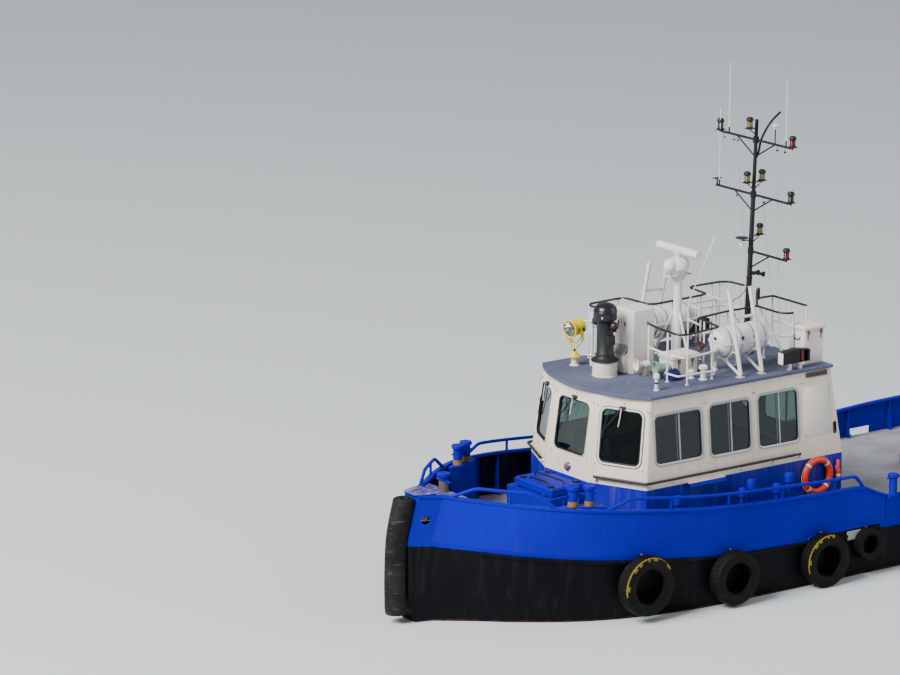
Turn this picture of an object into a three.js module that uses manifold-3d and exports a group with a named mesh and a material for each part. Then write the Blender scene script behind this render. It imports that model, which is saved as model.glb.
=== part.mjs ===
// Harbour tugboat, twin screw, afloat.
// Origin amidships on the centreline at the waterline: +X to the bow, +Y to port, +Z up.
// All sizes are in millimetres.
import * as THREE from "three";
import { mergeVertices } from "three/addons/utils/BufferGeometryUtils.js";
import Module from "manifold-3d";

const wasm = await Module();
wasm.setup();

// Driving dimensions
const GAP = 0.4; // clearance between pieces that touch
const PLATE = 60; // modelled thickness of bulwark plating and cabin walls
const DRAUGHT = 1850;
const ROOF_Z = 3870; // underside of the wheelhouse roof
const ROOF_THICK = 60;
const FLOOR_Z = 1450; // wheelhouse floor
const BAND_Z = 2200; // where the upright casing ends and the walls start to lean in
const SHAFT_Y = 1150; // propeller shafts off the centreline
const SHAFT_Z = -1150;
const PROP_X = -6500;
const PROP_R = 520;
const RUDDER_X = -7420; // rudder stocks
const RUDDER_TOP = -440;

// Hull stations. Each level has its own half breadth; rake moves the lower levels aft.
const HULL_COLUMNS = ["x", "deck", "deckZ", "side", "water", "bilge", "bilgeZ", "keelZ", "rake"];
const HULL = [
  [8300, 220, 1570, 220, 200, 110, -700, -1250, 1150],
  [7930, 420, 1560, 380, 300, 160, -800, -1440, 830],
  [7640, 700, 1530, 630, 510, 270, -840, -1560, 690],
  [7250, 1060, 1490, 980, 790, 440, -900, -1680, 515],
  [6600, 1640, 1420, 1560, 1310, 780, -950, -1760, 300],
  [5600, 2220, 1325, 2150, 1940, 1330, -1020, -1800, 100],
  [4500, 2495, 1230, 2475, 2340, 1760, -1080, -1830, 0],
  [3300, 2640, 1110, 2630, 2550, 2050, -1120, -1830, 0],
  [2000, 2650, 1020, 2650, 2600, 2200, -1150, -1830, 0],
  [-1500, 2650, 920, 2650, 2620, 2250, -1150, -1800, 0],
  [-4000, 2650, 900, 2650, 2610, 2250, -900, -1500, 0],
  [-5500, 2640, 910, 2640, 2590, 2300, -560, -950, 0],
  [-6800, 2600, 930, 2590, 2540, 2250, -330, -500, 0],
  [-7700, 2450, 960, 2440, 2380, 2050, -260, -380, 0],
  [-8150, 2050, 980, 2040, 1990, 1750, -220, -320, 0],
  [-8250, 1600, 980, 1590, 1550, 1350, -200, -290, 0],
].map((row) => Object.fromEntries(HULL_COLUMNS.map((name, i) => [name, row[i]])));
const SIDE_Z = 600; // height of the level between deck and waterline
const KEEL_HALF = 110;

// Bulwark rows from the stem aft: foot x, then the cap's x, half breadth and height.
const BULWARK_COLUMNS = ["footX", "capX", "capHalf", "capZ"];
const BULWARK = [
  [8300, 8060, 215, 2420],
  [7930, 7650, 400, 2390],
  [7640, 7400, 640, 2355],
  [7250, 7050, 970, 2310],
  [6600, 6500, 1480, 2250],
  [5600, 5560, 2130, 2175],
  [4500, 4480, 2465, 2080],
  [3300, 3300, 2620, 1960],
  [2000, 2000, 2650, 1860],
  [500, 500, 2650, 1785],
  [-450, -450, 2650, 1760],
  [-700, -700, 2650, 1715],
  [-950, -950, 2650, 1600],
  [-1200, -1200, 2650, 1505],
  [-1450, -1450, 2650, 1465],
  [-4000, -4000, 2650, 1500],
  [-5400, -5400, 2640, 1560],
  [-6800, -6800, 2600, 1590],
  [-7700, -7700, 2450, 1620],
  [-8150, -8130, 2040, 1640],
  [-8240, -8210, 1600, 1640],
].map((row) => Object.fromEntries(BULWARK_COLUMNS.map((name, i) => [name, row[i]])));
const BOW_ROWS = 2; // rows that belong to the bow piece
const CAP_DEEP = 45;
const CAP_OVER = 28; // how far the cap stands past the plate on each side

// Cabin outlines: x and half breadth of the front facet, the front corner and the aft end
const CABIN_COLUMNS = ["z", "frontX", "frontY", "cornerX", "cornerY", "aftX", "aftY"];
const CABIN = [
  [FLOOR_Z + GAP, 4500, 660, 3980, 1775, -800, 1775],
  [BAND_Z, 4500, 660, 3980, 1775, -800, 1775],
  [ROOF_Z - GAP, 4260, 630, 3800, 1610, -590, 1610],
].map((row) => Object.fromEntries(CABIN_COLUMNS.map((name, i) => [name, row[i]])));
const AFT_WALL_X = -380; // inner face of the aft wall
const SIDE_WINDOWS = [
  // front x, aft x, sill z, head z
  [3735, 2605, 2630, 3560],
  [2420, 1425, 2600, 3575],
  [1240, 250, 2580, 3590],
];
const WINDOW_RADIUS = 110;
const FRONT_WINDOW = { half: 455, sill: 2640, head: 3620 };
const FACET_WINDOW = { half: 415, sill: 2620, head: 3610 };
const AFT_WINDOW = { y0: -100, y1: 1250, sill: 2560, head: 3560 };
const DOOR = { y0: -1000, y1: -290, sill: 1520, head: 3420, lap: 35, thick: 45, stand: 8 };

// Tyres along each side: x, centre z, outer radius, tread width
const TYRES = [
  [4650, 700, 570, 330],
  [2690, 560, 520, 300],
  [470, 520, 520, 300],
  [-650, 640, 320, 200],
  [-2700, 480, 520, 300],
  [-4700, 480, 520, 300],
  [-6500, 520, 500, 300],
];

// Mast and radar
const MAST = { x: 160, topX: 0, topZ: 8500, r: 62, topR: 34 };
const YARDS = [
  // height, port reach, starboard reach
  [8090, 1050, 1050],
  [7030, 1090, 1090],
  [5930, 1040, 0],
];
const GAFF = [
  [-5, 0, 7740], [-60, 0, 7860], [-110, 0, 8060], [-230, 0, 8260], [-390, 0, 8430], [-580, 0, 8560],
];
const LANTERNS = [
  // x from the mast's centre line, y, z of the base
  [170, 0, 8330],
  [0, -1060, 8120],
  [0, 1070, 8120],
  [0, 1100, 7060],
  [0, 1050, 5960],
  [170, 0, 7280],
  [-200, 0, 7280],
  [-210, 0, 6230],
];
const WHIPS = [
  // y, foot z, tip z
  [-800, 8080, 9460],
  [880, 8080, 9380],
  [-1020, 7020, 8560],
];
const RADAR = { x: 1870, poleR: 80, topZ: 5716, housingTop: 6090, barHalf: 600, barR: 81, barZ: 6185 };
const RADAR_LEGS = [[320, -450], [0, 420], [-400, -150]]; // x and y of the feet from the pole

const FOOT_LIFT = 2; // of the bulwark's foot over the deck
const BOW_FOOT_LIFT = 9; // more where the sheer is steep
const FREEING_PORTS = [-3500, -5140]; // centres along each side

const BOW_FENDER = {
  r: 205,
  clear: 4,
  route: [[8430, 0, 180], [8440, 0, 900], [8400, 0, 1660], [8245, 0, 2350]],
};
const FAIRLEAD = { at: [7990, 318, 1960], way: [410, 910], r: 90 };
const BOW_BITT = { x: 7350, r: 95, top: 2690 };
const BOW_PLATFORM = {
  half: [[7980, 90], [7650, 280], [7400, 510], [7240, 600]],
  z: [2300, 2335],
  slots: { x: [7560, 7860], y: 70, half: 20 },
};
const PEDESTAL = {
  outline: [[5980, 1650], [5960, 1745], [5200, 2130], [5180, 1900], [5420, 1740], [5730, 1640]],
  posts: [[5720, 1775], [5440, 1905]],
  top: 2190,
  postTop: 2575,
};
const AFT_BITT = { x: -1380, r: 80, high: 400 };

const RAIL_R = 33;
// Rails on the bulwark: [x, height over the cap], then the uprights' x
const RAILS = [
  [[[7540, 0], [7200, 225], [6500, 255], [6080, 0]], [6750]],
  [[[5250, 0], [4800, 225], [3300, 225], [1500, 235], [-420, 215], [-610, 0]],
    [4000, 2700, 1400, 100]],
];

// Slim strake along the sheer that the tyres hang from, and the stations it passes
const STRAKE = {
  below: 85, high: 70, deep: 48, off: 3,
  rows: [7300, 6600, 5600, 4500, 3300, 2000, -1500, -4000, -5500, -6800, -7600],
};
const TYRE_OFF = 22; // from the hull side to a tyre's inner face

const HANDRAIL = { z: 2345, r: 24, off: 75, feet: [3405, 2510, 1735, 960, 290] }; // feet by x
const TRUNK = { x0: 4530, x1: 5400, half: 680, top: 2000, wall: 45 };
const BINNACLE = { at: [3450, -200] };
const SEARCHLIGHT = { at: [3450, -1130], z: 4670, turn: 9.5, arms: [[205, 400], [172, 300]] };
// Boxes on the roof: name, x, y, length, width, height, corner chamfer
const ROOF_BOXES = [
  ["vent_casing", 2720, -230, 620, 560, 1230, 70],
  ["deck_locker", 2250, 520, 620, 420, 420, 20],
  ["roof_locker", -380, 1160, 480, 430, 740, 25],
];
const SIDE_LIGHT = { x: 220, y: 1500, long: 670, low: 4060, side: 4290, peak: 4335, feet: [-140, 120] };
const RAFT = { r: 285, long: 1150, flange: 310 };
const CRADLE = { postR: 40, barR: 28, crossbarZ: 5040 };
const LIFERAFTS = [
  // side, way out, canister's centre, x of the frames, lean in x, y of foot and top, top z
  ["port", 1, [1070, 880, 4520], [1470, 950], 80, 1420, 1120, 5570],
  ["starboard", -1, [1220, -1170, 4500], [1600, 1150], -200, -1585, -1450, 5600],
];
// Rails on the roof: each has its top rail, lower rails and posts [x, y, top z]
const ROOF_RAILS = [
  {
    name: "roof_rail_port",
    top: [
      [2720, 200, 4900], [2800, 640, 4900], [2830, 1150, 4900], [2760, 1260, 4900], [2620, 1290, 4900],
      [1800, 1150, 4900], [1660, 370, 4900], [850, 260, 4900], [120, 260, 4900], [100, 220, 5200],
      [-60, 100, 5200], [-90, 60, 4970], [-300, -130, 4930], [-600, -130, 4930], [-600, 880, 4930],
    ],
    lower: [
      [[120, 260, 4900], [130, 900, 4900], [30, 1060, 4900], [-90, 1080, 4900]],
      [[2720, 200, 4450], [2800, 880, 4450], [2730, 1240, 4450], [2620, 1280, 4450], [1980, 1180, 4450]],
      [[2810, 880, 4150], [2970, 1020, 4150], [2950, 1370, 4150], [2050, 1400, 4150], [1980, 1180, 4150]],
      [[130, 500, 4450], [120, 900, 4450], [30, 1060, 4450], [-90, 1080, 4450]],
      [[-600, -130, 4450], [-600, 880, 4450]],
    ],
    posts: [
      [2720, 200, 4900], [2810, 880, 4900], [2660, 1285, 4900], [1980, 1180, 4900], [1700, 600, 4900],
      [850, 260, 4900], [126, 500, 4900], [-90, 1080, 4900], [-600, -130, 4930], [-600, 400, 4930],
      [-600, 880, 4930],
    ],
  },
  {
    name: "roof_rail_starboard",
    top: [
      [2900, -1050, 4970], [2900, -1380, 4970], [2800, -1490, 4970], [2100, -1530, 4970],
      [1950, -1440, 4970], [1920, -860, 4970], [1800, -760, 4970], [600, -820, 4970], [450, -880, 4970],
      [400, -1420, 4970], [300, -1500, 4970], [-400, -1500, 4970], [-560, -1400, 4970], [-600, -980, 4970],
    ],
    lower: [
      [
        [2900, -1050, 4500], [2900, -1380, 4500], [2800, -1490, 4500], [2100, -1530, 4500],
        [1950, -1440, 4500], [1920, -900, 4500],
      ],
      [
        [420, -1200, 4500], [400, -1420, 4500], [300, -1500, 4500], [-400, -1500, 4500],
        [-560, -1400, 4500], [-600, -980, 4500],
      ],
      [[310, -410, 4900], [370, -660, 4900], [1110, -600, 4900], [1220, -80, 4900]],
      [[310, -410, 4600], [370, -660, 4600], [1110, -600, 4600], [1220, -80, 4600]],
      [[370, -660, 4900], [450, -880, 4970]],
    ],
    posts: [
      [2900, -1050, 4970], [2850, -1440, 4970], [2100, -1528, 4970], [1921, -900, 4970],
      [1350, -780, 4970], [620, -818, 4970], [420, -1200, 4970], [-220, -1500, 4970],
      [-400, -1500, 4970], [-590, -1150, 4970],
      [-600, -980, 4970], [370, -660, 4900], [1110, -600, 4900], [1216, -100, 4900],
    ],
  },
];
const RAIL_TUBE = { top: 22, low: 18, post: 18, foot: 40 };
const TOW = { x: -1500, z: 1900 };
const TOW_BITT = { x: -6000, half: 520 };
const ENGINE_HATCH = { x0: -5300, x1: -4300, half: 480, high: 150 };

const STRUT_LIFT = 20; // keeps the edge of a slanting strut's foot off the roof
const ROOF_TOP = ROOF_Z + ROOF_THICK;

// Materials
function paint(color, roughness = 0.4, metalness = 0) {
  return new THREE.MeshStandardMaterial({ color, roughness, metalness, flatShading: true });
}
const blackPaint = () => paint(0x15171c);
const bluePaint = () => paint(0x1220c0, 0.35);
const creamPaint = () => paint(0xe6e0d4, 0.35);
const whitePaint = () => paint(0xeceae4, 0.35);
const greyDeck = () => paint(0x8187a0, 0.7);
const yellowPaint = () => paint(0xd9c814, 0.4);
const orangePlastic = () => paint(0xe8401a, 0.5);
const darkPlastic = () => paint(0x1d1f22, 0.6);
const blackRubber = () => paint(0x141414, 0.9);
const bronze = () => paint(0xa87a3c, 0.35, 1);
const steel = () => paint(0x8b8d90, 0.4, 1);
const clearGlass = () => {
  const glass = paint(0x5c6a68, 0.05);
  glass.transparent = true;
  glass.opacity = 0.35;
  return glass;
};

// Solids
function solid(geometry) {
  const plain = geometry.index ? geometry.toNonIndexed() : geometry;
  const bare = new THREE.BufferGeometry();
  bare.setAttribute("position", plain.getAttribute("position"));
  const merged = mergeVertices(bare, 1e-3);
  return new wasm.Manifold(
    new wasm.Mesh({
      numProp: 3,
      vertProperties: merged.attributes.position.array,
      triVerts: new Uint32Array(merged.index.array),
    }),
  );
}

const join = (bodies) => bodies.reduce((all, one) => all.add(one));
const cut = (body, tools) => tools.reduce((left, tool) => left.subtract(tool), body);
const mirrored = (points) => points.map(([x, y, z]) => [x, -y, z]);
const lerp = (a, b, t) => a + (b - a) * t;

function block([x0, x1], [y0, y1], [z0, z1]) {
  const box = new THREE.BoxGeometry(x1 - x0, y1 - y0, z1 - z0);
  return solid(box.translate((x0 + x1) / 2, (y0 + y1) / 2, (z0 + z1) / 2));
}

// Plan outline of [x, y] points carried from z0 up to z1
function prism(outline, z0, z1) {
  const shape = new THREE.Shape(outline.map(([x, y]) => new THREE.Vector2(x, y)));
  const made = new THREE.ExtrudeGeometry(shape, { depth: z1 - z0, bevelEnabled: false });
  return solid(made.translate(0, 0, z0));
}

// Round bar from a to b
function bar(a, b, radius, sides = 6, endRadius = radius) {
  const from = new THREE.Vector3(...a);
  const way = new THREE.Vector3(...b).sub(from);
  const made = new THREE.CylinderGeometry(endRadius, radius, way.length(), sides);
  made.translate(0, way.length() / 2, 0);
  const turn = new THREE.Quaternion().setFromUnitVectors(
    new THREE.Vector3(0, 1, 0),
    way.clone().normalize(),
  );
  return solid(made.applyQuaternion(turn).translate(from.x, from.y, from.z));
}

// Round tube that follows a smooth route through the points
function pipe(points, radius, sides = 6, steps = points.length * 3) {
  const route = new THREE.CatmullRomCurve3(
    points.map((p) => new THREE.Vector3(...p)),
    false,
    "catmullrom",
    0.12,
  );
  const ring = Array.from({ length: sides }, (_, i) => {
    const turn = (i * 2 * Math.PI) / sides;
    return new THREE.Vector2(radius * Math.cos(turn), radius * Math.sin(turn));
  });
  const made = new THREE.ExtrudeGeometry(new THREE.Shape(ring), {
    steps,
    extrudePath: route,
    bevelEnabled: false,
  });
  return solid(made);
}

// Bar of round section that turns a mitred corner at each point
function bentBar(points, radius, sides = 6) {
  const path = points.map((point) => new THREE.Vector3(...point));
  const ways = path.slice(1).map((point, i) => point.clone().sub(path[i]).normalize());
  const turn = new THREE.Quaternion().setFromUnitVectors(new THREE.Vector3(0, 0, 1), ways[0]);
  const section = Array.from({ length: sides }, (_, i) => {
    const angle = (i * 2 * Math.PI) / sides;
    const point = new THREE.Vector3(radius * Math.cos(angle), radius * Math.sin(angle), 0);
    return point.applyQuaternion(turn).add(path[0]);
  });
  const rings = [section];
  ways.forEach((way, i) => {
    const across = i + 1 < ways.length ? way.clone().add(ways[i + 1]).normalize() : way;
    rings.push(rings[i].map((point) => {
      const left = path[i + 1].clone().sub(point).dot(across) / way.dot(across);
      return point.clone().addScaledVector(way, left);
    }));
  });
  return loft(rings.map((ring) => ring.map((point) => point.toArray())));
}

// Round piece about the vertical through (x, y), from [radius, z] points that start and end on it
function turned(profile, x = 0, y = 0, segments = 12) {
  const made = new THREE.LatheGeometry(
    profile.map(([r, z]) => new THREE.Vector2(r, z)),
    segments,
  );
  const body = solid(made.rotateX(Math.PI / 2).translate(x, y, 0));
  return body.volume() < 0 ? turned([...profile].reverse(), x, y, segments) : body;
}

// Triangles that fill a flat ring of points, all turning the way the ring does
function fill(ring) {
  const points = ring.map((point) => new THREE.Vector3(...point));
  const normal = new THREE.Vector3();
  points.forEach((point, i) => normal.add(point.clone().cross(points[(i + 1) % ring.length])));
  const u = points[1].clone().sub(points[0]).normalize();
  const v = normal.normalize().clone().cross(u);
  const flat = points.map((point) => new THREE.Vector2(point.dot(u), point.dot(v)));
  const found = THREE.ShapeUtils.triangulateShape([...flat], []);
  const whole = found.length === ring.length - 2;
  const fan = flat.slice(2).map((_, i) => [0, i + 1, i + 2]);
  return (whole ? found : fan).map(([a, b, c]) => {
    const turn = flat[b].clone().sub(flat[a]).cross(flat[c].clone().sub(flat[a]));
    return turn < 0 ? [a, c, b] : [a, b, c];
  });
}

// Skin over rings of [x, y, z] points with as many points each, closed at both ends
function loft(rings, flip = false) {
  const count = rings[0].length;
  const at = (ring, i) => rings[ring][i % count];
  const corners = [];
  const face = (a, b, c) => corners.push(...(flip ? [a, c, b] : [a, b, c]));
  for (let ring = 0; ring + 1 < rings.length; ring++)
    for (let i = 0; i < count; i++) {
      face(at(ring, i), at(ring, i + 1), at(ring + 1, i + 1));
      face(at(ring, i), at(ring + 1, i + 1), at(ring + 1, i));
    }
  const last = rings.length - 1;
  for (const [a, b, c] of fill(rings[last])) face(at(last, a), at(last, b), at(last, c));
  for (const [a, b, c] of fill(rings[0])) face(at(0, a), at(0, c), at(0, b));
  const made = new THREE.BufferGeometry();
  made.setAttribute("position", new THREE.Float32BufferAttribute(corners.flat(), 3));
  const body = solid(made);
  return body.volume() < 0 && !flip ? loft(rings, true) : body;
}

const tug = new THREE.Group();
tug.name = "tugboat";

function add(name, body, material) {
  const { vertProperties, triVerts } = body.getMesh();
  const made = new THREE.BufferGeometry();
  made.setAttribute("position", new THREE.BufferAttribute(new Float32Array(vertProperties), 3));
  made.setIndex(new THREE.BufferAttribute(new Uint32Array(triVerts), 1));
  const mesh = new THREE.Mesh(made, material);
  mesh.name = name;
  tug.add(mesh);
}

// Half breadth and height of the deck edge at x
function edgeAt(x) {
  const aft = Math.min(HULL.length - 1, Math.max(1, HULL.findIndex((row) => row.x <= x)));
  const [a, b] = [HULL[aft - 1], HULL[aft]];
  const t = (a.x - x) / (a.x - b.x);
  return { half: lerp(a.deck, b.deck, t), z: lerp(a.deckZ, b.deckZ, t) };
}

// Hull

// The hull's outer skin up to the deck, lifted or grown outwards by a clearance
function hullShell(lift = 0, grow = 0) {
  const rings = HULL.map((row) => {
    return [
      [row.x, row.deck + grow, row.deckZ + lift],
      [row.x, row.side + grow, SIDE_Z],
      [row.x - 0.15 * row.rake, row.water + grow, 0],
      [row.x - 0.6 * row.rake, row.bilge + grow, row.bilgeZ - grow],
      [row.x - row.rake, KEEL_HALF, row.keelZ - grow],
      [row.x - row.rake, 0, row.keelZ - grow],
      [row.x, 0, row.deckZ + lift],
    ];
  });
  return loft(rings).add(loft(rings.map(mirrored)));
}

function hull() {
  const skegOutline = [
    [-1000, -1750], [-6050, -600], [-6250, -DRAUGHT], [-1000, -DRAUGHT],
  ];
  const skegShape = new THREE.Shape(skegOutline.map(([x, z]) => new THREE.Vector2(x, z)));
  const skegPlate = new THREE.ExtrudeGeometry(skegShape, { depth: 180, bevelEnabled: false });
  const skeg = solid(skegPlate.rotateX(Math.PI / 2).translate(0, 90, 0));
  const rudderTrunks = [-SHAFT_Y, SHAFT_Y].map((y) =>
    bar([RUDDER_X, y, RUDDER_TOP + 8], [RUDDER_X, y, -200], 95, 12),
  );
  add("hull", join([hullShell(), skeg, ...rudderTrunks]), blackPaint());
}

// Sections of plate and cap at rows of the bulwark, on the port side
function bulwarkSections(first, last) {
  return BULWARK.slice(first, last + 1).map((row, i) => {
    const index = first + i;
    const lift = index < BOW_ROWS ? BOW_FOOT_LIFT : FOOT_LIFT;
    const before = BULWARK[index - 1] ?? { capX: row.capX, capHalf: -row.capHalf };
    const after = BULWARK[index + 1] ?? { capX: row.capX, capHalf: -row.capHalf };
    const run = new THREE.Vector2(after.capX - before.capX, after.capHalf - before.capHalf);
    const inward = new THREE.Vector2(-run.y, run.x).normalize();
    const { half } = edgeAt(row.footX);
    const low = (offset) => {
      const x = row.footX + inward.x * offset;
      return [x, half + inward.y * offset, edgeAt(x).z + lift];
    };
    const high = (offset, drop) => [
      row.capX + inward.x * offset,
      row.capHalf + inward.y * offset,
      row.capZ - drop,
    ];
    return [
      low(0),
      high(0, CAP_DEEP),
      high(-CAP_OVER, CAP_DEEP),
      high(-CAP_OVER, 0),
      high(PLATE + CAP_OVER, 0),
      high(PLATE + CAP_OVER, CAP_DEEP),
      high(PLATE, CAP_DEEP),
      low(PLATE),
    ];
  });
}

// The first ring moved towards the second by the clearance
function eased(ring, towards) {
  return ring.map((point, i) => {
    const a = new THREE.Vector3(...point);
    const way = new THREE.Vector3(...towards[i]).sub(a).normalize();
    return a.addScaledVector(way, GAP).toArray();
  });
}

// Half breadth and height of the cap at x
function capAt(x) {
  const aft = Math.max(1, BULWARK.findIndex((row) => row.capX <= x));
  const [a, b] = [BULWARK[aft - 1], BULWARK[aft]];
  const t = (a.capX - x) / (a.capX - b.capX);
  return { half: lerp(a.capHalf, b.capHalf, t), z: lerp(a.capZ, b.capZ, t) };
}

function bulwark() {
  const last = BULWARK.length - 1;
  const bow = bulwarkSections(0, BOW_ROWS - 1);
  const side = bulwarkSections(BOW_ROWS - 1, last);
  side[0] = eased(side[0], side[1]);
  const stern = bulwarkSections(last, last);
  const freeing = FREEING_PORTS.map((x) => block([x - 260, x + 260], [2300, 2900], [700, 1060]));
  const freeingMirrored = FREEING_PORTS.map((x) =>
    block([x - 260, x + 260], [-2900, -2300], [700, 1060]),
  );
  const fairleads = [1, -1].map((way) => {
    const [[x, y, z], [outX, outY]] = [FAIRLEAD.at, FAIRLEAD.way];
    const end = (t) => [x + t * outX, way * (y + t * outY), z];
    return bar(end(-0.15), end(0.15), FAIRLEAD.r, 16);
  });
  const bowLoop = [...bow].reverse().concat(bow.map(mirrored));
  add("bulwark_bow", cut(loft(bowLoop), fairleads), bluePaint());
  add("bulwark_port", join([cut(loft(side), freeing), ...sideFittings(1)]), bluePaint());
  const otherSide = cut(loft(side.map(mirrored)), freeingMirrored);
  add("bulwark_starboard", join([otherSide, ...sideFittings(-1)]), bluePaint());
  const ends = [stern[0], mirrored(stern[0])];
  add("bulwark_stern", loft([eased(ends[0], ends[1]), eased(ends[1], ends[0])]), bluePaint());
}

function bowFender() {
  const { r, route, clear } = BOW_FENDER;
  const [stem, cap] = [HULL[0].x + clear, BULWARK[0].capX + CAP_OVER + clear];
  const stemSide = new THREE.Shape([
    [stem, -500], [stem, HULL[0].deckZ], [cap, BULWARK[0].capZ], [cap, 3000], [7000, 3000], [7000, -500],
  ].map(([x, z]) => new THREE.Vector2(x, z)));
  const keepOut = new THREE.ExtrudeGeometry(stemSide, { depth: 1000, bevelEnabled: false });
  const back = solid(keepOut.rotateX(Math.PI / 2).translate(0, 500, 0));
  add("bow_fender", pipe(route, r, 14, 8).subtract(back), blackRubber());
}

function bowPlatform() {
  const { half, z, slots } = BOW_PLATFORM;
  const outline = [...half, ...half.map(([x, y]) => [x, -y]).reverse()];
  const cutters = [-slots.y, slots.y].map((y) =>
    block(slots.x, [y - slots.half, y + slots.half], [z[0] - 50, z[1] + 50]),
  );
  const { x, r, top } = BOW_BITT;
  const bitt = bittPost(x, 0, edgeAt(x + r).z + 2, top, r);
  const horns = bar([x, -210, top - 150], [x, 210, top - 150], 26);
  add("bow_bitt", join([cut(prism(outline, ...z), cutters), bitt, horns]), bluePaint());
}

// Post with a wider flat cap
function bittPost(x, y, foot, top, r) {
  const cap = 75;
  return turned([[0, foot], [r, foot], [r, top - cap], [r + 30, top - cap], [r + 30, top], [0, top]], x, y);
}

function bitts() {
  for (const [side, way] of [["port", 1], ["starboard", -1]]) {
    const outline = PEDESTAL.outline.map(([px, py]) => [px, way * py]);
    if (way < 0) outline.reverse();
    const pedestal = prism(outline, 1300, PEDESTAL.top).subtract(hullShell(GAP));
    const posts = PEDESTAL.posts.map(([px, py]) =>
      bittPost(px, way * py, PEDESTAL.top - 20, PEDESTAL.postTop, 92),
    );
    add("bitts_forward_" + side, join([pedestal, ...posts]), bluePaint());
  }
}

// Rail over the bulwark: [x, height over the cap], with uprights at the given places
function guardRail(points, uprights, way) {
  const onCap = (x, up) => {
    const { half, z } = capAt(x);
    return [x, way * (half - 30), z - 10 + up];
  };
  const rail = pipe(points.map(([x, up]) => onCap(x, up)), RAIL_R, 6);
  const heightAt = (x) => {
    const i = points.findIndex(([px]) => px <= x);
    const [[ax, az], [bx, bz]] = [points[i - 1], points[i]];
    return lerp(az, bz, (ax - x) / (ax - bx));
  };
  const posts = uprights.map((x) => bar(onCap(x, 0), onCap(x, heightAt(x)), RAIL_R * 0.8, 6));
  return join([rail, ...posts]);
}

// Guard rails and the aft bollard, welded to the bulwark's cap
function sideFittings(way) {
  const { half, z } = capAt(AFT_BITT.x);
  const y = way * (half - 32);
  const pin = bar([AFT_BITT.x - 170, y, z + 330], [AFT_BITT.x + 170, y, z + 330], 16);
  const top = z + AFT_BITT.high;
  const post = turned([[0, z - 20], [AFT_BITT.r, z - 20], [AFT_BITT.r, top], [0, top]], AFT_BITT.x, y);
  return [post, pin, ...RAILS.map(([points, uprights]) => guardRail(points, uprights, way))];
}

// Ring of rubber standing on edge against the hull side, its axis athwartships
function tyre([x, z, r, wide], way) {
  const inner = r * 0.5;
  const shoulder = r * 0.1;
  const profile = [
    [inner, -wide / 2 + shoulder], [r - shoulder, -wide / 2], [r, -wide / 2 + shoulder],
    [r, wide / 2 - shoulder], [r - shoulder, wide / 2], [inner, wide / 2 - shoulder],
    [inner, -wide / 2 + shoulder],
  ];
  const made = new THREE.LatheGeometry(profile.map(([a, b]) => new THREE.Vector2(a, b)), 16);
  const y = way * (hullHalf(x, z) + TYRE_OFF + wide / 2);
  const body = solid(made.translate(x, y, z));
  return body.volume() > 0 ? body : solid(mirroredRing(profile).translate(x, y, z));
}

const mirroredRing = (profile) =>
  new THREE.LatheGeometry([...profile].reverse().map(([a, b]) => new THREE.Vector2(a, b)), 16);

// Half breadth of the hull at x and height z, between deck and waterline
function hullHalf(x, z) {
  const aft = Math.min(HULL.length - 1, Math.max(1, HULL.findIndex((row) => row.x <= x)));
  const [a, b] = [HULL[aft - 1], HULL[aft]];
  const t = (a.x - x) / (a.x - b.x);
  const side = lerp(a.side, b.side, t);
  const water = lerp(a.water, b.water, t);
  const deck = edgeAt(x);
  return z < SIDE_Z
    ? lerp(water, side, z / SIDE_Z)
    : lerp(side, deck.half, (z - SIDE_Z) / (deck.z - SIDE_Z));
}

function sideFenders() {
  for (const [side, way] of [["port", 1], ["starboard", -1]]) {
    const rings = STRAKE.rows.map((x) => {
      const { half, z } = edgeAt(x);
      const [low, high] = [z - STRAKE.below - STRAKE.high, z - STRAKE.below];
      const y = half + STRAKE.off;
      return [[x, y, low], [x, y + STRAKE.deep, low + 15], [x, y + STRAKE.deep, high - 15], [x, y, high]]
        .map(([a, b, c]) => [a, way * b, c]);
    });
    const tyres = TYRES.map((row) => tyre(row, way));
    add("side_fender_" + side, join([loft(rings), ...tyres]).subtract(hullShell(0, 2)), blackRubber());
  }
}

function sternFender() {
  const body = block([-8395, -8250 - 3], [-1550, 1550], [560, 900]);
  add("stern_fender", body, blackRubber());
}

// Cabin

// Corners of the cabin outline at one level, port side first, counter-clockwise from above
function cabinCorners(level) {
  const { frontX, frontY, cornerX, cornerY, aftX, aftY } = level;
  return [[frontX, frontY], [cornerX, cornerY], [aftX, aftY],
    [aftX, -aftY], [cornerX, -cornerY], [frontX, -frontY]];
}

// The same corners moved in by a distance, each side staying parallel to itself
function inset(corners, distance) {
  const count = corners.length;
  return corners.map((corner, i) => {
    const here = new THREE.Vector2(...corner);
    const sideNormal = (a, b) => {
      const run = new THREE.Vector2(...b).sub(new THREE.Vector2(...a)).normalize();
      return new THREE.Vector2(-run.y, run.x);
    };
    const n1 = sideNormal(corners[(i + count - 1) % count], corner);
    const n2 = sideNormal(corner, corners[(i + 1) % count]);
    const middle = n1.clone().add(n2).normalize();
    return here.addScaledVector(middle, distance / middle.dot(n1)).toArray();
  });
}

// Wall over a run of corners, between two insets, at each level of the cabin
function wallRings(first, last, outer, inner, levels = CABIN) {
  return levels.map((level) => {
    const out = inset(cabinCorners(level), outer).slice(first, last + 1);
    const back = inset(cabinCorners(level), inner).slice(first, last + 1).reverse();
    return [...out, ...back].map(([x, y]) => [x, y, level.z]);
  });
}

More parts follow.
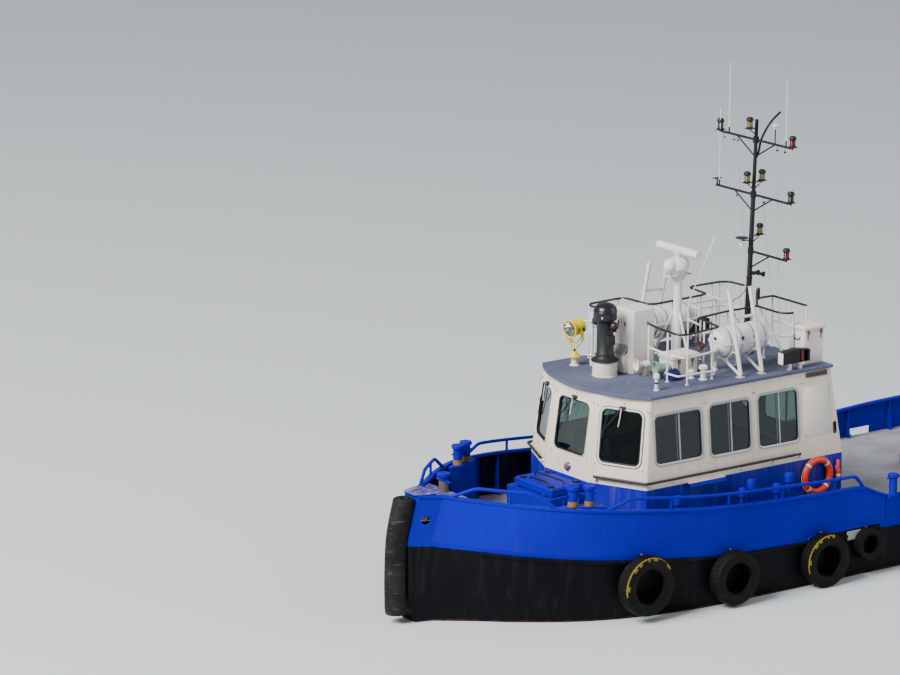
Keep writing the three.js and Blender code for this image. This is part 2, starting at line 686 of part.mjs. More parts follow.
// Upright rounded rectangle, wide across and sill to head high, pushed through along one direction
function windowHole(half, sill, head, radius, long) {
  const shape = new THREE.Shape();
  shape.moveTo(-half + radius, sill);
  shape.lineTo(half - radius, sill);
  shape.absarc(half - radius, sill + radius, radius, -Math.PI / 2, 0);
  shape.absarc(half - radius, head - radius, radius, 0, Math.PI / 2);
  shape.absarc(-half + radius, head - radius, radius, Math.PI / 2, Math.PI);
  shape.absarc(-half + radius, sill + radius, radius, Math.PI, Math.PI * 1.5);
  const made = new THREE.ExtrudeGeometry(shape, { depth: long, bevelEnabled: false, curveSegments: 3 });
  return made.rotateX(Math.PI / 2).translate(0, long / 2, 0);
}

function cabinWalls() {
  // front wall with its two angled facets
  const frontCorners = [4, 5, 0, 1];
  const frontRings = CABIN.map((level) => {
    const all = cabinCorners(level);
    const inner = inset(all, PLATE);
    return [...frontCorners.map((i) => all[i]), ...[...frontCorners].reverse().map((i) => inner[i])]
      .map(([x, y]) => [x, y, level.z]);
  });
  const centre = solid(
    windowHole(FRONT_WINDOW.half, FRONT_WINDOW.sill, FRONT_WINDOW.head, WINDOW_RADIUS, 900)
      .rotateZ(-Math.PI / 2).translate(4400, 0, 0),
  );
  const [, middle] = CABIN;
  const turn = Math.atan2(middle.frontX - middle.cornerX, middle.cornerY - middle.frontY);
  const facets = [1, -1].map((way) =>
    solid(
      windowHole(FACET_WINDOW.half, FACET_WINDOW.sill, FACET_WINDOW.head, WINDOW_RADIUS, 900)
        .rotateZ(-way * (Math.PI / 2 - turn))
        .translate(4130, way * 1175, 0),
    ),
  );
  add("cabin_wall_front", cut(loft(frontRings), [centre, ...facets]), creamPaint());

  for (const [side, way] of [["port", 1], ["starboard", -1]]) {
    const rings = wallRings(1, 2, 0, PLATE).map((ring) => ring.map(([x, y, z]) => [x, way * y, z]));
    const trimmed = rings.map((ring) => ring.map(([x, y, z]) => [x > 3000 ? x - GAP : x, y, z]));
    const holes = SIDE_WINDOWS.map(([x0, x1, sill, head]) =>
      solid(
        windowHole((x0 - x1) / 2, sill, head, WINDOW_RADIUS, 900)
          .translate((x0 + x1) / 2, way * 1700, 0),
      ),
    );
    const grip = solid(windowHole(28, 2600, 2810, 27, 900).translate(-640, way * 1700, 0));
    add("cabin_wall_" + side, cut(loft(trimmed), [...holes, grip]), creamPaint());
  }

  const inner = CABIN.map((level) => inset(cabinCorners(level), PLATE + GAP)[2][1]);
  const aftRings = CABIN.map((level, i) => [
    [AFT_WALL_X, inner[i], level.z], [AFT_WALL_X - PLATE, inner[i], level.z],
    [AFT_WALL_X - PLATE, -inner[i], level.z], [AFT_WALL_X, -inner[i], level.z],
  ]);
  const doorway = solid(
    windowHole((DOOR.y1 - DOOR.y0) / 2, DOOR.sill, DOOR.head, 120, 600)
      .rotateZ(Math.PI / 2).translate(AFT_WALL_X, (DOOR.y0 + DOOR.y1) / 2, 0),
  );
  const aftWindow = solid(
    windowHole((AFT_WINDOW.y1 - AFT_WINDOW.y0) / 2, AFT_WINDOW.sill, AFT_WINDOW.head, WINDOW_RADIUS, 600)
      .rotateZ(Math.PI / 2).translate(AFT_WALL_X, (AFT_WINDOW.y0 + AFT_WINDOW.y1) / 2, 0),
  );
  add("cabin_wall_aft", cut(loft(aftRings), [doorway, aftWindow]), creamPaint());
}

// Panes run as one band behind the wall they belong to
function glazing() {
  const [, low, top] = CABIN;
  const level = (z) => {
    const t = (z - low.z) / (top.z - low.z);
    return Object.fromEntries(CABIN_COLUMNS.map((key) => [key, lerp(low[key], top[key], t)]));
  };
  const levels = [level(2540), level(3660)];
  const [near, far] = [PLATE + 1.5, PLATE + 11.5];
  const ringsFor = (order) => levels.map((one) => {
    const all = inset(cabinCorners(one), near);
    const inner = inset(cabinCorners(one), far);
    return [...order.map((i) => all[i]), ...[...order].reverse().map((i) => inner[i])]
      .map(([x, y]) => [x, y, one.z]);
  });
  add("glass_front", loft(ringsFor([4, 5, 0, 1])), clearGlass());
  for (const [side, way] of [["port", 1], ["starboard", -1]]) {
    const rings = ringsFor([1, 2]).map((ring) =>
      ring.map(([x, y, z]) => [x > 3000 ? x - 2 : 150, way * y, z]),
    );
    add("glass_" + side, loft(rings), clearGlass());
  }
  const pane = block(
    [AFT_WALL_X + 1.5, AFT_WALL_X + 11.5],
    [AFT_WINDOW.y0 - 40, AFT_WINDOW.y1 + 40],
    [AFT_WINDOW.sill - 40, AFT_WINDOW.head + 40],
  );
  add("glass_aft", pane, clearGlass());
}

function casing() {
  const outline = cabinCorners(CABIN[0]);
  add("casing", prism(outline, 800, FLOOR_Z).subtract(hullShell(GAP)), bluePaint());
}

function aftDoor() {
  const x1 = AFT_WALL_X - PLATE - DOOR.stand;
  const leaf = block(
    [x1 - DOOR.thick, x1],
    [DOOR.y0 - DOOR.lap, DOOR.y1 + DOOR.lap],
    [DOOR.sill - DOOR.lap, DOOR.head + DOOR.lap],
  );
  const port = solid(
    windowHole(190, 2620, 3240, 80, 300).rotateZ(Math.PI / 2)
      .translate(x1, (DOOR.y0 + DOOR.y1) / 2, 0),
  );
  const handle = join([
    bar([x1 - DOOR.thick + 5, DOOR.y1 - 60, 2400], [x1 - DOOR.thick - 50, DOOR.y1 - 60, 2400], 14),
    bar([x1 - DOOR.thick - 45, DOOR.y1 - 40, 2400], [x1 - DOOR.thick - 45, DOOR.y1 - 190, 2400], 12),
  ]);
  add("aft_door", join([leaf.subtract(port), handle]), creamPaint());
}

function roof() {
  const { cornerX, cornerY, frontX, aftX, aftY } = CABIN[2];
  const over = 45;
  const [tipX, endX, endY] = [frontX + 110, cornerX + 20, cornerY + over];
  const bulge = tipX - endX;
  const arcR = (endY * endY + bulge * bulge) / (2 * bulge);
  const sweep = Math.asin(endY / arcR);
  const arc = Array.from({ length: 13 }, (_, i) => {
    const turn = lerp(-sweep, sweep, i / 12);
    return [tipX - arcR + arcR * Math.cos(turn), arcR * Math.sin(turn)];
  });
  const outline = [...arc, [aftX - over, aftY + over], [aftX - over, -aftY - over]];
  add("roof", prism(outline, ROOF_Z, ROOF_TOP), greyDeck());
}

function interior() {
  const desk = new THREE.Shape([
    [3300, FLOOR_Z + GAP], [3880, FLOOR_Z + GAP], [3880, 2420], [3640, 2480], [3300, 2300],
  ].map(([x, z]) => new THREE.Vector2(x, z)));
  const made = new THREE.ExtrudeGeometry(desk, { depth: 2500, bevelEnabled: false });
  const console_ = solid(made.rotateX(Math.PI / 2).translate(0, 1250, 0));
  const screens = [-700, 0, 700].map((y) => block([3560, 3600], [y - 190, y + 190], [2430, 2760]));
  add("helm_console", join([console_, ...screens]), darkPlastic());
  const seat = join([
    turned([
      [0, FLOOR_Z + GAP], [240, FLOOR_Z + GAP], [240, 1490], [50, 1500], [50, 2010], [0, 2010],
    ], 2650, 0),
    block([2400, 2900], [-250, 250], [2000, 2110]),
    block([2380, 2480], [-240, 240], [2090, 2780]),
  ]);
  add("helm_seat", seat, darkPlastic());
}

// Handrail round the cabin below the windows, with its feet just clear of the wall
function cabinHandrail() {
  const up = (HANDRAIL.z - BAND_Z) / (ROOF_Z - BAND_Z);
  const level = Object.fromEntries(
    CABIN_COLUMNS.map((key) => [key, lerp(CABIN[1][key], CABIN[2][key], up)]),
  );
  for (const [side, way] of [["port", 1], ["starboard", -1]]) {
    const run = inset(cabinCorners(level), -HANDRAIL.off);
    const wall = inset(cabinCorners(level), -7);
    const along = (x) => (run[1][0] - x) / (run[1][0] - run[2][0]);
    const aim = (pts, i, t) => {
      const [[ax, ay], [bx, by]] = [pts[i], pts[i + 1]];
      return [lerp(ax, bx, t), way * lerp(ay, by, t), HANDRAIL.z];
    };
    const stops = [[0, 0.12], [0, 1], ...HANDRAIL.feet.map((x) => [1, along(x)])];
    const feet = stops.map(([i, t]) => bar(aim(wall, i, t), aim(run, i, t), 13, 6));
    const start = aim(run, 0, 0.12);
    const end = aim(run, 1, along(HANDRAIL.feet.at(-1)));
    const rail = bentBar([start, aim(run, 0, 1), end], HANDRAIL.r);
    add("cabin_handrail_" + side, join([rail, ...feet]), darkPlastic());
  }
}

function lifebuoys() {
  for (const [side, way] of [["port", 1], ["starboard", -1]]) {
    const ring = new THREE.TorusGeometry(310, 62, 6, 20).rotateX(Math.PI / 2);
    const y = way * (CABIN[1].aftY + 62 + 6);
    add("lifebuoy_" + side, solid(ring.translate(-130, y, 1850)), orangePlastic());
  }
}

// Foredeck hatch

function foredeckHatch() {
  const { x0, x1, half, top, wall } = TRUNK;
  const outer = block([x0, x1], [-half, half], [1200, top]);
  const well = block([x0 + wall, x1 - wall - 90], [-half + wall + 90, half - wall - 90], [1420, top + 50]);
  add("hatch_trunk", outer.subtract(well).subtract(hullShell(GAP)), bluePaint());
  const lidHalf = half - 95;
  const lid = block([x0 + 10, x1 - 110], [-lidHalf, lidHalf], [top + 20, top + 165]);
  const handles = [[370, 320, 65], [600, 90, 45]].map(([back, reach, rise]) => {
    const at = (y, up) => [x0 + back, y, top + 160 + up];
    return bentBar([at(-reach, 0), at(40 - reach, rise), at(reach - 40, rise), at(reach, 0)], 14);
  });
  add("hatch_lid", join([lid, ...handles]), bluePaint());
}

// Roof gear

function binnacle() {
  const [x, y] = BINNACLE.at;
  const base = turned(
    [[0, ROOF_TOP + GAP], [235, ROOF_TOP + GAP], [235, ROOF_TOP + 290], [0, ROOF_TOP + 290]], x, y, 14);
  const z = ROOF_TOP + 285;
  const body = turned([
    [0, z], [245, z], [245, z + 45], [170, z + 60], [170, z + 760], [225, z + 790],
    [225, z + 960], [190, z + 1080], [100, z + 1150], [0, z + 1165],
  ], x, y, 14);
  const spheres = [-1, 1].map((way) => {
    const ball = new THREE.SphereGeometry(85, 10, 6).translate(x, y + way * 255, z + 640);
    return solid(ball);
  });
  const arm = bar([x, y - 250, z + 640], [x, y + 250, z + 640], 28);
  add("binnacle", join([base, body, arm, ...spheres]), blackPaint());
}

// Short post with a cone, and the lamp in its fork of two bent bars
function searchlight() {
  const [x, y] = SEARCHLIGHT.at;
  const foot = ROOF_TOP + GAP;
  const forkZ = SEARCHLIGHT.z - SEARCHLIGHT.arms[0][1] - 10;
  const post = turned([
    [0, foot], [95, foot], [95, foot + 20], [58, foot + 22], [58, foot + 165], [118, foot + 170],
    [118, foot + 190], [45, foot + 275], [22, foot + 280], [22, forkZ], [0, forkZ],
  ], x, y);
  add("searchlight_post", post, whitePaint());
  const arms = SEARCHLIGHT.arms.flatMap(([reach, drop]) => [-1, 1].map((way) => join([
    bar([0, way * reach, 30], [0, way * reach, -0.55 * drop], 15),
    bar([0, way * reach, -0.55 * drop + 8], [0, way * 40, -drop + 12], 15),
    bar([0, -50, -drop + 15], [0, 50, -drop + 15], 15),
  ])));
  const lamp = [
    bar([0, -220, 0], [0, 220, 0], 16),
    bar([-160, 0, -10], [125, 0, 8], 150, 14, 155),
    bar([110, 0, 8], [156, 0, 10], 178, 14),
    bar([0, 0, -385], [0, 0, -285], 15),
  ];
  const turnedLamp = join([...lamp, ...arms]).rotate([0, 0, SEARCHLIGHT.turn]);
  add("searchlight", turnedLamp.translate([x, y, SEARCHLIGHT.z]), yellowPaint());
}

function casingBoxes() {
  for (const [name, x, y, long, wide, high, chamfer] of ROOF_BOXES) {
    const z = ROOF_TOP + GAP;
    const outline = [
      [x - long / 2, y - wide / 2 + chamfer], [x - long / 2 + chamfer, y - wide / 2],
      [x + long / 2 - chamfer, y - wide / 2], [x + long / 2, y - wide / 2 + chamfer],
      [x + long / 2, y + wide / 2 - chamfer], [x + long / 2 - chamfer, y + wide / 2],
      [x - long / 2 + chamfer, y + wide / 2], [x - long / 2, y + wide / 2 - chamfer],
    ];
    const body = prism(outline, z, z + high);
    const lid = prism(outline.map(([px, py]) => [x + (px - x) * 1.05, y + (py - y) * 1.05]),
      z + high - 55, z + high);
    add(name, body.add(lid), whitePaint());
  }
}

function sideLights() {
  for (const [side, way] of [["port", 1], ["starboard", -1]]) {
    const { x, y, long, low, side: sideZ, peak, feet } = SIDE_LIGHT;
    const legs = feet.map((dx) =>
      bar([x + dx, way * y, ROOF_TOP + GAP], [x + dx, way * y, low + 10], 48, 10));
    const outline = [[-long / 2, low], [long / 2, low], [long / 2, sideZ], [0, peak], [-long / 2, sideZ]];
    const rings = [-75, 75].map((dy) => outline.map(([dx, z]) => [x + dx, way * y + dy, z]));
    add("side_light_" + side, join([loft(rings), ...legs]), blackPaint());
  }
}

// Raft canister lying fore and aft, and the cradle of two tube frames with tall outboard posts
function liferafts() {
  const { r, long, flange } = RAFT;
  const { postR, barR, crossbarZ } = CRADLE;
  const foot = ROOF_TOP + GAP;
  const profile = [
    [0, -long / 2], [r * 0.7, -long / 2], [r, -long / 2 + 110], [r, long / 2 - 110], [r * 0.7, long / 2],
    [0, long / 2],
  ];
  for (const [side, way, [x, y, z], framesX, lean, footY, topY, topZ] of LIFERAFTS) {
    const made = new THREE.LatheGeometry(profile.map(([a, b]) => new THREE.Vector2(a, b)), 16);
    const canister = solid(made.rotateZ(-Math.PI / 2).translate(x, y, z));
    const joint = block([x - long / 2 + 40, x + long / 2 - 40], [y - flange, y + flange], [z - 12, z + 12]);
    add("liferaft_" + side, canister.add(joint), whitePaint());
    const under = z - r - barR - 3;
    const innerY = y - way * 210;
    const post = (fx) => [[fx, footY, foot + 30], [fx + lean, topY, topZ]];
    const frames = framesX.map((fx) => join([
      block([fx - 60, fx + 60], [footY - 60, footY + 50], [foot, foot + 45]),
      bar(...post(fx), postR, 8),
      bar([fx, footY - way * 20, foot + 35], [fx, y, under], barR),
      bar([fx, y + way * 20, under], [fx, innerY, under], barR),
      bar([fx, innerY, foot], [fx, innerY, under + 15], barR),
    ]));
    const share = (crossbarZ - foot) / (topZ - foot);
    const between = framesX.map((fx) => [fx + lean * share, lerp(footY, topY, share), crossbarZ]);
    const runner = framesX.map((fx) => [fx, y, under]);
    add("raft_cradle_" + side, join([...frames, bar(...between, barR), bar(...runner, barR)]), whitePaint());
  }
}

function roofRails() {
  const foot = ROOF_TOP + GAP;
  for (const { name, top, lower, posts } of ROOF_RAILS) {
    const tubes = lower.map((route) => bentBar(route, RAIL_TUBE.low));
    const uprights = posts.map(([x, y, z]) =>
      turned([[0, foot], [RAIL_TUBE.foot, foot], [RAIL_TUBE.foot, foot + 12], [RAIL_TUBE.post, foot + 14],
        [RAIL_TUBE.post, z], [0, z]], x, y, 6));
    add(name, join([bentBar(top, RAIL_TUBE.top), ...tubes, ...uprights]), whitePaint());
  }
}

// Lantern of a mast light: base, drum and cap, standing on z
function lantern(x, y, z) {
  return turned([
    [0, z - 8], [80, z - 8], [80, z + 6], [54, z + 30], [54, z + 148], [75, z + 152], [75, z + 180],
    [52, z + 214], [0, z + 216],
  ], x, y, 8);
}

function mast() {
  const foot = ROOF_TOP + GAP;
  const leanAt = (z) => lerp(MAST.x, MAST.topX, (z - foot) / (MAST.topZ - foot));
  const disc = (x, y, r) => turned([[0, foot], [r, foot], [r, foot + 22], [0, foot + 22]], x, y, 12);
  const pieces = [
    disc(MAST.x, 0, 150),
    bar([MAST.x, 0, foot + 5], [MAST.topX, 0, MAST.topZ], MAST.r, 8, MAST.topR),
    bentBar(GAFF, 22),
  ];
  const drop = 330;
  for (const [z, port, starboard] of YARDS) {
    const x = leanAt(z);
    pieces.push(bar([x, -starboard, z], [x, port, z], 24));
    for (const reach of [port, -starboard].filter((span) => span !== 0)) {
      const way = Math.sign(reach);
      pieces.push(bar([leanAt(z - drop), way * 20, z - drop], [x, way * 560, z], 15, 6));
    }
  }
  for (const [dx, y, z] of LANTERNS) {
    const x = leanAt(z) + dx;
    pieces.push(lantern(x, y, z));
    const rootZ = y === 0 ? z - 14 : z - 40;
    pieces.push(bar([leanAt(z), y, rootZ], [x, y, z - 4], 16, 6));
  }
  for (const [y, z0, z1] of WHIPS) pieces.push(bar([leanAt(z0), y, z0], [leanAt(z0), y, z1], 11, 6, 7));
  // stand of a small aerial, rod with a mushroom aerial, disc aerial and two trumpet horns
  pieces.push(bar([leanAt(7030), -1075, 7030], [leanAt(7030), -1075, 7160], 16, 6));
  pieces.push(block([leanAt(7030) - 90, leanAt(7030) + 90], [-1130, -1030], [7155, 7170]));
  pieces.push(bar([leanAt(8090), 560, 8090], [leanAt(8090), 560, 8410], 12, 6));
  pieces.push(turned([[0, 8400], [55, 8425], [55, 8455], [0, 8490]], leanAt(8090), 560, 8));
  pieces.push(bar([leanAt(6150), 0, 6150], [leanAt(6150) + 200, -40, 6190], 15, 6));
  pieces.push(turned([[0, 6165], [125, 6195], [125, 6210], [0, 6220]], leanAt(6150) + 200, -40, 12));
  for (const way of [-1, 1])
    pieces.push(bar([leanAt(5500), way * 20, 5505], [leanAt(5500) - 290, way * 80, 5450], 20, 8, 54));
  for (const way of [-1, 1]) {
    const legX = MAST.x - 560;
    pieces.push(disc(legX, way * 430, 60));
    pieces.push(bar([legX, way * 430, foot + STRUT_LIFT], [leanAt(5200), way * 30, 5200], 24, 6));
  }
  add("mast", join(pieces), blackPaint());
}

function radar() {
  const { x, poleR, topZ, housingTop, barHalf, barR, barZ } = RADAR;
  const foot = ROOF_TOP + GAP;
  const pole = turned([
    [0, foot], [180, foot], [180, foot + 22], [poleR, foot + 60], [poleR, topZ - 16], [0, topZ - 16],
  ], x, 0, 14);
  const legs = RADAR_LEGS.flatMap(([dx, dy]) => [
    turned([[0, foot], [55, foot], [55, foot + 22], [0, foot + 22]], x + dx, dy, 10),
    bar([x + dx, dy, foot + STRUT_LIFT], [x + dx * 0.12, dy * 0.12, foot + 1080], 26, 6),
  ]);
  const plate = prism([[x - 250, -150], [x + 290, -100], [x + 290, 100], [x - 250, 150]], topZ - 18, topZ);
  const housing = turned([
    [0, topZ - 10], [135, topZ - 10], [165, topZ + 55], [210, topZ + 120], [205, topZ + 215],
    [110, topZ + 315], [60, topZ + 325], [60, housingTop], [0, housingTop],
  ], x, 0, 16);
  const pod = bar([x - 180, 0, topZ + 185], [x + 230, 0, topZ + 185], 130, 14);
  const cap = bar([x + 225, 0, topZ + 185], [x + 320, 0, topZ + 185], 130, 14, 70);
  add("radar_pole", join([pole, ...legs, plate, housing, pod, cap]), whitePaint());
  const aerial = bar([x, -barHalf, barZ], [x, barHalf, barZ], barR, 14);
  const neck = turned([[0, barZ - 88], [72, barZ - 88], [72, barZ - 60], [0, barZ - 60]], x, 0, 12);
  add("radar_scanner", aerial.add(neck), whitePaint());
}

// Aft deck

function towingGear() {
  const deck = edgeAt(TOW.x).z;
  const post = join([
    block([TOW.x - 210, TOW.x + 210], [-260, 260], [deck - 40, deck + 60]),
    block([TOW.x - 140, TOW.x + 140], [-110, 110], [deck, TOW.z - 105]),
    ...[-1, 1].map((way) => block([TOW.x - 140, TOW.x - 20], [-110, 110],
      way > 0 ? [TOW.z + 65, TOW.z + 115] : [TOW.z - 115, TOW.z - 65])),
    block([TOW.x - 20, TOW.x + 140], [-110, 110], [TOW.z - 115, TOW.z + 115]),
  ]).subtract(hullShell(GAP));
  add("towing_post", post, bluePaint());
  const hookShape = new THREE.Shape([
    [-60, -45], [-60, 45], [-480, 70], [-650, 40], [-720, -90], [-670, -215], [-540, -240],
    [-520, -165], [-600, -130], [-600, -30], [-480, -10], [-400, -45],
  ].map(([x, y]) => new THREE.Vector2(x, y)));
  const made = new THREE.ExtrudeGeometry(hookShape, { depth: 110, bevelEnabled: false });
  add("towing_hook", solid(made.translate(TOW.x - 20, 0, TOW.z - 55)), steel());

  const bittX = TOW_BITT.x;
  const bittDeck = edgeAt(bittX).z;
  const frame = join([
    ...[-1, 1].map((way) => turned([[0, bittDeck - 60], [130, bittDeck - 60], [130, bittDeck + 720],
      [165, bittDeck + 725], [165, bittDeck + 760], [0, bittDeck + 760]], bittX, way * TOW_BITT.half)),
    bar([bittX, -TOW_BITT.half - 330, bittDeck + 480], [bittX, TOW_BITT.half + 330, bittDeck + 480], 85, 12),
  ]).subtract(hullShell(GAP));
  add("towing_bitt", frame, bluePaint());
}

function engineHatch() {
  const { x0, x1, half, high } = ENGINE_HATCH;
  const coaming = block([x0, x1], [-half, half], [800, edgeAt(x1).z + high]);
  const well = block([x0 + 60, x1 - 60], [-half + 60, half - 60], [edgeAt(x1).z + 30, 2000]);
  add("engine_hatch_coaming", coaming.subtract(well).subtract(hullShell(GAP)), bluePaint());
  const top = edgeAt(x1).z + high + 8;
  add("engine_hatch_lid", block([x0 - 25, x1 + 25], [-half - 25, half + 25], [top, top + 60]), greyDeck());
}

// Under water

// Four-bladed propeller on the port shaft, or its mirror image on the starboard one
function propeller(way) {
  const y = SHAFT_Y;
  const hub = new THREE.LatheGeometry([[0, -190], [70, -190], [105, -90], [110, 60], [60, 150], [0, 165]]
    .map(([r, h]) => new THREE.Vector2(r, h)), 12).rotateZ(Math.PI / 2).translate(PROP_X, way * y, SHAFT_Z);
  const blades = [0, 1, 2, 3].map((i) => {
    const stations = [[80, 52, 150], [210, 40, 210], [360, 29, 215], [470, 23, 150], [PROP_R, 21, 40]];
    const rings = stations.map(([r, pitch, chord]) => {
      const turn = THREE.MathUtils.degToRad(pitch);
      const thick = 34 - 24 * (r / PROP_R);
      return [[-1, 0], [0, 1], [1, 0], [0, -1]].map(([a, b]) => {
        const along = (a * chord) / 2;
        const across = (b * thick) / 2;
        const x = along * Math.sin(turn) + across * Math.cos(turn);
        const side = along * Math.cos(turn) - across * Math.sin(turn);
        const point = new THREE.Vector3(x, side, r);
        point.applyAxisAngle(new THREE.Vector3(1, 0, 0), (i * Math.PI) / 2);
        return [PROP_X + point.x, y + point.y, SHAFT_Z + point.z];
      });
    });
    return loft(way > 0 ? rings : rings.map(mirrored));
  });
  return join([solid(hub), ...blades]);
}

function running() {
  for (const [side, way] of [["port", 1], ["starboard", -1]]) {
    const y = way * SHAFT_Y;
    const strut = (from) => bar(from, [PROP_X + 430, y, SHAFT_Z], 42, 8);
    const shaft = join([
      bar([PROP_X + 196, y, SHAFT_Z], [-3000, y, SHAFT_Z], 55, 10),
      bar([PROP_X + 300, y, SHAFT_Z], [PROP_X + 560, y, SHAFT_Z], 105, 12),
      strut([PROP_X + 430, y - 420, -300]),
      strut([PROP_X + 430, y + 420, -300]),
    ]).subtract(hullShell(0, GAP));
    add("shaft_and_bracket_" + side, shaft, bronze());
    add("propeller_" + side, propeller(way), bronze());
    const blade = [
      [RUDDER_X + 230, -620], [RUDDER_X - 420, -620], [RUDDER_X - 520, -1700], [RUDDER_X + 190, -1700],
    ];
    const shape = new THREE.Shape(blade.map(([x, z]) => new THREE.Vector2(x, z)));
    const plate = new THREE.ExtrudeGeometry(shape, { depth: 70, bevelEnabled: false });
    const rudder = join([
      solid(plate.rotateX(Math.PI / 2).translate(0, y + 35, 0)),
      bar([RUDDER_X, y, -1600], [RUDDER_X, y, RUDDER_TOP], 55, 12),
    ]);
    add("rudder_" + side, rudder, blackPaint());
  }
}

hull();
bulwark();
bowFender();
bowPlatform();
bitts();
sideFenders();
sternFender();
casing();
cabinWalls();
glazing();
aftDoor();
roof();
interior();
cabinHandrail();
lifebuoys();
foredeckHatch();
binnacle();
searchlight();
casingBoxes();
sideLights();
liferafts();
roofRails();
mast();
radar();
towingGear();
engineHatch();
running();

export default tug;
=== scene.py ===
import math

import bmesh
import bpy
import numpy as np
from mathutils import Matrix, Vector


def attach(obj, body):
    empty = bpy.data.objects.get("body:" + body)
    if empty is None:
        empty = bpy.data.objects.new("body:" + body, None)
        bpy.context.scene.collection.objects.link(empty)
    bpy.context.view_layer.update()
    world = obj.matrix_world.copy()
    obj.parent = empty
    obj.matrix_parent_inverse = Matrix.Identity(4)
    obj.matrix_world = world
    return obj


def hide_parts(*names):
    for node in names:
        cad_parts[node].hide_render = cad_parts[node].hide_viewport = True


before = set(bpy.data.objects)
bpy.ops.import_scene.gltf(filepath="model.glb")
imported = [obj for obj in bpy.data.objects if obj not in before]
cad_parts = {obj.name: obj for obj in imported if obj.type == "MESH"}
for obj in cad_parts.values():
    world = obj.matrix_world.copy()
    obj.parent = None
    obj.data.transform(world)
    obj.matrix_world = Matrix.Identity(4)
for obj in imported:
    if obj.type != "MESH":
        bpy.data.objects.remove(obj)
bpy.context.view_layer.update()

# Camera, where the photograph was taken from: high up off the port bow, with a long lens.
# The object's frame is +X to the bow, +Y to port, +Z up, in metres, with z = 0 at the waterline.
CAMERA_AT = (55.51, 65.64, 25.34)
AZIMUTH, ELEVATION, ROLL = math.radians(53.66), math.radians(13.86), math.radians(0.30)
FOCAL_PIXELS = 4591
PHOTO_WIDE = 900
SENSOR_WIDE = 36
CLIP_NEAR, CLIP_FAR = 1, 1500

lens = bpy.data.cameras.new("camera")
lens.sensor_width = SENSOR_WIDE
lens.lens = FOCAL_PIXELS / PHOTO_WIDE * SENSOR_WIDE
lens.clip_start, lens.clip_end = CLIP_NEAR, CLIP_FAR
camera = bpy.data.objects.new("camera", lens)
bpy.context.collection.objects.link(camera)
back = Vector((math.cos(AZIMUTH) * math.cos(ELEVATION),
    math.sin(AZIMUTH) * math.cos(ELEVATION), math.sin(ELEVATION)))
level_right = Vector((0, 0, 1)).cross(back).normalized()
level_up = back.cross(level_right)
right = math.cos(ROLL) * level_right + math.sin(ROLL) * level_up
up = math.cos(ROLL) * level_up - math.sin(ROLL) * level_right
camera.matrix_world = Matrix.Translation(CAMERA_AT) @ Matrix((right, up, back)).transposed().to_4x4()
bpy.context.scene.camera = camera


# Floor at the waterline, pale and plain, under the soft light of an overcast sky: a bright
# world all round, one broad lamp high over the camera's left shoulder and a weak one from astern.
FLOOR_HALF = 450
FLOOR_COLOUR = "c3c8cb"
SKY_COLOUR = "eef2f7"
SKY_STRENGTH = 0.5
LAMPS_AIM = Vector((0, 0, 2))
LAMPS = [
    # name, place, side of the square, watts
    ("key", (75, 5, 65), 45, 200000),
    ("fill", (-50, 50, 40), 60, 20000),
]


def linear(code):
    """Linear colour of an sRGB hex value such as "1b2fd0"."""
    channels = [int(code[i:i + 2], 16) / 255 for i in (0, 2, 4)]
    return [c / 12.92 if c <= 0.04045 else ((c + 0.055) / 1.055) ** 2.4 for c in channels] + [1]


def node(material, kind, settings=(), links=()):
    """Adds a shader node to the material, sets its properties and sockets, and links its inputs
    to output sockets, or to the first output of the nodes given."""
    made = material.node_tree.nodes.new("ShaderNode" + kind)
    for key, value in dict(settings).items():
        if isinstance(key, str) and hasattr(made, key):
            setattr(made, key, value)
        else:
            made.inputs[key].default_value = value
    for key, source in dict(links).items():
        output = source if isinstance(source, bpy.types.NodeSocket) else source.outputs[0]
        material.node_tree.links.new(output, made.inputs[key])
    return made


def new_material(name):
    material = bpy.data.materials.new(name)
    material.use_nodes = True
    material.node_tree.nodes.clear()
    return material


# Matt studio paper: no shine, so the floor only catches soft shadow.
paper = new_material("studio_paper")
paper_surface = node(paper, "BsdfPrincipled", {"Base Color": linear(FLOOR_COLOUR), "Roughness": 0.95})
node(paper, "OutputMaterial", links={"Surface": paper_surface})
floor_mesh = bpy.data.meshes.new("floor")
floor_corners = [(x * FLOOR_HALF, y * FLOOR_HALF, 0) for x, y in ((-1, -1), (1, -1), (1, 1), (-1, 1))]
floor_mesh.from_pydata(floor_corners, [], [range(4)])
floor_mesh.materials.append(paper)
floor = bpy.data.objects.new("floor", floor_mesh)
bpy.context.collection.objects.link(floor)

world = bpy.data.worlds.new("overcast")
world.use_nodes = True
world.node_tree.nodes["Background"].inputs["Color"].default_value = linear(SKY_COLOUR)
world.node_tree.nodes["Background"].inputs["Strength"].default_value = SKY_STRENGTH
bpy.context.scene.world = world

for name, place, side, watts in LAMPS:
    lamp = bpy.data.lights.new(name, "AREA")
    lamp.size = side
    lamp.energy = watts
    lamp_object = bpy.data.objects.new(name, lamp)
    aim = LAMPS_AIM - Vector(place)
    lamp_object.matrix_world = Matrix.Translation(place) @ aim.to_track_quat("-Z", "Y").to_matrix().to_4x4()
    bpy.context.collection.objects.link(lamp_object)


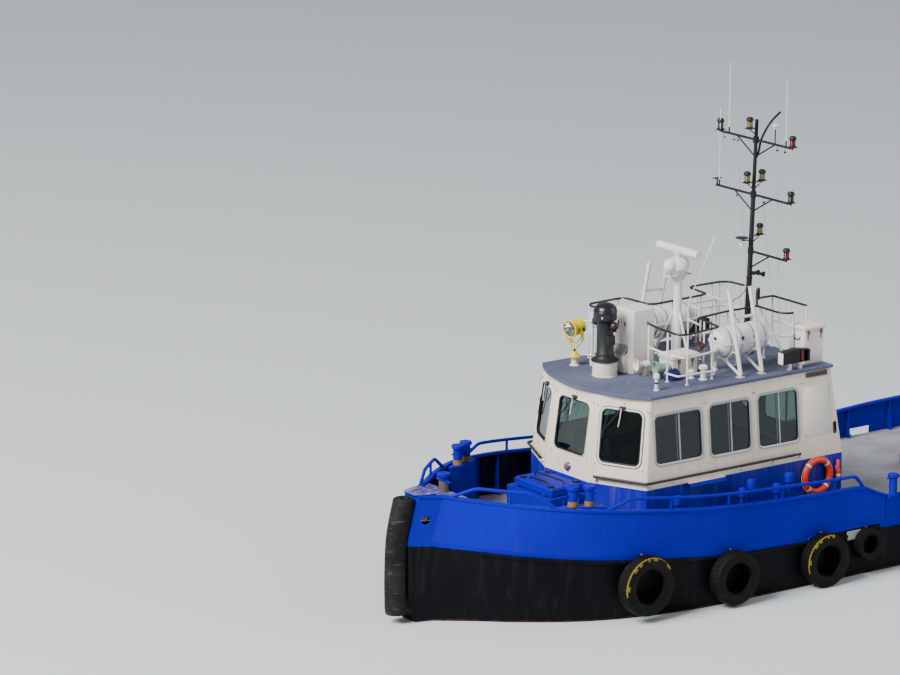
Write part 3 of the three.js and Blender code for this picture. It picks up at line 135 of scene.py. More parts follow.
# Hull: welded steel plating on frames, black enamel above the waterline, with a blue sheer strake
# under the deck edge and red-brown antifouling below. A skeg runs aft under it, and two trunks
# take the rudder stocks. The deck plating on top is grey and non-slip.
HULL = np.array([
    # x, deck half breadth, deck z, half breadths at z 0.6 and 0, bilge half breadth and z, keel z, rake
    [8.30, 0.22, 1.57, 0.22, 0.20, 0.11, -0.70, -1.25, 1.15],
    [7.93, 0.42, 1.56, 0.38, 0.30, 0.16, -0.80, -1.44, 0.83],
    [7.64, 0.70, 1.53, 0.63, 0.51, 0.27, -0.84, -1.56, 0.69],
    [7.25, 1.06, 1.49, 0.98, 0.79, 0.44, -0.90, -1.68, 0.515],
    [6.60, 1.64, 1.42, 1.56, 1.31, 0.78, -0.95, -1.76, 0.30],
    [5.60, 2.22, 1.325, 2.15, 1.94, 1.33, -1.02, -1.80, 0.10],
    [4.50, 2.495, 1.23, 2.475, 2.34, 1.76, -1.08, -1.83, 0.0],
    [3.30, 2.64, 1.11, 2.63, 2.55, 2.05, -1.12, -1.83, 0.0],
    [2.00, 2.65, 1.02, 2.65, 2.60, 2.20, -1.15, -1.83, 0.0],
    [-1.50, 2.65, 0.92, 2.65, 2.62, 2.25, -1.15, -1.80, 0.0],
    [-4.00, 2.65, 0.90, 2.65, 2.61, 2.25, -0.90, -1.50, 0.0],
    [-5.50, 2.64, 0.91, 2.64, 2.59, 2.30, -0.56, -0.95, 0.0],
    [-6.80, 2.60, 0.93, 2.59, 2.54, 2.25, -0.33, -0.50, 0.0],
    [-7.70, 2.45, 0.96, 2.44, 2.38, 2.05, -0.26, -0.38, 0.0],
    [-8.15, 2.05, 0.98, 2.04, 1.99, 1.75, -0.22, -0.32, 0.0],
    [-8.25, 1.60, 0.98, 1.59, 1.55, 1.35, -0.20, -0.29, 0.0],
])
SIDE_Z = 0.6
KEEL_HALF = 0.11
SHEER_STRAKE = 0.085
RUDDER_TRUNK = (0.095, -0.43, -0.2)
ROWS_BETWEEN = 6
SKEG = [(-1.0, -1.75), (-6.05, -0.60), (-6.25, -1.85), (-1.0, -1.85)]
SKEG_HALF = 0.09
SHAFT_Y = 1.15
RUDDER_X = -7.42
BLUE = "080092"
BLUE_FADED = "0c069e"
BLACK = "05060a"
BLACK_FADED = "0b0c12"
ANTIFOULING = "4a2621"
DECK_GREY = "9a9ba6"
DECK_WORN = "8b8787"
RUST = "7a4a2c"
GRIME = "6d675c"


def circle(count):
    """Angles of one full turn in equal steps."""
    return [2 * math.pi * k / count for k in range(count)]


def rectangle(x0, y0, x1, y1):
    return [(x0, y0), (x1, y0), (x1, y1), (x0, y1)]


class Shape:
    """Points and faces of one piece while it is put together, each face with its finish's number."""

    def __init__(self):
        self.points, self.faces, self.finishes = [], [], []

    def add(self, points, faces, finish=0):
        start = len(self.points)
        self.points.extend(tuple(p) for p in points)
        self.faces.extend([start + i for i in face] for face in faces)
        self.finishes.extend([finish] * len(faces))

    def skin(self, rings, finish=0, closed=True, ends=True, loop=False):
        """Skin over rings with as many points each. Closed rings join up, and ends are filled
        unless the last ring joins the first in a loop."""
        count = len(rings[0])
        faces = []
        for row in range(len(rings) if loop else len(rings) - 1):
            for i in range(count if closed else count - 1):
                j = (i + 1) % count
                low, high = row * count, (row + 1) % len(rings) * count
                faces.append([low + i, low + j, high + j, high + i])
        if closed and ends and not loop:
            faces.append(list(range(count))[::-1])
            faces.append([(len(rings) - 1) * count + i for i in range(count)])
        self.add([p for ring in rings for p in ring], faces, finish)

    def tube(self, points, radius, finish=0, sides=12):
        """Round bar along the points; the radius may be a list with a value for each."""
        points = [Vector(p) for p in points]
        radii = radius if isinstance(radius, (list, tuple)) else [radius] * len(points)
        way = (points[1] - points[0]).normalized()
        across = way.orthogonal().normalized()
        rings = []
        for i, point in enumerate(points):
            ahead = (points[min(i + 1, len(points) - 1)] - points[max(i - 1, 0)]).normalized()
            across = way.rotation_difference(ahead) @ across
            way = ahead
            other = way.cross(across)
            stretch = 1.0
            if 0 < i < len(points) - 1:
                bend = (points[i] - points[i - 1]).normalized().dot(ahead)
                stretch = 1 / max(bend, 0.7)
            rings.append([point + radii[i] * stretch * (math.cos(t) * across + math.sin(t) * other)
                for t in circle(sides)])
        self.skin(rings, finish)

    def hoop(self, points, radius, finish=0, sides=10):
        """Round bar bent into a closed flat ring along the points."""
        points = [Vector(p) for p in points]
        flat = (points[1] - points[0]).cross(points[2] - points[1]).normalized()
        rings = []
        for i, point in enumerate(points):
            ahead = (points[(i + 1) % len(points)] - points[i - 1]).normalized()
            out = ahead.cross(flat)
            rings.append([point + radius * (math.cos(t) * out + math.sin(t) * flat) for t in circle(sides)])
        self.skin(rings, finish, loop=True)

    def turn(self, profile, centre, axis=(0, 0, 1), finish=0, sides=32, ends=True):
        """Round form from (radius, distance along the axis) pairs about the axis through the centre."""
        axis = Vector(axis).normalized()
        across = axis.orthogonal().normalized()
        other = axis.cross(across)
        rings = [[Vector(centre) + axis * h + r * (math.cos(t) * across + math.sin(t) * other)
            for t in circle(sides)] for r, h in profile]
        self.skin(rings, finish, ends=ends)

    def block(self, low, high, finish=0):
        (x0, y0, z0), (x1, y1, z1) = low, high
        self.prism(rectangle(x0, y0, x1, y1), z0, z1, finish)

    def prism(self, outline, z0, z1, finish=0):
        """Outline of (x, y) points carried from z0 up to z1."""
        self.skin([[(x, y, z) for x, y in outline] for z in (z0, z1)], finish)

    def slab(self, outline, y0, y1, finish=0):
        """Outline of (x, z) points carried across from y0 to y1."""
        self.skin([[(x, y, z) for x, z in outline] for y in (y0, y1)], finish)


def piece(name, shape, finishes, slot, body="vessel", replaces=(), edge=0.0, crease=35):
    """Makes the shape a mesh object with its finishes, outward faces, rounded edges and body."""
    mesh = bpy.data.meshes.new(name)
    mesh.from_pydata(shape.points, [], shape.faces)
    for material in finishes:
        mesh.materials.append(material)
    mesh.polygons.foreach_set("material_index", shape.finishes)
    work = bmesh.new()
    work.from_mesh(mesh)
    bmesh.ops.remove_doubles(work, verts=work.verts, dist=1e-5)
    bmesh.ops.recalc_face_normals(work, faces=work.faces)
    work.to_mesh(mesh)
    work.free()
    return place(mesh, name, slot, body, replaces, edge, crease)


def place(mesh, name, slot, body, replaces, edge, crease):
    """Puts a finished mesh in the scene: smooth between creases, edges rounded, riding on its body."""
    mesh.polygons.foreach_set("use_smooth", [True] * len(mesh.polygons))
    mesh.set_sharp_from_angle(angle=math.radians(crease))
    made = bpy.data.objects.new(name, mesh)
    bpy.context.collection.objects.link(made)
    if edge:
        bevel = made.modifiers.new("rounded_edges", "BEVEL")
        bevel.width = edge
        bevel.segments = 2
        bevel.limit_method = "ANGLE"
        bevel.angle_limit = math.radians(crease)
        bevel.harden_normals = True
    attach(made, body)
    if replaces:
        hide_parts(*replaces)
    return made


def smooth_row(rows, place_in_rows):
    """Row at a place counted in rows, on a smooth curve through them all."""
    i = min(int(place_in_rows), len(rows) - 2)
    a, b = rows[i], rows[i + 1]
    before = rows[i - 1] if i > 0 else 2 * a - b
    after = rows[i + 2] if i + 2 < len(rows) else 2 * b - a
    s = place_in_rows - i
    return 0.5 * (2 * a + (b - before) * s + (2 * before - 5 * a + 4 * b - after) * s ** 2
        + (3 * a - before - 3 * b + after) * s ** 3)


def fine_rows(rows, between=ROWS_BETWEEN):
    return [smooth_row(rows, k / between) for k in range((len(rows) - 1) * between + 1)]


def enamel(name, colour, faded, runs=0.3, stain=GRIME, roughness=0.32, below=None, speckle=0.0, gloss=0.3):
    """Marine enamel, rolled on steel plate: a little faded in patches over a metre wide, with dirt
    that runs down it in streaks 140 mm apart, the roller's orange peel, and plating that is never
    quite flat. below is (height, colour, how far its edge wanders) of a second coat under the
    first: growth is ragged, masked paint is straight. speckle is the share of rust in pinholes."""
    material = new_material(name)
    place_at = node(material, "TexCoord").outputs["Object"]
    patches = node(material, "TexNoise", {"Scale": 0.7, "Detail": 5.0}, {"Vector": place_at})
    patch_mask = node(material, "MapRange", {"From Min": 0.35, "From Max": 0.7}, {"Value": patches})
    coat = node(material, "MixRGB", {"Color1": linear(colour), "Color2": linear(faded)},
        {"Fac": patch_mask})
    if below:
        height, second, wander = below
        parts = node(material, "SeparateXYZ", links={"Vector": place_at})
        ragged = node(material, "TexNoise", {"Scale": 6.0, "Detail": 6.0}, {"Vector": place_at})
        level = node(material, "Math", {"operation": "MULTIPLY_ADD", 1: wander},
            {0: ragged, 2: parts.outputs["Z"]})
        over = node(material, "Math", {"operation": "GREATER_THAN", 1: height}, {0: level})
        coat = node(material, "MixRGB", {"Color1": linear(second)}, {"Fac": over, "Color2": coat})
    drawn_out = node(material, "Mapping", {"Scale": (7.0, 7.0, 0.6)}, {"Vector": place_at})
    dirt = node(material, "TexNoise", {"Scale": 1.0, "Detail": 6.0, "Roughness": 0.65},
        {"Vector": drawn_out})
    dirt_mask = node(material, "MapRange", {"From Min": 0.52, "From Max": 0.78, "To Max": runs},
        {"Value": dirt})
    coat = node(material, "MixRGB", {"Color2": linear(stain)}, {"Fac": dirt_mask, "Color1": coat})
    if speckle:
        specks = node(material, "TexNoise", {"Scale": 9.0, "Detail": 8.0, "Roughness": 0.75},
            {"Vector": place_at})
        speck_mask = node(material, "MapRange", {"From Min": 0.66, "From Max": 0.7, "To Max": speckle},
            {"Value": specks})
        coat = node(material, "MixRGB", {"Color2": linear(RUST)}, {"Fac": speck_mask, "Color1": coat})
    shine = node(material, "MapRange", {"To Min": roughness, "To Max": roughness + 0.25}, {"Value": dirt})
    # orange peel is about 6 mm across, drawn at 20 mm; plating buckles over half a metre
    peel = node(material, "TexNoise", {"Scale": 50.0, "Detail": 2.0}, {"Vector": place_at})
    peel_bump = node(material, "Bump", {"Strength": 0.08, "Distance": 0.004}, {"Height": peel})
    plating = node(material, "TexNoise", {"Scale": 1.6, "Detail": 1.0}, {"Vector": place_at})
    plate_bump = node(material, "Bump", {"Strength": 0.25, "Distance": 0.02},
        {"Height": plating, "Normal": peel_bump})
    surface = node(material, "BsdfPrincipled", {"IOR": 1.5, "Specular IOR Level": gloss},
        {"Base Color": coat, "Roughness": shine, "Normal": plate_bump})
    node(material, "OutputMaterial", links={"Surface": surface})
    return material


# Deep blue topcoat, clean and even; black bottom enamel, matter, over ragged red-brown antifouling.
blue_enamel = enamel("blue_enamel", BLUE, BLUE_FADED, runs=0.05, gloss=0.08)
hull_enamel = enamel("hull_enamel", BLACK, BLACK_FADED,
    runs=0.08, roughness=0.4, below=(0.09, ANTIFOULING, 0.12), speckle=0.5, gloss=0.1)


def deck_coating():
    """Grit-filled deck paint: matt, grey, worn towards the steel in broad patches, with spots
    of rust. The grit is 1 to 2 mm, drawn at 12 mm so that it shows."""
    material = new_material("nonslip_deck_paint")
    place_at = node(material, "TexCoord").outputs["Object"]
    wear = node(material, "TexNoise", {"Scale": 1.3, "Detail": 8.0, "Roughness": 0.62},
        {"Vector": place_at})
    wear_mask = node(material, "MapRange", {"From Min": 0.42, "From Max": 0.62}, {"Value": wear})
    coat = node(material, "MixRGB", {"Color1": linear(DECK_GREY), "Color2": linear(DECK_WORN)},
        {"Fac": wear_mask})
    spots = node(material, "TexNoise", {"Scale": 5.0, "Detail": 7.0, "Roughness": 0.7},
        {"Vector": place_at})
    spot_mask = node(material, "MapRange", {"From Min": 0.63, "From Max": 0.72, "To Max": 0.6},
        {"Value": spots})
    stained = node(material, "MixRGB", {"Color2": linear(RUST)}, {"Fac": spot_mask, "Color1": coat})
    grit = node(material, "TexNoise", {"Scale": 80.0, "Detail": 3.0}, {"Vector": place_at})
    grit_bump = node(material, "Bump", {"Strength": 0.3, "Distance": 0.004}, {"Height": grit})
    surface = node(material, "BsdfPrincipled", {"Roughness": 0.8},
        {"Base Color": stained, "Normal": grit_bump})
    node(material, "OutputMaterial", links={"Surface": surface})
    return material


deck_paint = deck_coating()


def girth(row, way):
    """Points down one side of the hull at a station, from deck edge to keel, rounded at the bilge."""
    x, deck, deck_z, side, water, bilge, bilge_z, keel_z, rake = row
    strake_t = SHEER_STRAKE / max(deck_z - SIDE_Z, 0.2)
    top = [(x, deck, deck_z), (x, deck + (side - deck) * strake_t, deck_z - SHEER_STRAKE)]
    body = np.array([[x, side, SIDE_Z], [x - 0.15 * rake, water, 0],
        [x - 0.6 * rake, bilge, bilge_z], [x - rake, KEEL_HALF, keel_z]])
    points = top + [tuple(p) for p in fine_rows(body, 4)] + [(x - rake, 0, keel_z)]
    return [(px, way * py, pz) for px, py, pz in points]


stations = [HULL[0]] + fine_rows(HULL[1:])
shell = Shape()
for way in (1, -1):
    # blue sheer strake, black below it, and flat plates at the two ends
    lines = [girth(row, way) for row in stations]
    shell.skin([line[:2] for line in lines], 0, closed=False)
    shell.skin([line[1:] for line in lines], 1, closed=False)
    for end in (lines[0], lines[-1]):
        for part, finish in ((end[1:], 1), (end[:2], 0)):
            shell.skin([part, [(x, 0, z) for x, y, z in part]], finish, closed=False)
shell.slab(SKEG, -SKEG_HALF, SKEG_HALF, 1)
trunk_r, trunk_low, trunk_top = RUDDER_TRUNK
for way in (1, -1):
    shell.tube([(RUDDER_X, way * SHAFT_Y, z) for z in (trunk_low, trunk_top)], trunk_r, 1, 24)
piece("hull_shell", shell, [blue_enamel, hull_enamel], "hull_black_paint", replaces=["hull"], crease=50)

deck = Shape()
deck.skin(
    [[(x, y, z) for y in (-half, 0, half)] for x, half, z in [row[:3] for row in stations]], closed=False)
piece("deck_plating", deck, [deck_paint], "deck_grey_paint")


# Bulwarks: steel plate that stands on the deck edge all round, lapped outside the sheer strake,
# stiffened inside by stays and topped by a flat rounded bar, with pipe rails over it forward.
# Ports in it drain the deck, and each bow facet has a round sleeved fairlead with a bar.
BULWARK = np.array([
    # foot x, cap x, cap half breadth, cap z
    [8.30, 8.06, 0.215, 2.42],
    [7.93, 7.65, 0.40, 2.39],
    [7.64, 7.40, 0.64, 2.355],
    [7.25, 7.05, 0.97, 2.31],
    [6.60, 6.50, 1.48, 2.25],
    [5.60, 5.56, 2.13, 2.175],
    [4.50, 4.48, 2.465, 2.08],
    [3.30, 3.30, 2.62, 1.96],
    [2.00, 2.00, 2.65, 1.86],
    [0.50, 0.50, 2.65, 1.785],
    [-0.45, -0.45, 2.65, 1.76],
    [-0.70, -0.70, 2.65, 1.715],
    [-0.95, -0.95, 2.65, 1.60],
    [-1.20, -1.20, 2.65, 1.505],
    [-1.45, -1.45, 2.65, 1.465],
    [-4.00, -4.00, 2.65, 1.50],
    [-5.40, -5.40, 2.64, 1.56],
    [-6.80, -6.80, 2.60, 1.59],
    [-7.70, -7.70, 2.45, 1.62],
    [-8.15, -8.13, 2.04, 1.64],
    [-8.24, -8.21, 1.60, 1.64],
])
BULWARK_PLATE = 0.014
CAP_DEEP = 0.045
CAP_OUT, CAP_IN = 0.028, 0.088
CAP_ROUND = 0.014
FREEING_PORTS = [-3.5, -5.14]
PORT_HALF = 0.26
PORT_SPAN = (0.7, 1.06)
STAY_XS = [6.9, 6.2, 4.95, 4.3, 3.1, 1.9, 0.7, -0.5, -2.2, -2.95, -4.2, -4.8, -5.9, -6.6, -7.3]
STAY_DEEP = 0.16
STAY_HALF = 0.006
FAIRLEAD = Vector((7.99, 0.318, 1.96))
FAIRLEAD_R = 0.09
FAIRLEAD_FACES = Vector((0.41, 0.91, 0)).normalized()
FAIRLEAD_DEEP = 0.2
PIPE_R = 0.033
RAILS = [
    # [x, height over the cap] along each rail, then the uprights
    ([(7.54, 0), (7.2, 0.225), (6.5, 0.255), (6.08, 0)], [6.75]),
    ([(5.25, 0), (4.8, 0.225), (3.3, 0.225), (1.5, 0.235), (-0.42, 0.215), (-0.61, 0)],
     [4.0, 2.7, 1.4, 0.1]),
]

deck_edge = np.array([row[:3] for row in stations])[::-1]
bulwark_rows = np.array([BULWARK[0]] + fine_rows(BULWARK[1:]))


def edge_at(x):
    """Half breadth and height of the deck edge at x."""
    return tuple(float(np.interp(x, deck_edge[:, 0], deck_edge[:, i])) for i in (1, 2))


def cap_at(x):
    """Half breadth and height of the bulwark's cap at x."""
    rows = bulwark_rows[::-1]
    return tuple(float(np.interp(x, rows[:, 1], rows[:, i])) for i in (2, 3))


def bulwark_frame(i):
    """Foot and cap of the plate's outer face at a row, and the way inboard there."""
    foot_x, cap_x, cap_half, cap_z = bulwark_rows[i]
    half, deck_z = edge_at(foot_x)
    last = len(bulwark_rows) - 1
    ahead = bulwark_rows[i - 1][1:3] if i else (cap_x, -cap_half)
    astern = bulwark_rows[i + 1][1:3] if i < last else (cap_x, -cap_half)
    run = Vector((astern[0] - ahead[0], astern[1] - ahead[1], 0)).normalized()
    return Vector((foot_x, half, deck_z)), Vector((cap_x, cap_half, cap_z)), Vector((-run.y, run.x, 0))


def plate_section(foot, cap, inward):
    return [foot, cap, cap + inward * BULWARK_PLATE, foot + inward * BULWARK_PLATE]


def cap_section(foot, cap, inward):
    """Flat bar on top of the plate, with its upper edges rounded."""
    r = CAP_ROUND
    across = [(-CAP_OUT, -CAP_DEEP), (-CAP_OUT, -r), (-CAP_OUT + r * 0.3, -r * 0.3), (-CAP_OUT + r, 0),
        (CAP_IN - r, 0), (CAP_IN - r * 0.3, -r * 0.3), (CAP_IN, -r), (CAP_IN, -CAP_DEEP)]
    return [cap + inward * a + Vector((0, 0, b)) for a, b in across]


def mirror(points, way=-1):
    return [(p[0], way * p[1], p[2]) for p in points]


def round_the_boat(section):
    """Sections down the port side, over the stern and back up the starboard side."""
    port = [section(*frame_here) for frame_here in frames]
    return port + [mirror(ring) for ring in reversed(port)]


def carved_piece(name, shape, cutters, finishes, slot, body="vessel", replaces=(), edge=0.0, crease=35):
    """Makes a piece of the shape with the cutters' volumes taken out of it."""
    objects = []
    for one in [shape] + cutters:
        mesh = bpy.data.meshes.new("carved")
        mesh.from_pydata(one.points, [], one.faces)
        for material in finishes:
            mesh.materials.append(material)
        mesh.polygons.foreach_set("material_index", one.finishes)
        work = bmesh.new()
        work.from_mesh(mesh)
        bmesh.ops.triangulate(work, faces=work.faces)
        bmesh.ops.recalc_face_normals(work, faces=work.faces)
        work.to_mesh(mesh)
        work.free()
        made = bpy.data.objects.new("carved", mesh)
        bpy.context.collection.objects.link(made)
        objects.append(made)
    whole = objects[0]
    for cutter in objects[1:]:
        step = whole.modifiers.new("cut", "BOOLEAN")
        step.operation = "DIFFERENCE"
        step.solver = "EXACT"
        step.object = cutter
    evaluated = whole.evaluated_get(bpy.context.evaluated_depsgraph_get())
    result = bpy.data.meshes.new_from_object(evaluated)
    for made in objects:
        bpy.data.objects.remove(made)
    work = bmesh.new()
    work.from_mesh(result)
    bmesh.ops.dissolve_limit(work, angle_limit=math.radians(0.3),
        verts=work.verts, edges=work.edges, delimit={"MATERIAL"})
    work.to_mesh(result)
    work.free()
    return place(result, name, slot, body, replaces, edge, crease)


def bent(points, radius, steps=5):
    """The route with each corner turned into a bend that starts the radius away from it."""
    points = [Vector(p) for p in points]
    route = [points[0]]
    for before, corner, after in zip(points, points[1:], points[2:]):
        reach = min(radius, (before - corner).length / 2, (after - corner).length / 2)
        a = corner + (before - corner).normalized() * reach
        b = corner + (after - corner).normalized() * reach
        for k in range(steps + 1):
            t = k / steps
            route.append((1 - t) ** 2 * a + 2 * t * (1 - t) * corner + t ** 2 * b)
    return route + [points[-1]]


def rounded(outline, radius, steps=5):
    """Flat outline with its corners rounded."""
    ring = []
    for i, corner in enumerate(outline):
        corner = np.array(corner)
        before = np.array(outline[i - 1]) - corner
        after = np.array(outline[(i + 1) % len(outline)]) - corner
        before, after = before / np.linalg.norm(before), after / np.linalg.norm(after)
        half_turn = math.acos(max(-1, min(1, float(before @ after)))) / 2
        middle = (before + after) / np.linalg.norm(before + after)
        centre = corner + middle * radius / math.sin(half_turn)
        a = corner + before * radius / math.tan(half_turn) - centre
        b = corner + after * radius / math.tan(half_turn) - centre
        sweep = math.pi - 2 * half_turn
        for k in range(steps + 1):
            t = k / steps
            mix = (math.sin((1 - t) * sweep) * a + math.sin(t * sweep) * b) / math.sin(sweep)
            ring.append(tuple(float(v) for v in centre + mix))
    return ring


def fairlead_at(way):
    """Centre of a side's fairlead and the way it faces."""
    return Vector(mirror([FAIRLEAD], way)[0]), Vector(mirror([FAIRLEAD_FACES], way)[0])


# Inner faces of the bow plating take a near-black blue: painted shade, where the inside of the bulwark
# falls in shadow.
PAINTED_SHADE_FROM_X = 1.6
shaded_enamel = enamel("painted_shade_blue_enamel", "010018", "03002c", runs=0.4, roughness=0.5, gloss=0.1)
frames = [bulwark_frame(i) for i in range(len(bulwark_rows))]
plating = Shape()
plate_rings = round_the_boat(plate_section)
plating.skin(plate_rings, loop=True)
# inner plate faces forward of that line get the near-black painted shade
for row, ring in enumerate(plate_rings):
    if ring[2][0] > PAINTED_SHADE_FROM_X:
        plating.finishes[row * 4 + 2] = 1
port_cutters = []
for x in FREEING_PORTS:
    for low, high in ((2.3, 2.9), (-2.9, -2.3)):
        cutter = Shape()
        cutter.block((x - PORT_HALF, low, PORT_SPAN[0]), (x + PORT_HALF, high, PORT_SPAN[1]))
        port_cutters.append(cutter)
for way in (1, -1):
    cutter = Shape()
    middle, out = fairlead_at(way)
    cutter.tube([middle - out * 0.15, middle + out * 0.15], FAIRLEAD_R, sides=32)
    port_cutters.append(cutter)
carved_piece("bulwark_plating", plating, port_cutters, [blue_enamel, shaded_enamel],
    "blue_paint", replaces=["bulwark_bow", "bulwark_port", "bulwark_starboard", "bulwark_stern"], crease=9)

fittings = Shape()
fittings.skin(round_the_boat(cap_section), loop=True)
for way in (1, -1):
    # the fairlead's rim, its sleeve through the plate and the bar across it
    middle, out = fairlead_at(way)
    middle += out * 0.004
    fittings.hoop([middle + Matrix.Rotation(t, 3, out) @ Vector((0, 0, FAIRLEAD_R))
        for t in circle(32)], 0.012)
    sleeve = [(FAIRLEAD_R + r, h) for r, h in ((-0.004, -FAIRLEAD_DEEP),
        (0.006, -FAIRLEAD_DEEP), (0.006, -0.004), (-0.004, -0.004), (-0.004, -FAIRLEAD_DEEP))]
    fittings.turn(sleeve, middle, out, 2, 32, ends=False)
    across = Vector((-out.y, out.x, 0)) * (FAIRLEAD_R + 0.022)
    bar_at = middle + out * 0.01
    fittings.tube([bar_at - across, bar_at + across], 0.009, 1, 10)
    # stays inside the plating
    for x in STAY_XS:
        i = int(np.argmin(abs(bulwark_rows[:, 0] - x)))
        foot, cap, inward = frames[i]
        along = Vector((inward.y, -inward.x, 0)) * STAY_HALF
        under = cap - Vector((0, 0, CAP_DEEP))
        web = [foot + inward * BULWARK_PLATE, foot + inward * STAY_DEEP,
            under + inward * CAP_IN, under + inward * BULWARK_PLATE]
        fittings.skin([mirror([p - along for p in web], way), mirror([p + along for p in web], way)])
    # pipe guard rails over the cap
    for points, uprights in RAILS:
        route = []
        for (x0, up0), (x1, up1) in zip(points, points[1:]):
            count = max(1, round((x0 - x1) / 0.35))
            route += [(x0 + (x1 - x0) * k / count, up0 + (up1 - up0) * k / count) for k in range(count)]
        route.append(points[-1])
        at = lambda x, up: (x, way * (cap_at(x)[0] - 0.03), cap_at(x)[1] - 0.01 + up)
        fittings.tube(bent([at(x, up) for x, up in route], 0.09), PIPE_R, sides=14)
        for x in uprights:
            up = float(np.interp(x, [p[0] for p in points[::-1]], [p[1] for p in points[::-1]]))
            fittings.tube([at(x, 0), at(x, up)], PIPE_R * 0.8, sides=12)

# Bare-looking steel in a thin grey primer, dull and streaked with rust.
dull_steel = enamel("dull_grey_steel", "3c3e4a", "55565c", runs=0.4, stain=RUST, roughness=0.6)
piece("bulwark_cap_and_rails", fittings, [blue_enamel, dull_steel, hull_enamel], "blue_paint")


# Bollards: a bow bitt through a slotted platform with a slotted tread plate ahead of it, a pair of
# posts on a closed pedestal each side of the foredeck, and one post on each side bulwark aft.
# Welded steel, chafed to the yellow coat under the blue, and bleached where it is trodden, with painted
# highlight in pale blotches there.
BOW_PLATFORM = [(7.98, 0.09), (7.65, 0.28), (7.40, 0.51), (7.24, 0.60)]
BOW_TREAD = [(8.14, 0.17), (8.05, 0.235), (7.68, 0.32)]
SLOTTED_PLATES = [
    # name, half outline, low and top z, then x and z where the cuts of its two slots start and end
    ("bow_platform", BOW_PLATFORM, (2.30, 2.335), (7.56, 2.25), (7.86, 2.4)),
    ("bow_tread_plate", BOW_TREAD, (2.419, 2.436), (7.76, 2.3), (8.02, 2.6)),
]
SLOTS_Y, SLOT_HALF = [-0.07, 0.07], 0.02
BOW_BITT_X = 7.35
PEDESTAL = [(5.98, 1.65), (5.96, 1.745), (5.2, 2.13), (5.18, 1.90), (5.42, 1.74), (5.73, 1.64)]
PEDESTAL_TOP = 2.19
PEDESTAL_POSTS = [(5.72, 1.775), (5.44, 1.905)]
PEDESTAL_POST_TOP = 2.575
AFT_BOLLARD_X = -1.38

# Old yellow coat dirtied brown; blue bleached lilac and pitted, its pale near-white blotches partly painted
# highlight for sun glinting on the trodden plates; steel rubbed bare and grey-brown.
worn_yellow = enamel("worn_yellow_coat", "6e4f22", "94702f",
    runs=1.0, stain="1c130e", roughness=0.6, speckle=1.0)
bleached_glint_enamel = enamel("bleached_blue_glint_enamel", "37306e",
    "6a64a4", runs=0.7, stain="b9b4cc", roughness=0.5, speckle=0.5)
chafed_steel = enamel("chafed_steel", "4f4444", "75696a",
    runs=0.7, stain="3a2a24", roughness=0.5, speckle=0.8)
bollards = Shape()


def bollard(x, y, foot, top, r, lower=1, worn=0.27):
    """Capped post whose foot has lost its blue coat over the worn share of its height."""
    rub = foot + (top - foot) * worn
    low = [(0, foot), (r, foot), (r, foot + 0.03), (r * 0.96, foot + 0.05), (r * 0.96, rub)]
    bollards.turn(low + [(0, rub)], (x, y, 0), finish=lower)
    upper = [(0, rub), (r, rub), (r, top - 0.075), (r + 0.022, top - 0.07),
        (r + 0.03, top - 0.06), (r + 0.03, top - 0.012), (r + 0.018, top), (0, top)]
    bollards.turn(upper, (x, y, 0))


for name, half_outline, levels, (x0, z0), (x1, z1) in SLOTTED_PLATES:
    plate = Shape()
    plate.prism(half_outline + [(x, -y) for x, y in reversed(half_outline)], *levels)
    slot_cutters = []
    for y in SLOTS_Y:
        slot = Shape()
        slot.block((x0, y - SLOT_HALF, z0), (x1, y + SLOT_HALF, z1))
        slot_cutters.append(slot)
    carved_piece(name, plate, slot_cutters, [bleached_glint_enamel], "blue_paint", edge=0.006)
bollard(BOW_BITT_X, 0, 1.50, 2.69, 0.095, lower=2, worn=0.88)
bollards.tube([(BOW_BITT_X, -0.21, 2.54), (BOW_BITT_X, 0.21, 2.54)], 0.026)
for way in (1, -1):
    plan = [(x, way * y) for x, y in PEDESTAL]
    bollards.prism(plan, 1.32, PEDESTAL_TOP)
    for x, y in PEDESTAL_POSTS:
        bollard(x, way * y, PEDESTAL_TOP, PEDESTAL_POST_TOP, 0.092)
        pin_z = PEDESTAL_POST_TOP - 0.17
        bollards.tube([(x - 0.15, way * y, pin_z), (x + 0.15, way * y, pin_z)], 0.013)
    half, z = cap_at(AFT_BOLLARD_X)
    y = way * (half - 0.032)
    bollard(AFT_BOLLARD_X, y, z - 0.02, z + 0.4, 0.08, lower=0)
    bollards.tube([(AFT_BOLLARD_X - 0.17, y, z + 0.33), (AFT_BOLLARD_X + 0.17, y, z + 0.33)], 0.016)
piece("bollards", bollards, [blue_enamel, worn_yellow, chafed_steel],
    "blue_paint", replaces=["bow_bitt", "bitts_forward_port", "bitts_forward_starboard"], edge=0.004)


# Fenders: an upright extruded rubber D round the stem with a bore through it, a block along the
# transom, and a slim strake along the sheer that old lorry tyres hang from on short chains.
BOW_FENDER = [(8.43, 0.18), (8.44, 0.9), (8.40, 1.66), (8.245, 2.35)]
BOW_FENDER_R = 0.205
BORE_R = 0.085
STEM = [(8.306, -1.0), (8.306, 1.57), (8.094, 2.42)]
STERN_FENDER = ((-8.395, -1.55, 0.56), (-8.254, 1.55, 0.90))
STRAKE_ENDS = (7.3, -7.6)
STRAKE = [(0, 0), (0.03, 0.004), (0.044, 0.016), (0.048, 0.035), (0.044, 0.054), (0.03, 0.066), (0, 0.07)]
TYRES = [
    # x, centre z, outer radius, tread width, arc of the shoulder that is daubed yellow, in degrees
    (4.65, 0.70, 0.57, 0.33, (-12, 150)),
    (2.69, 0.56, 0.52, 0.30, None),
    (0.47, 0.52, 0.52, 0.30, (-20, 105)),
    (-0.65, 0.64, 0.32, 0.20, None),
    (-2.70, 0.48, 0.52, 0.30, None),
    (-4.70, 0.48, 0.52, 0.30, (20, 120)),
    (-6.50, 0.52, 0.50, 0.30, None),
]
TYRE_OFF = 0.022
LUGS = 44
GROOVE = 0.012


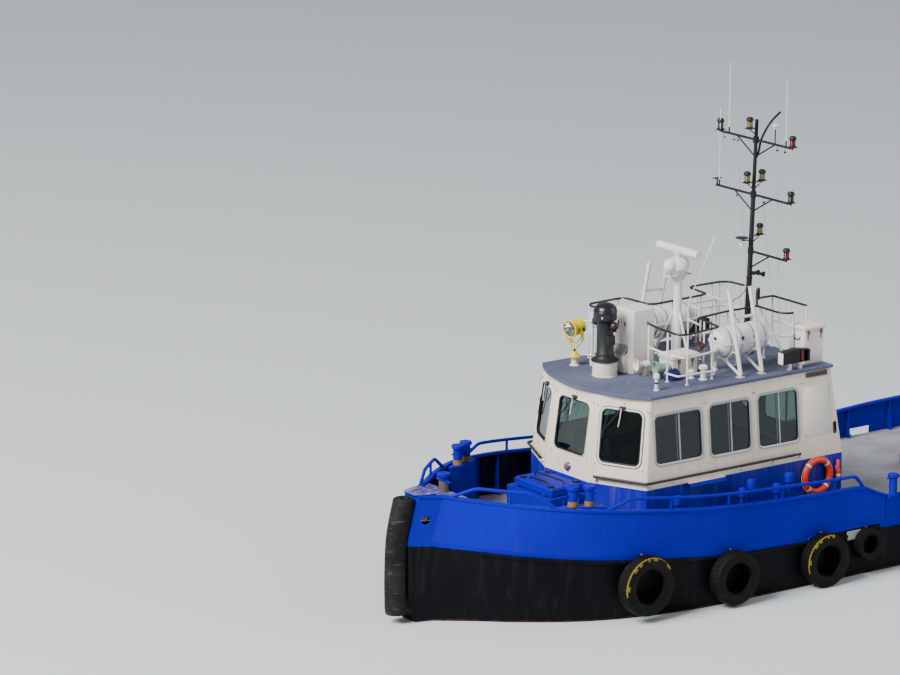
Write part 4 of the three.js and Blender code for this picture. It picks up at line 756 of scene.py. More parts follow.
def weathered_rubber(name, colour, chalked, scuff):
    """Moulded rubber left out in the sun: nearly matt, its black gone grey-brown in patches, with
    pale scuffs where it has been rubbed and a fine crazed skin drawn at 30 mm."""
    material = new_material(name)
    place_at = node(material, "TexCoord").outputs["Object"]
    patches = node(material, "TexNoise", {"Scale": 2.2, "Detail": 7.0, "Roughness": 0.6},
        {"Vector": place_at})
    patch_mask = node(material, "MapRange", {"From Min": 0.4, "From Max": 0.68}, {"Value": patches})
    worn = node(material, "MixRGB", {"Color1": linear(colour), "Color2": linear(chalked)},
        {"Fac": patch_mask})
    long_scuffs = node(material, "Mapping", {"Scale": (3.0, 3.0, 14.0)}, {"Vector": place_at})
    scuffs = node(material, "TexNoise", {"Scale": 1.5, "Detail": 5.0}, {"Vector": long_scuffs})
    scuff_mask = node(material, "MapRange", {"From Min": 0.6, "From Max": 0.72, "To Max": 0.5},
        {"Value": scuffs})
    scuffed = node(material, "MixRGB", {"Color2": linear(scuff)}, {"Fac": scuff_mask, "Color1": worn})
    crazing = node(material, "TexVoronoi", {"feature": "DISTANCE_TO_EDGE", "Scale": 33.0},
        {"Vector": place_at})
    crack_bump = node(material, "Bump", {"Strength": 0.35, "Distance": 0.004},
        {"Height": crazing.outputs["Distance"]})
    surface = node(material, "BsdfPrincipled", {"Roughness": 0.68, "IOR": 1.5, "Specular IOR Level": 0.15},
        {"Base Color": scuffed, "Normal": crack_bump})
    node(material, "OutputMaterial", links={"Surface": surface})
    return material


# The D fender has chalked grey; the tyres are black rubber made darker still, as painted shade for their
# shaded walls, three of them daubed with dull yellow paint on the shoulder; their chains and the stern
# bolts are zinc gone grey with rust in its pits.
fender_rubber = weathered_rubber("fender_rubber", "111110", "262421", "5a544c")
tyre_rubber = weathered_rubber("tyre_rubber", "060606", "0f0e0e", "26241f")
tyre_daub = enamel("weathered_yellow_daub", "8a6f16", "6d5a1c",
    runs=0.8, stain="1c1a12", roughness=0.7, speckle=0.6)
galvanised = enamel("galvanised_chain", "7d7f80", "94938f", runs=0.6, stain=RUST, roughness=0.55)

bow_fender = Shape()
levels = np.linspace(BOW_FENDER[0][1], BOW_FENDER[-1][1], 26)
route = fine_rows(np.array(BOW_FENDER), 8)


def fender_ring(z, r, keep_clear=True):
    """Circle about the fender's bowed line at a height, flattened where it meets the stem."""
    x = float(np.interp(z, [p[1] for p in route], [p[0] for p in route]))
    stem = float(np.interp(z, [p[1] for p in STEM], [p[0] for p in STEM])) + 0.004
    ring = [(x + r * math.cos(t), r * math.sin(t), z) for t in circle(40)]
    return [(max(px, stem) if keep_clear else px, py, pz) for px, py, pz in ring]


top_z = levels[-1]
outer = [fender_ring(levels[0], BOW_FENDER_R - 0.012)]
outer += [fender_ring(z, BOW_FENDER_R + 0.0015 * math.sin(z * 41)) for z in levels[1:-1]]
outer += [fender_ring(top_z - 0.02, BOW_FENDER_R), fender_ring(top_z, BOW_FENDER_R - 0.018)]
bore = [fender_ring(top_z, BORE_R, False), fender_ring(top_z - 0.03, BORE_R - 0.008, False),
    fender_ring(top_z - 0.22, BORE_R - 0.008, False)]
bow_fender.skin(outer + bore)
piece("bow_fender_rubber", bow_fender, [fender_rubber], "fender_rubber", replaces=["bow_fender"])

stern_fender = Shape()
(x0, y0, z0), (x1, y1, z1) = STERN_FENDER
ridges = [(x1, z0), (x0 + 0.03, z0), (x0, z0 + 0.04), (x0, z0 + 0.13), (x0 + 0.02, z0 + 0.15),
    (x0 + 0.02, z0 + 0.19), (x0, z0 + 0.21), (x0, z1 - 0.04), (x0 + 0.03, z1), (x1, z1)]
stern_fender.slab(ridges, y0, y1)
for k in range(8):
    y = y0 + (y1 - y0) * (k + 0.5) / 8
    stern_fender.turn([(0, 0), (0.03, 0), (0.03, 0.012), (0, 0.012)],
        (x0 + 0.02, y, z0 + 0.17), (-1, 0, 0), 1, 12)
piece("stern_fender_rubber", stern_fender, [fender_rubber, galvanised],
    "fender_rubber", replaces=["stern_fender"], edge=0.01)


def hull_half(x, z):
    """Half breadth of the hull at x and a height between the waterline and the deck."""
    rows = np.array(stations)[::-1]
    half = [float(np.interp(x, rows[:, 0], rows[:, i])) for i in (4, 3, 1)]
    return float(np.interp(z, [0, SIDE_Z, edge_at(x)[1]], half))


def tyre(shape, x, z, r, wide, daubed, way):
    """Lorry tyre hung flat against the side by a chain: bead, bulging wall, shoulder, grooved tread.
    Where it is daubed, the shoulder has the second finish, which wears off towards the tread."""
    bead = r * 0.58
    half = wide / 2
    wall = [
        # radius, distance from the middle of the tread, whether it is in the tread
        (bead, -half * 0.72, 0), (bead + 0.012, -half * 0.86, 0), (bead + r * 0.12, -half * 0.97, 0),
        (bead + r * 0.24, -half, 0), (r * 0.88, -half * 0.96, 0), (r * 0.955, -half * 0.88, 0),
        (r * 0.985, -half * 0.74, 1), (r * 0.995, -half * 0.5, 1), (r, -half * 0.25, 1),
    ]
    section = wall + [(r, 0, 1)] + [(a, -b, c) for a, b, c in reversed(wall)]
    section += [(bead - 0.004, half * 0.4, 0), (bead + r * 0.16, half * 0.2, 0),
        (bead + r * 0.16, -half * 0.2, 0), (bead - 0.004, -half * 0.4, 0)]
    y = way * (hull_half(x, z) + TYRE_OFF + half)
    rings, steps = [], LUGS * 3
    for k in range(steps):
        turn = 2 * math.pi * k / steps
        ring = []
        for i, (a, b, tread) in enumerate(section):
            zigzag = (k + (1 if i % 2 else 0)) % 3 == 0
            a = a - GROOVE * tread * zigzag - GROOVE * 0.8 * (tread and i in (8, 10))
            ring.append((x + a * math.cos(turn), y + way * b, z + a * math.sin(turn)))
        rings.append(ring)
    start = len(shape.faces)
    shape.skin(rings, loop=True)
    count = len(section)
    for k in range(steps):
        turn = math.degrees(2 * math.pi * (k + 0.5) / steps)
        turn -= 360 * (turn > 270)
        worn = math.sin(k * 0.9) + math.sin(k * 0.37 + 1)
        if daubed and daubed[0] < turn < daubed[1]:
            shape.finishes[start + k * count + 12] = 1
            if worn > 0.2:
                shape.finishes[start + k * count + 13] = 1
    top = (x, y, z + r * 0.9)
    shackle = (x, way * (hull_half(x, z) + 0.02), min(edge_at(x)[1] - 0.1, z + r + 0.06))
    shape.tube([top, (x, y - way * half, z + r * 0.99), shackle], 0.014, 2, 8)


for side, way in (("port", 1), ("starboard", -1)):
    tyres = Shape()
    for x, z, r, wide, daubed in TYRES:
        tyre(tyres, x, z, r, wide, daubed if way > 0 else None, way)
    strake = []
    for x in np.linspace(*STRAKE_ENDS, 60):
        half, z = edge_at(x)
        top, y = z - SHEER_STRAKE, half + 0.003
        strake.append([(x, way * (y + out), top - down) for out, down in STRAKE])
    tyres.skin(strake, 3)
    piece("tyre_fenders_" + side, tyres, [tyre_rubber, tyre_daub, dull_steel, hull_enamel],
        "tyre_rubber", replaces=["side_fender_" + side], crease=28)


# Plates let into both sides amidships, below the deck edge: a shallow black recess with a rolled
# blue lip over it, a grey panel, and two galvanised discharge pipes cut off flush.
RECESS_X = (-1.04, 0.76)
RECESS_Z = (0.66, 0.97)
# Pale grey enamel, long stained by what the pipes discharge.
grey_enamel = enamel("grey_enamel", "8d8f8c", "a7a8a2", runs=0.7, stain="4a4038", roughness=0.5)
recess = Shape()
for way in (1, -1):
    outline = rounded(rectangle(RECESS_X[0], RECESS_Z[0], RECESS_X[1], RECESS_Z[1]), 0.07)
    recess.slab(outline, way * 2.647, way * 2.654)
    recess.tube([(x, way * 2.66, z) for x, z in outline[len(outline) // 2:]], 0.019, 1, 10)
    recess.block((-0.58, min(way * 2.65, way * 2.706), 0.76), (-0.2, max(way * 2.65, way * 2.706), 0.92), 2)
    for x in (0.35, -0.05):
        recess.turn([(0, 0), (0.05, 0), (0.05, 0.012), (0.035, 0.014), (0.035, 0.002), (0, 0.002)],
            (x, way * 2.652, 0.78), (0, way, 0), 3, 24)
piece("side_recess_plates", recess, [hull_enamel, blue_enamel, grey_enamel, galvanised], "hull_black_paint")


# Wheelhouse: folded steel plate welded to the casing, leaning in all round above the blue band.
# One skin makes the front, its two angled facets and both sides, which run on aft as wings past
# the aft wall. Aluminium sliding windows sit in the sides and rubber-glazed panes in the front.
PLATE = 0.06
FLOOR_Z, BAND_Z, ROOF_Z = 1.45, 2.20, 3.87
CABIN = [
    # z, x and half breadth of the front facet, the front corner and the aft end
    (FLOOR_Z, 4.50, 0.66, 3.98, 1.775, -0.80, 1.775),
    (BAND_Z, 4.50, 0.66, 3.98, 1.775, -0.80, 1.775),
    (ROOF_Z, 4.26, 0.63, 3.80, 1.61, -0.59, 1.61),
]
FOLD_R = 0.05
AFT_WALL_X = -0.38
SIDE_WINDOWS = [
    # front x, aft x, sill z, head z
    (3.735, 2.605, 2.63, 3.56),
    (2.42, 1.425, 2.60, 3.575),
    (1.24, 0.25, 2.58, 3.59),
]
FRONT_WINDOW = (0.455, 2.64, 3.62)
FACET_WINDOW = (0.415, 2.62, 3.61)
AFT_WINDOW = (-0.10, 1.25, 2.56, 3.56)
DOORWAY = (-1.0, -0.29, 1.52, 3.42)
WINDOW_R = 0.11
CREAM = "ddd0bf"
CREAM_FADED = "cfc2b4"

# Cream enamel masked off in a straight line over the blue band, yellowed where rain runs; white
# enamel on the small steelwork, with brown tears; black enamel, nearly matt from soot.
cabin_enamel = enamel("cabin_enamel", CREAM, CREAM_FADED, runs=0.3,
    stain="8d7a66", below=(BAND_Z, BLUE, 0.0))
cream_enamel = enamel("cream_enamel", CREAM, CREAM_FADED, runs=0.25, stain="8d7a66")
white_enamel = enamel("white_enamel", "e2ddd6", "d2cbc2", runs=0.35, stain="8b6e52", roughness=0.35)
black_enamel = enamel("black_enamel", "0c0d10", "16171a", runs=0.1, roughness=0.4)


def plain(name, colour, roughness, metallic=0.0, mottled=0.12, grain=300.0, bump=0.05, **more):
    """Small fittings' finish: one colour that drifts a little lighter and darker over a hand's
    breadth, with a fine grain left by its mould or tool. grain is the marks in a metre: 300 draws
    them 3 mm across, the finest that shows."""
    material = new_material(name)
    place_at = node(material, "TexCoord").outputs["Object"]
    drift = node(material, "TexNoise", {"Scale": 8.0, "Detail": 4.0}, {"Vector": place_at})
    level = node(material, "MapRange", {"To Min": 1 - mottled, "To Max": 1 + mottled}, {"Value": drift})
    tone = node(material, "HueSaturation", {"Color": linear(colour)}, {"Value": level})
    fine = node(material, "TexNoise", {"Scale": grain, "Detail": 2.0}, {"Vector": place_at})
    fine_bump = node(material, "Bump", {"Strength": bump, "Distance": 0.002}, {"Height": fine})
    settings = {"Roughness": roughness, "Metallic": metallic}
    settings.update({key.replace("_", " "): value for key, value in more.items()})
    surface = node(material, "BsdfPrincipled", settings, {"Base Color": tone, "Normal": fine_bump})
    node(material, "OutputMaterial", links={"Surface": surface})
    return material


# Extruded aluminium gone dull; soft black glazing rubber; bright chromed brass; bolt heads that
# rust in blotches; and black moulded plastic with a faint sheen.
aluminium = plain("anodised_aluminium", "a9abac", 0.42, 0.9, bump=0.03)
glazing_rubber = plain("glazing_rubber", "141415", 0.6)
chrome = plain("chromed_brass", "c9cacc", 0.2, 1.0, bump=0.01)
rusty_bolt = plain("rusting_bolt_head", "6b4a35", 0.75, mottled=0.4)
black_plastic = plain("black_plastic", "131416", 0.45)


def shade_tinted_glass():
    """Toughened float glass with a green-grey tint, clear and mirror smooth, with the faintest smears that
    break up its reflections.
    The tint is set dark as painted shade, so the interior behind it looks as if in shadow."""
    material = new_material("shade_tinted_glass")
    place_at = node(material, "TexCoord").outputs["Object"]
    smear = node(material, "TexNoise", {"Scale": 3.0, "Detail": 6.0}, {"Vector": place_at})
    haze = node(material, "MapRange", {"From Min": 0.5, "From Max": 0.8, "To Min": 0.0, "To Max": 0.06},
        {"Value": smear})
    surface = node(material, "BsdfPrincipled", {"Base Color": linear("8fa6a2"),
        "Transmission Weight": 1.0, "IOR": 1.45}, {"Roughness": haze})
    node(material, "OutputMaterial", links={"Surface": surface})
    return material


glass = shade_tinted_glass()


def cabin_row(z):
    """The cabin's outline values at a height."""
    values = [np.interp(z, [row[0] for row in CABIN[1:]], [row[i] for row in CABIN[1:]])
        for i in range(1, 7)]
    return [float(v) for v in values]


def cabin_outline(z, inset=0.0):
    """Corners from the aft port end forward round to starboard, moved in by a distance."""
    front_x, front_y, corner_x, corner_y, aft_x, aft_y = cabin_row(z)
    half = [(aft_x, aft_y), (corner_x, corner_y), (front_x, front_y)]
    outline = [Vector(p) for p in half + [(x, -y) for x, y in reversed(half)]]
    moved = []
    for i, corner in enumerate(outline):
        before = (corner - outline[i - 1]).normalized()
        after = (outline[(i + 1) % 6] - corner).normalized()
        n1, n2 = Vector((before.y, -before.x)), Vector((after.y, -after.x))
        middle = (n1 + n2).normalized()
        moved.append(tuple(corner + middle * inset / middle.dot(n1)))
    return moved


def skin_line(z, inset, fold):
    """One face of the wheelhouse skin at a height, from the port aft end round to starboard."""
    outline = cabin_outline(z, inset)
    ring = rounded(outline, fold, 4)
    middle = ring[5:25]
    return [(x, y, z) for x, y in [outline[0]] + middle + [outline[5]]]


def wall_place(wall, across, z):
    """Centre, sideways, upward and outward directions of a wall at a height: wall is port,
    starboard, front, port_facet, starboard_facet or aft."""
    way = -1 if wall.startswith("starboard") else 1
    if wall == "aft":
        sideways, upward, outward = (Vector(v) for v in ((0, -1, 0), (0, 0, 1), (-1, 0, 0)))
        return Vector((AFT_WALL_X - PLATE, across, z)), sideways, upward, outward
    front_x, front_y, corner_x, corner_y, aft_x, aft_y = cabin_row(z)
    if wall == "front":
        at = lambda row: Vector((row[1], across, row[0]))
        along = Vector((0, 1, 0))
    elif wall.endswith("facet"):
        at = lambda row: Vector((row[1] + row[3], way * (row[2] + row[4]), 2 * row[0])) / 2
        along = Vector((corner_x - front_x, way * (corner_y - front_y), 0)).normalized() * way
    else:
        at = lambda row: Vector((across, way * row[4], row[0]))
        along = Vector((-way, 0, 0))
    low, high = at(CABIN[1]), at(CABIN[2])
    share = (z - BAND_Z) / (ROOF_Z - BAND_Z)
    up = (high - low).normalized()
    return low.lerp(high, share), along, up, along.cross(up).normalized()


def opening(wall, across, half, sill, head, radius=WINDOW_R):
    """A window in a wall: its outline at an outward offset and rise from the wall, a point on it
    by distances from its middle, its half sizes, and the wall's outward direction."""
    centre, along, up, out = wall_place(wall, across, (sill + head) / 2)
    half_high = (head - sill) / 2 / up.z

    def outline(offset, rise, steps=6):
        w, h = half + offset, half_high + offset
        ring = rounded(rectangle(-w, -h, w, h), radius + offset, steps)
        return [centre + along * a + up * b + out * rise for a, b in ring]

    def point(a, b, rise=0.0):
        return centre + along * a + up * b + out * rise

    return outline, point, half, half_high, out


def hole(window):
    cutter = Shape()
    cutter.skin([window[0](0, -0.2), window[0](0, 0.2)])
    return cutter


def moulding(shape, window, profile, finish):
    """Frame round a window from (offset from its edge, rise from the wall) points."""
    lines = [window[0](offset, rise) for offset, rise in profile]
    shape.skin([[line[i] for line in lines] for i in range(len(lines[0]))], finish, loop=True)


windows = {"side": [], "front": [], "aft": []}
for wall in ("port", "starboard"):
    for x0, x1, sill, head in SIDE_WINDOWS:
        windows["side"].append(opening(wall, (x0 + x1) / 2, (x0 - x1) / 2, sill, head))
windows["front"].append(opening("front", 0, *FRONT_WINDOW))
for wall in ("port_facet", "starboard_facet"):
    windows["front"].append(opening(wall, 0, *FACET_WINDOW))
y0, y1, sill, head = AFT_WINDOW
windows["aft"].append(opening("aft", (y0 + y1) / 2, (y1 - y0) / 2, sill, head))
y0, y1, sill, head = DOORWAY
doorway = opening("aft", (y0 + y1) / 2, (y1 - y0) / 2, sill, head, 0.12)
grips = [opening(wall, -0.64, 0.028, 2.60, 2.81, 0.027) for wall in ("port", "starboard")]

skin = Shape()
skin.skin([skin_line(z, 0.0, FOLD_R) + skin_line(z, PLATE, 0.02)[::-1] for z in (FLOOR_Z, BAND_Z, ROOF_Z)])
holes = [hole(window) for window in windows["side"] + windows["front"] + grips]
carved_piece("wheelhouse_skin", skin, holes, [cabin_enamel],
    "cream_paint", replaces=["cabin_wall_front", "cabin_wall_port", "cabin_wall_starboard"], crease=20)
aft_wall = Shape()
aft_wall.skin([[(AFT_WALL_X - PLATE, -y, z), (AFT_WALL_X, -y, z), (AFT_WALL_X, y, z),
    (AFT_WALL_X - PLATE, y, z)] for z, y in [(row[0], row[6] - PLATE - 0.001) for row in CABIN]])
carved_piece("wheelhouse_aft_wall", aft_wall, [hole(windows["aft"][0]), hole(doorway)], [cabin_enamel],
    "cream_paint", replaces=["cabin_wall_aft"], crease=20)

# sliding window frames, with two sashes that overlap at the middle post
side_frames, front_frames, panes = Shape(), Shape(), Shape()
PANE = (-0.030, -0.024)
for window in windows["side"] + windows["aft"]:
    outline, point, half, high, out = window
    moulding(side_frames, window, [(0.004, -0.05), (-0.02, -0.05), (-0.02, 0.004),
        (0.0, 0.014), (0.022, 0.014), (0.03, 0.006), (0.03, 0.001), (0.004, 0.001)], 0)
    moulding(side_frames, window, [(-0.02, -0.046), (-0.028, -0.046), (-0.028, -0.002), (-0.02, 0.002)], 1)
    for across, rise in ((0.03, -0.012), (-0.012, -0.034)):
        low, top = point(across, -high + 0.01, rise), point(across, high - 0.01, rise)
        side = point(across + 0.015, 0, rise) - point(across, 0, rise)
        deep = out * 0.008
        side_frames.skin([[p - side - deep, p + side - deep, p + side + deep, p - side + deep]
            for p in (low, top)])
for i, window in enumerate(windows["front"]):
    thick = 0.03 if i == 1 else 0.012
    moulding(front_frames, window, [(0.003, -0.05), (-0.014, -0.05), (-0.014, 0.006),
        (0.0, 0.012), (0.012, 0.01), (0.012, 0.001), (0.003, 0.001)], 1)
    moulding(front_frames, window, [(0.012, 0.001), (0.012, 0.014),
        (0.012 + thick * 0.5, 0.02), (0.012 + thick, 0.014), (0.012 + thick, 0.001)], 2)
    if i == 1:
        moulding(front_frames, window, [(0.042, 0.001), (0.042, 0.01), (0.056, 0.01), (0.056, 0.001)], 1)
for window in windows["side"] + windows["aft"] + windows["front"]:
    panes.skin([window[0](-0.012, rise) for rise in PANE])
piece("sliding_window_frames", side_frames, [aluminium, glazing_rubber], "white_paint", crease=40)
piece("front_window_frames", front_frames, [aluminium, glazing_rubber, white_enamel],
    "white_paint", crease=40)
piece("window_panes", panes, [glass], "window_glass", replaces=["glass_front",
    "glass_port", "glass_starboard", "glass_aft"])

# wipers, bolt heads, blank boards, louvres, grip rims, ledges over the side decks and a deck lamp
trim = Shape()
LEDGE_ENDS, LEDGE_Y = (3.03, 2.15), 1.775
LEDGE = [(0.0005, 2.235), (0.085, 2.205), (0.08, 2.199), (0.0005, 2.226)]
LEDGE_LIP = [(0.085, 2.206), (0.125, 2.138), (0.119, 2.134), (0.079, 2.201)]
BLACK_PART, BOLT, WHITE_PART, CREAM_PART, CHROME_PART, DARK_PART, BLUE_PART = range(7)
TRIM_FINISHES = [black_plastic, rusty_bolt, white_enamel, cream_enamel, chrome, glazing_rubber, blue_enamel]


def bolt_head(centre, out, r=0.014, finish=BOLT):
    trim.turn([(0, -0.004), (r, -0.004), (r, 0.006), (r * 0.6, 0.011), (0, 0.012)], centre, out, finish, 12)


for outline, point, half, high, out in windows["front"]:
    for a in (-1, 1):
        bolt_head(point(a * (half + 0.1), high + 0.05), out)
        bolt_head(point(a * (half + 0.09), -high - 0.06), out)
    bolt_head(point(0.02, high + 0.14), out)
    box = [point(a, high + b) for a, b in ((-0.055, 0.02), (0.055, 0.02), (0.055, 0.085), (-0.055, 0.085))]
    trim.skin([[p + out * rise for p in box] for rise in (0.0, 0.055)], BLACK_PART)
    hub = point(0.0, high + 0.045, 0.06)
    trim.turn([(0, -0.01), (0.022, -0.01), (0.018, 0.022), (0, 0.026)], hub, out, CHROME_PART, 16)
    trim.tube([hub + out * 0.01, point(-0.02, high - 0.15, 0.07), point(-0.05, high - 0.3, 0.05)],
        0.009, WHITE_PART, 8)
    for shift in (0.0, 0.028):
        trim.tube([hub + out * 0.01 + (point(shift, 0) - point(0, 0)),
            point(-half * 0.8 + shift, high - 0.36, 0.05)], 0.006, BLACK_PART, 8)
    trim.tube([point(-half * 0.72, high - 0.12, 0.018), point(-half * 0.86, high - 0.38, 0.03),
        point(-half * 0.97, high - 0.66, 0.018)], 0.009, DARK_PART, 8)
for outline, point, half, high, out in windows["side"]:
    for a in (-half - 0.11, half + 0.075):
        for shift in (0, 0.05):
            bolt_head(point(a + shift, high + 0.07), out, 0.01)
            bolt_head(point(a + shift, -high - 0.07), out, 0.011, WHITE_PART)
for wall, way in (("port", 1), ("starboard", -1)):
    # blank board on four rivets, louvre over it, grip slot's rim
    board = opening(wall, -0.21, 0.33, 2.63, 3.58, 0.02)
    trim.skin([board[0](0, 0.001), board[0](0, 0.007), board[0](-0.003, 0.009)], WHITE_PART)
    for a in (-0.3, 0.3):
        for b in (-0.44, 0.44):
            bolt_head(board[1](a, b, 0.008), board[4], 0.01)
    louvre = opening(wall, -0.235, 0.255, 3.755, 3.835, 0.006)
    moulding(trim, louvre, [(0, 0.001), (0, 0.012), (0.012, 0.012), (0.012, 0.001)], BOLT)
    for k in range(14):
        a = -0.24 + 0.48 * k / 13
        slat = [louvre[1](a, -0.034, 0.002), louvre[1](a + 0.02, -0.034, 0.011),
            louvre[1](a + 0.02, 0.034, 0.011), louvre[1](a, 0.034, 0.002)]
        trim.skin([slat, [p + (louvre[1](0.004, 0) - louvre[1](0, 0)) for p in slat]], DARK_PART)
    grip = grips[0 if way > 0 else 1]
    moulding(trim, grip, [(0, -0.04), (0, 0.008), (0.014, 0.008), (0.014, 0.001), (0.002, 0.001),
        (0.002, -0.04)], BLACK_PART)
    for section, finish in ((LEDGE, CREAM_PART), (LEDGE_LIP, BLUE_PART)):
        trim.skin([[(x, way * (LEDGE_Y + a), b) for a, b in section] for x in LEDGE_ENDS], finish)
# round deck lamp low on the front, chromed with a rusting rim
lamp_at, _, _, lamp_out = wall_place("front", 0.03, 2.36)
lamp_at -= lamp_out * 0.003
trim.turn([(0, 0), (0.09, 0), (0.09, 0.006), (0.058, 0.014),
    (0.064, 0.036), (0.076, 0.04), (0.066, 0.052), (0.0, 0.054)], lamp_at, lamp_out, CHROME_PART, 28)
trim.turn([(0, 0.053), (0.054, 0.053), (0.04, 0.062), (0, 0.065)], lamp_at, lamp_out, BOLT, 24)
piece("wheelhouse_trim", trim, TRIM_FINISHES, "dark_plastic", crease=40)

# handrails: black-sleeved bars round the front corners and down the sides, on white stand-off feet
HANDRAIL_Z = 2.345
HANDRAIL_FEET = [3.405, 2.51, 1.735, 0.96, 0.29]
HANDRAIL_R = 0.026
handrails = Shape()
for side, way in (("port", 1), ("starboard", -1)):
    far, wall_line = cabin_outline(HANDRAIL_Z, -0.075), cabin_outline(HANDRAIL_Z, -0.002)
    aft, corner, front = [Vector((x, way * y, HANDRAIL_Z)) for x, y in far[:3]]
    wall_aft, wall_corner, wall_front = [Vector((x, way * y, HANDRAIL_Z)) for x, y in wall_line[:3]]
    start = front.lerp(corner, 0.12)
    end = corner.lerp(aft, (corner.x - HANDRAIL_FEET[-1]) / (corner.x - aft.x))
    handrails.tube(bent([start, corner, end], 0.05), HANDRAIL_R, 0, 14)
    feet = [(wall_front.lerp(wall_corner, 0.12), start + (corner - start) * 0.02)]
    for x in HANDRAIL_FEET:
        share = (corner.x - x) / (corner.x - aft.x)
        feet.append((wall_corner.lerp(wall_aft, share), corner.lerp(aft, share)))
    for wall_point, rail_point in feet:
        out = (rail_point - wall_point).normalized()
        handrails.turn([(0, 0), (0.036, 0), (0.034, 0.01), (0.018, 0.016), (0.016, 0.05), (0.026, 0.058),
            (0.028, 0.08), (0.02, 0.09), (0, 0.092)], wall_point - Vector((0, 0, 0.052)), out, 1, 16)
piece("cabin_handrails", handrails, [black_plastic, white_enamel], "dark_plastic",
    replaces=["cabin_handrail_port", "cabin_handrail_starboard"])


# Casing under the wheelhouse: welded plate box the height of a coaming, painted blue. Beside it
# on the side decks stand the air pipes of the tanks, each with a round head.
CASING_TOP = 1.4495
AIR_PIPES = [
    # x, radius and top z
    (3.50, 0.085, 2.11),
    (1.94, 0.075, 2.01),
    (1.72, 0.09, 2.14),
    (1.09, 0.085, 1.96),
    (0.80, 0.09, 2.12),
]
AIR_PIPE_Y = 2.1
casing = Shape()
outline = cabin_outline(BAND_Z)
casing.skin([[(x, y, edge_at(x)[1] - 0.02) for x, y in outline], [(x, y, CASING_TOP) for x, y in outline]])
piece("deck_casing", casing, [blue_enamel], "blue_paint", replaces=["casing"], crease=30)
air_pipes = Shape()
for x, r, top in AIR_PIPES:
    for way in (1, -1):
        foot = edge_at(x)[1] - 0.01
        air_pipes.turn([(0, foot), (r, foot), (r, foot + 0.02),
            (r * 0.5, foot + 0.025), (r * 0.5, top - 0.19), (r, top - 0.17), (r, top - 0.04),
            (r * 0.8, top - 0.008), (r * 0.5, top), (0, top)], (x, way * AIR_PIPE_Y, 0), sides=24)
        lever_z = top - 0.09
        air_pipes.tube([(x - r - 0.04, way * AIR_PIPE_Y, lever_z),
            (x + r + 0.04, way * AIR_PIPE_Y, lever_z)], 0.012, 0, 8)
piece("tank_air_pipes", air_pipes, [blue_enamel], "blue_paint", crease=30)


# Roof: a plate with a bowed front edge that overhangs the walls, coated blue-grey and non-slip.
ROOF_TOP = 3.93
ROOF_OVER = 0.045
# Thick rubbery deck coating, matt and chalky.
roof_coating = enamel("roof_coating", "474c67", "585d74", runs=0.35, stain="8f8a86", roughness=0.6)
front_x, front_y, corner_x, corner_y, aft_x, aft_y = cabin_row(ROOF_Z)
tip_x, end_x, end_y = front_x + 0.11, corner_x + 0.02, corner_y + ROOF_OVER
bulge = tip_x - end_x
arc_r = (end_y ** 2 + bulge ** 2) / (2 * bulge)
sweep = math.asin(end_y / arc_r)
roof_outline = []
for k in range(41):
    turn = sweep * (k / 20 - 1)
    roof_outline.append((tip_x - arc_r + arc_r * math.cos(turn), arc_r * math.sin(turn)))
roof_outline += [(aft_x - ROOF_OVER, end_y), (aft_x - ROOF_OVER, -end_y)]
roof = Shape()
roof.prism(roof_outline, ROOF_Z, ROOF_TOP)
piece("roof_plate", roof, [roof_coating], "deck_grey_paint", replaces=["roof"], edge=0.012)


# Door in the aft wall: a light steel leaf with rounded corners on three hinges, a round-cornered
# light in it and a lever handle. It laps over the opening on a rubber seal.
DOOR_FACE_X, DOOR_BACK_X = -0.493, -0.448
y0, y1, sill, head = DOORWAY
leaf = opening("aft", (y0 + y1) / 2, (y1 - y0) / 2 + 0.035, sill - 0.035, head + 0.035, 0.09)
rise = [AFT_WALL_X - PLATE - x for x in (DOOR_BACK_X, DOOR_FACE_X)]
door = Shape()
door.skin([leaf[0](0, rise[0]), leaf[0](0, rise[1] - 0.008), leaf[0](-0.008, rise[1])])
light = opening("aft", (y0 + y1) / 2, 0.19, 2.62, 3.24, 0.08)
carved_piece("door_leaf", door, [hole(light)], [cabin_enamel],
    "cream_paint", body="wheelhouse_door", replaces=["aft_door"])
fittings = Shape()
moulding(fittings, light, [(0, rise[0]), (0, rise[1] + 0.008),
    (0.022, rise[1] + 0.006), (0.022, rise[1]), (0.004, rise[1]), (0.004, rise[0])], 0)
fittings.skin([light[0](0.002, rise[0] + 0.016), light[0](0.002, rise[0] + 0.022)], 2)
for z in (1.75, 2.5, 3.2):
    fittings.tube([(-0.478, -1.027, z - 0.06), (-0.478, -1.027, z + 0.06)], 0.012, 1, 14)
    fittings.block((-0.4965, -1.027, z - 0.045), (-0.4925, -0.93, z + 0.045), 1)
fittings.turn([(0, 0), (0.03, 0), (0.028, 0.008), (0.014, 0.012), (0.014, 0.045), (0, 0.047)],
    (-0.493, -0.35, 2.4), (-1, 0, 0), 1, 20)
fittings.tube(bent([(-0.534, -0.345, 2.4), (-0.538, -0.43, 2.4), (-0.532, -0.48, 2.395)],
    0.03), 0.011, 1, 12)
piece("door_fittings", fittings, [glazing_rubber, chrome, glass], "dark_plastic", body="wheelhouse_door")


# Inside the wheelhouse: a laminate console with instruments and a wheel, and a helm chair with
# padded vinyl cushions on a steel pedestal. Only what shows through the glass is there.
DESK = [(3.30, 1.452), (3.88, 1.452), (3.88, 2.42), (3.64, 2.48), (3.30, 2.30)]
DESK_HALF = 1.25
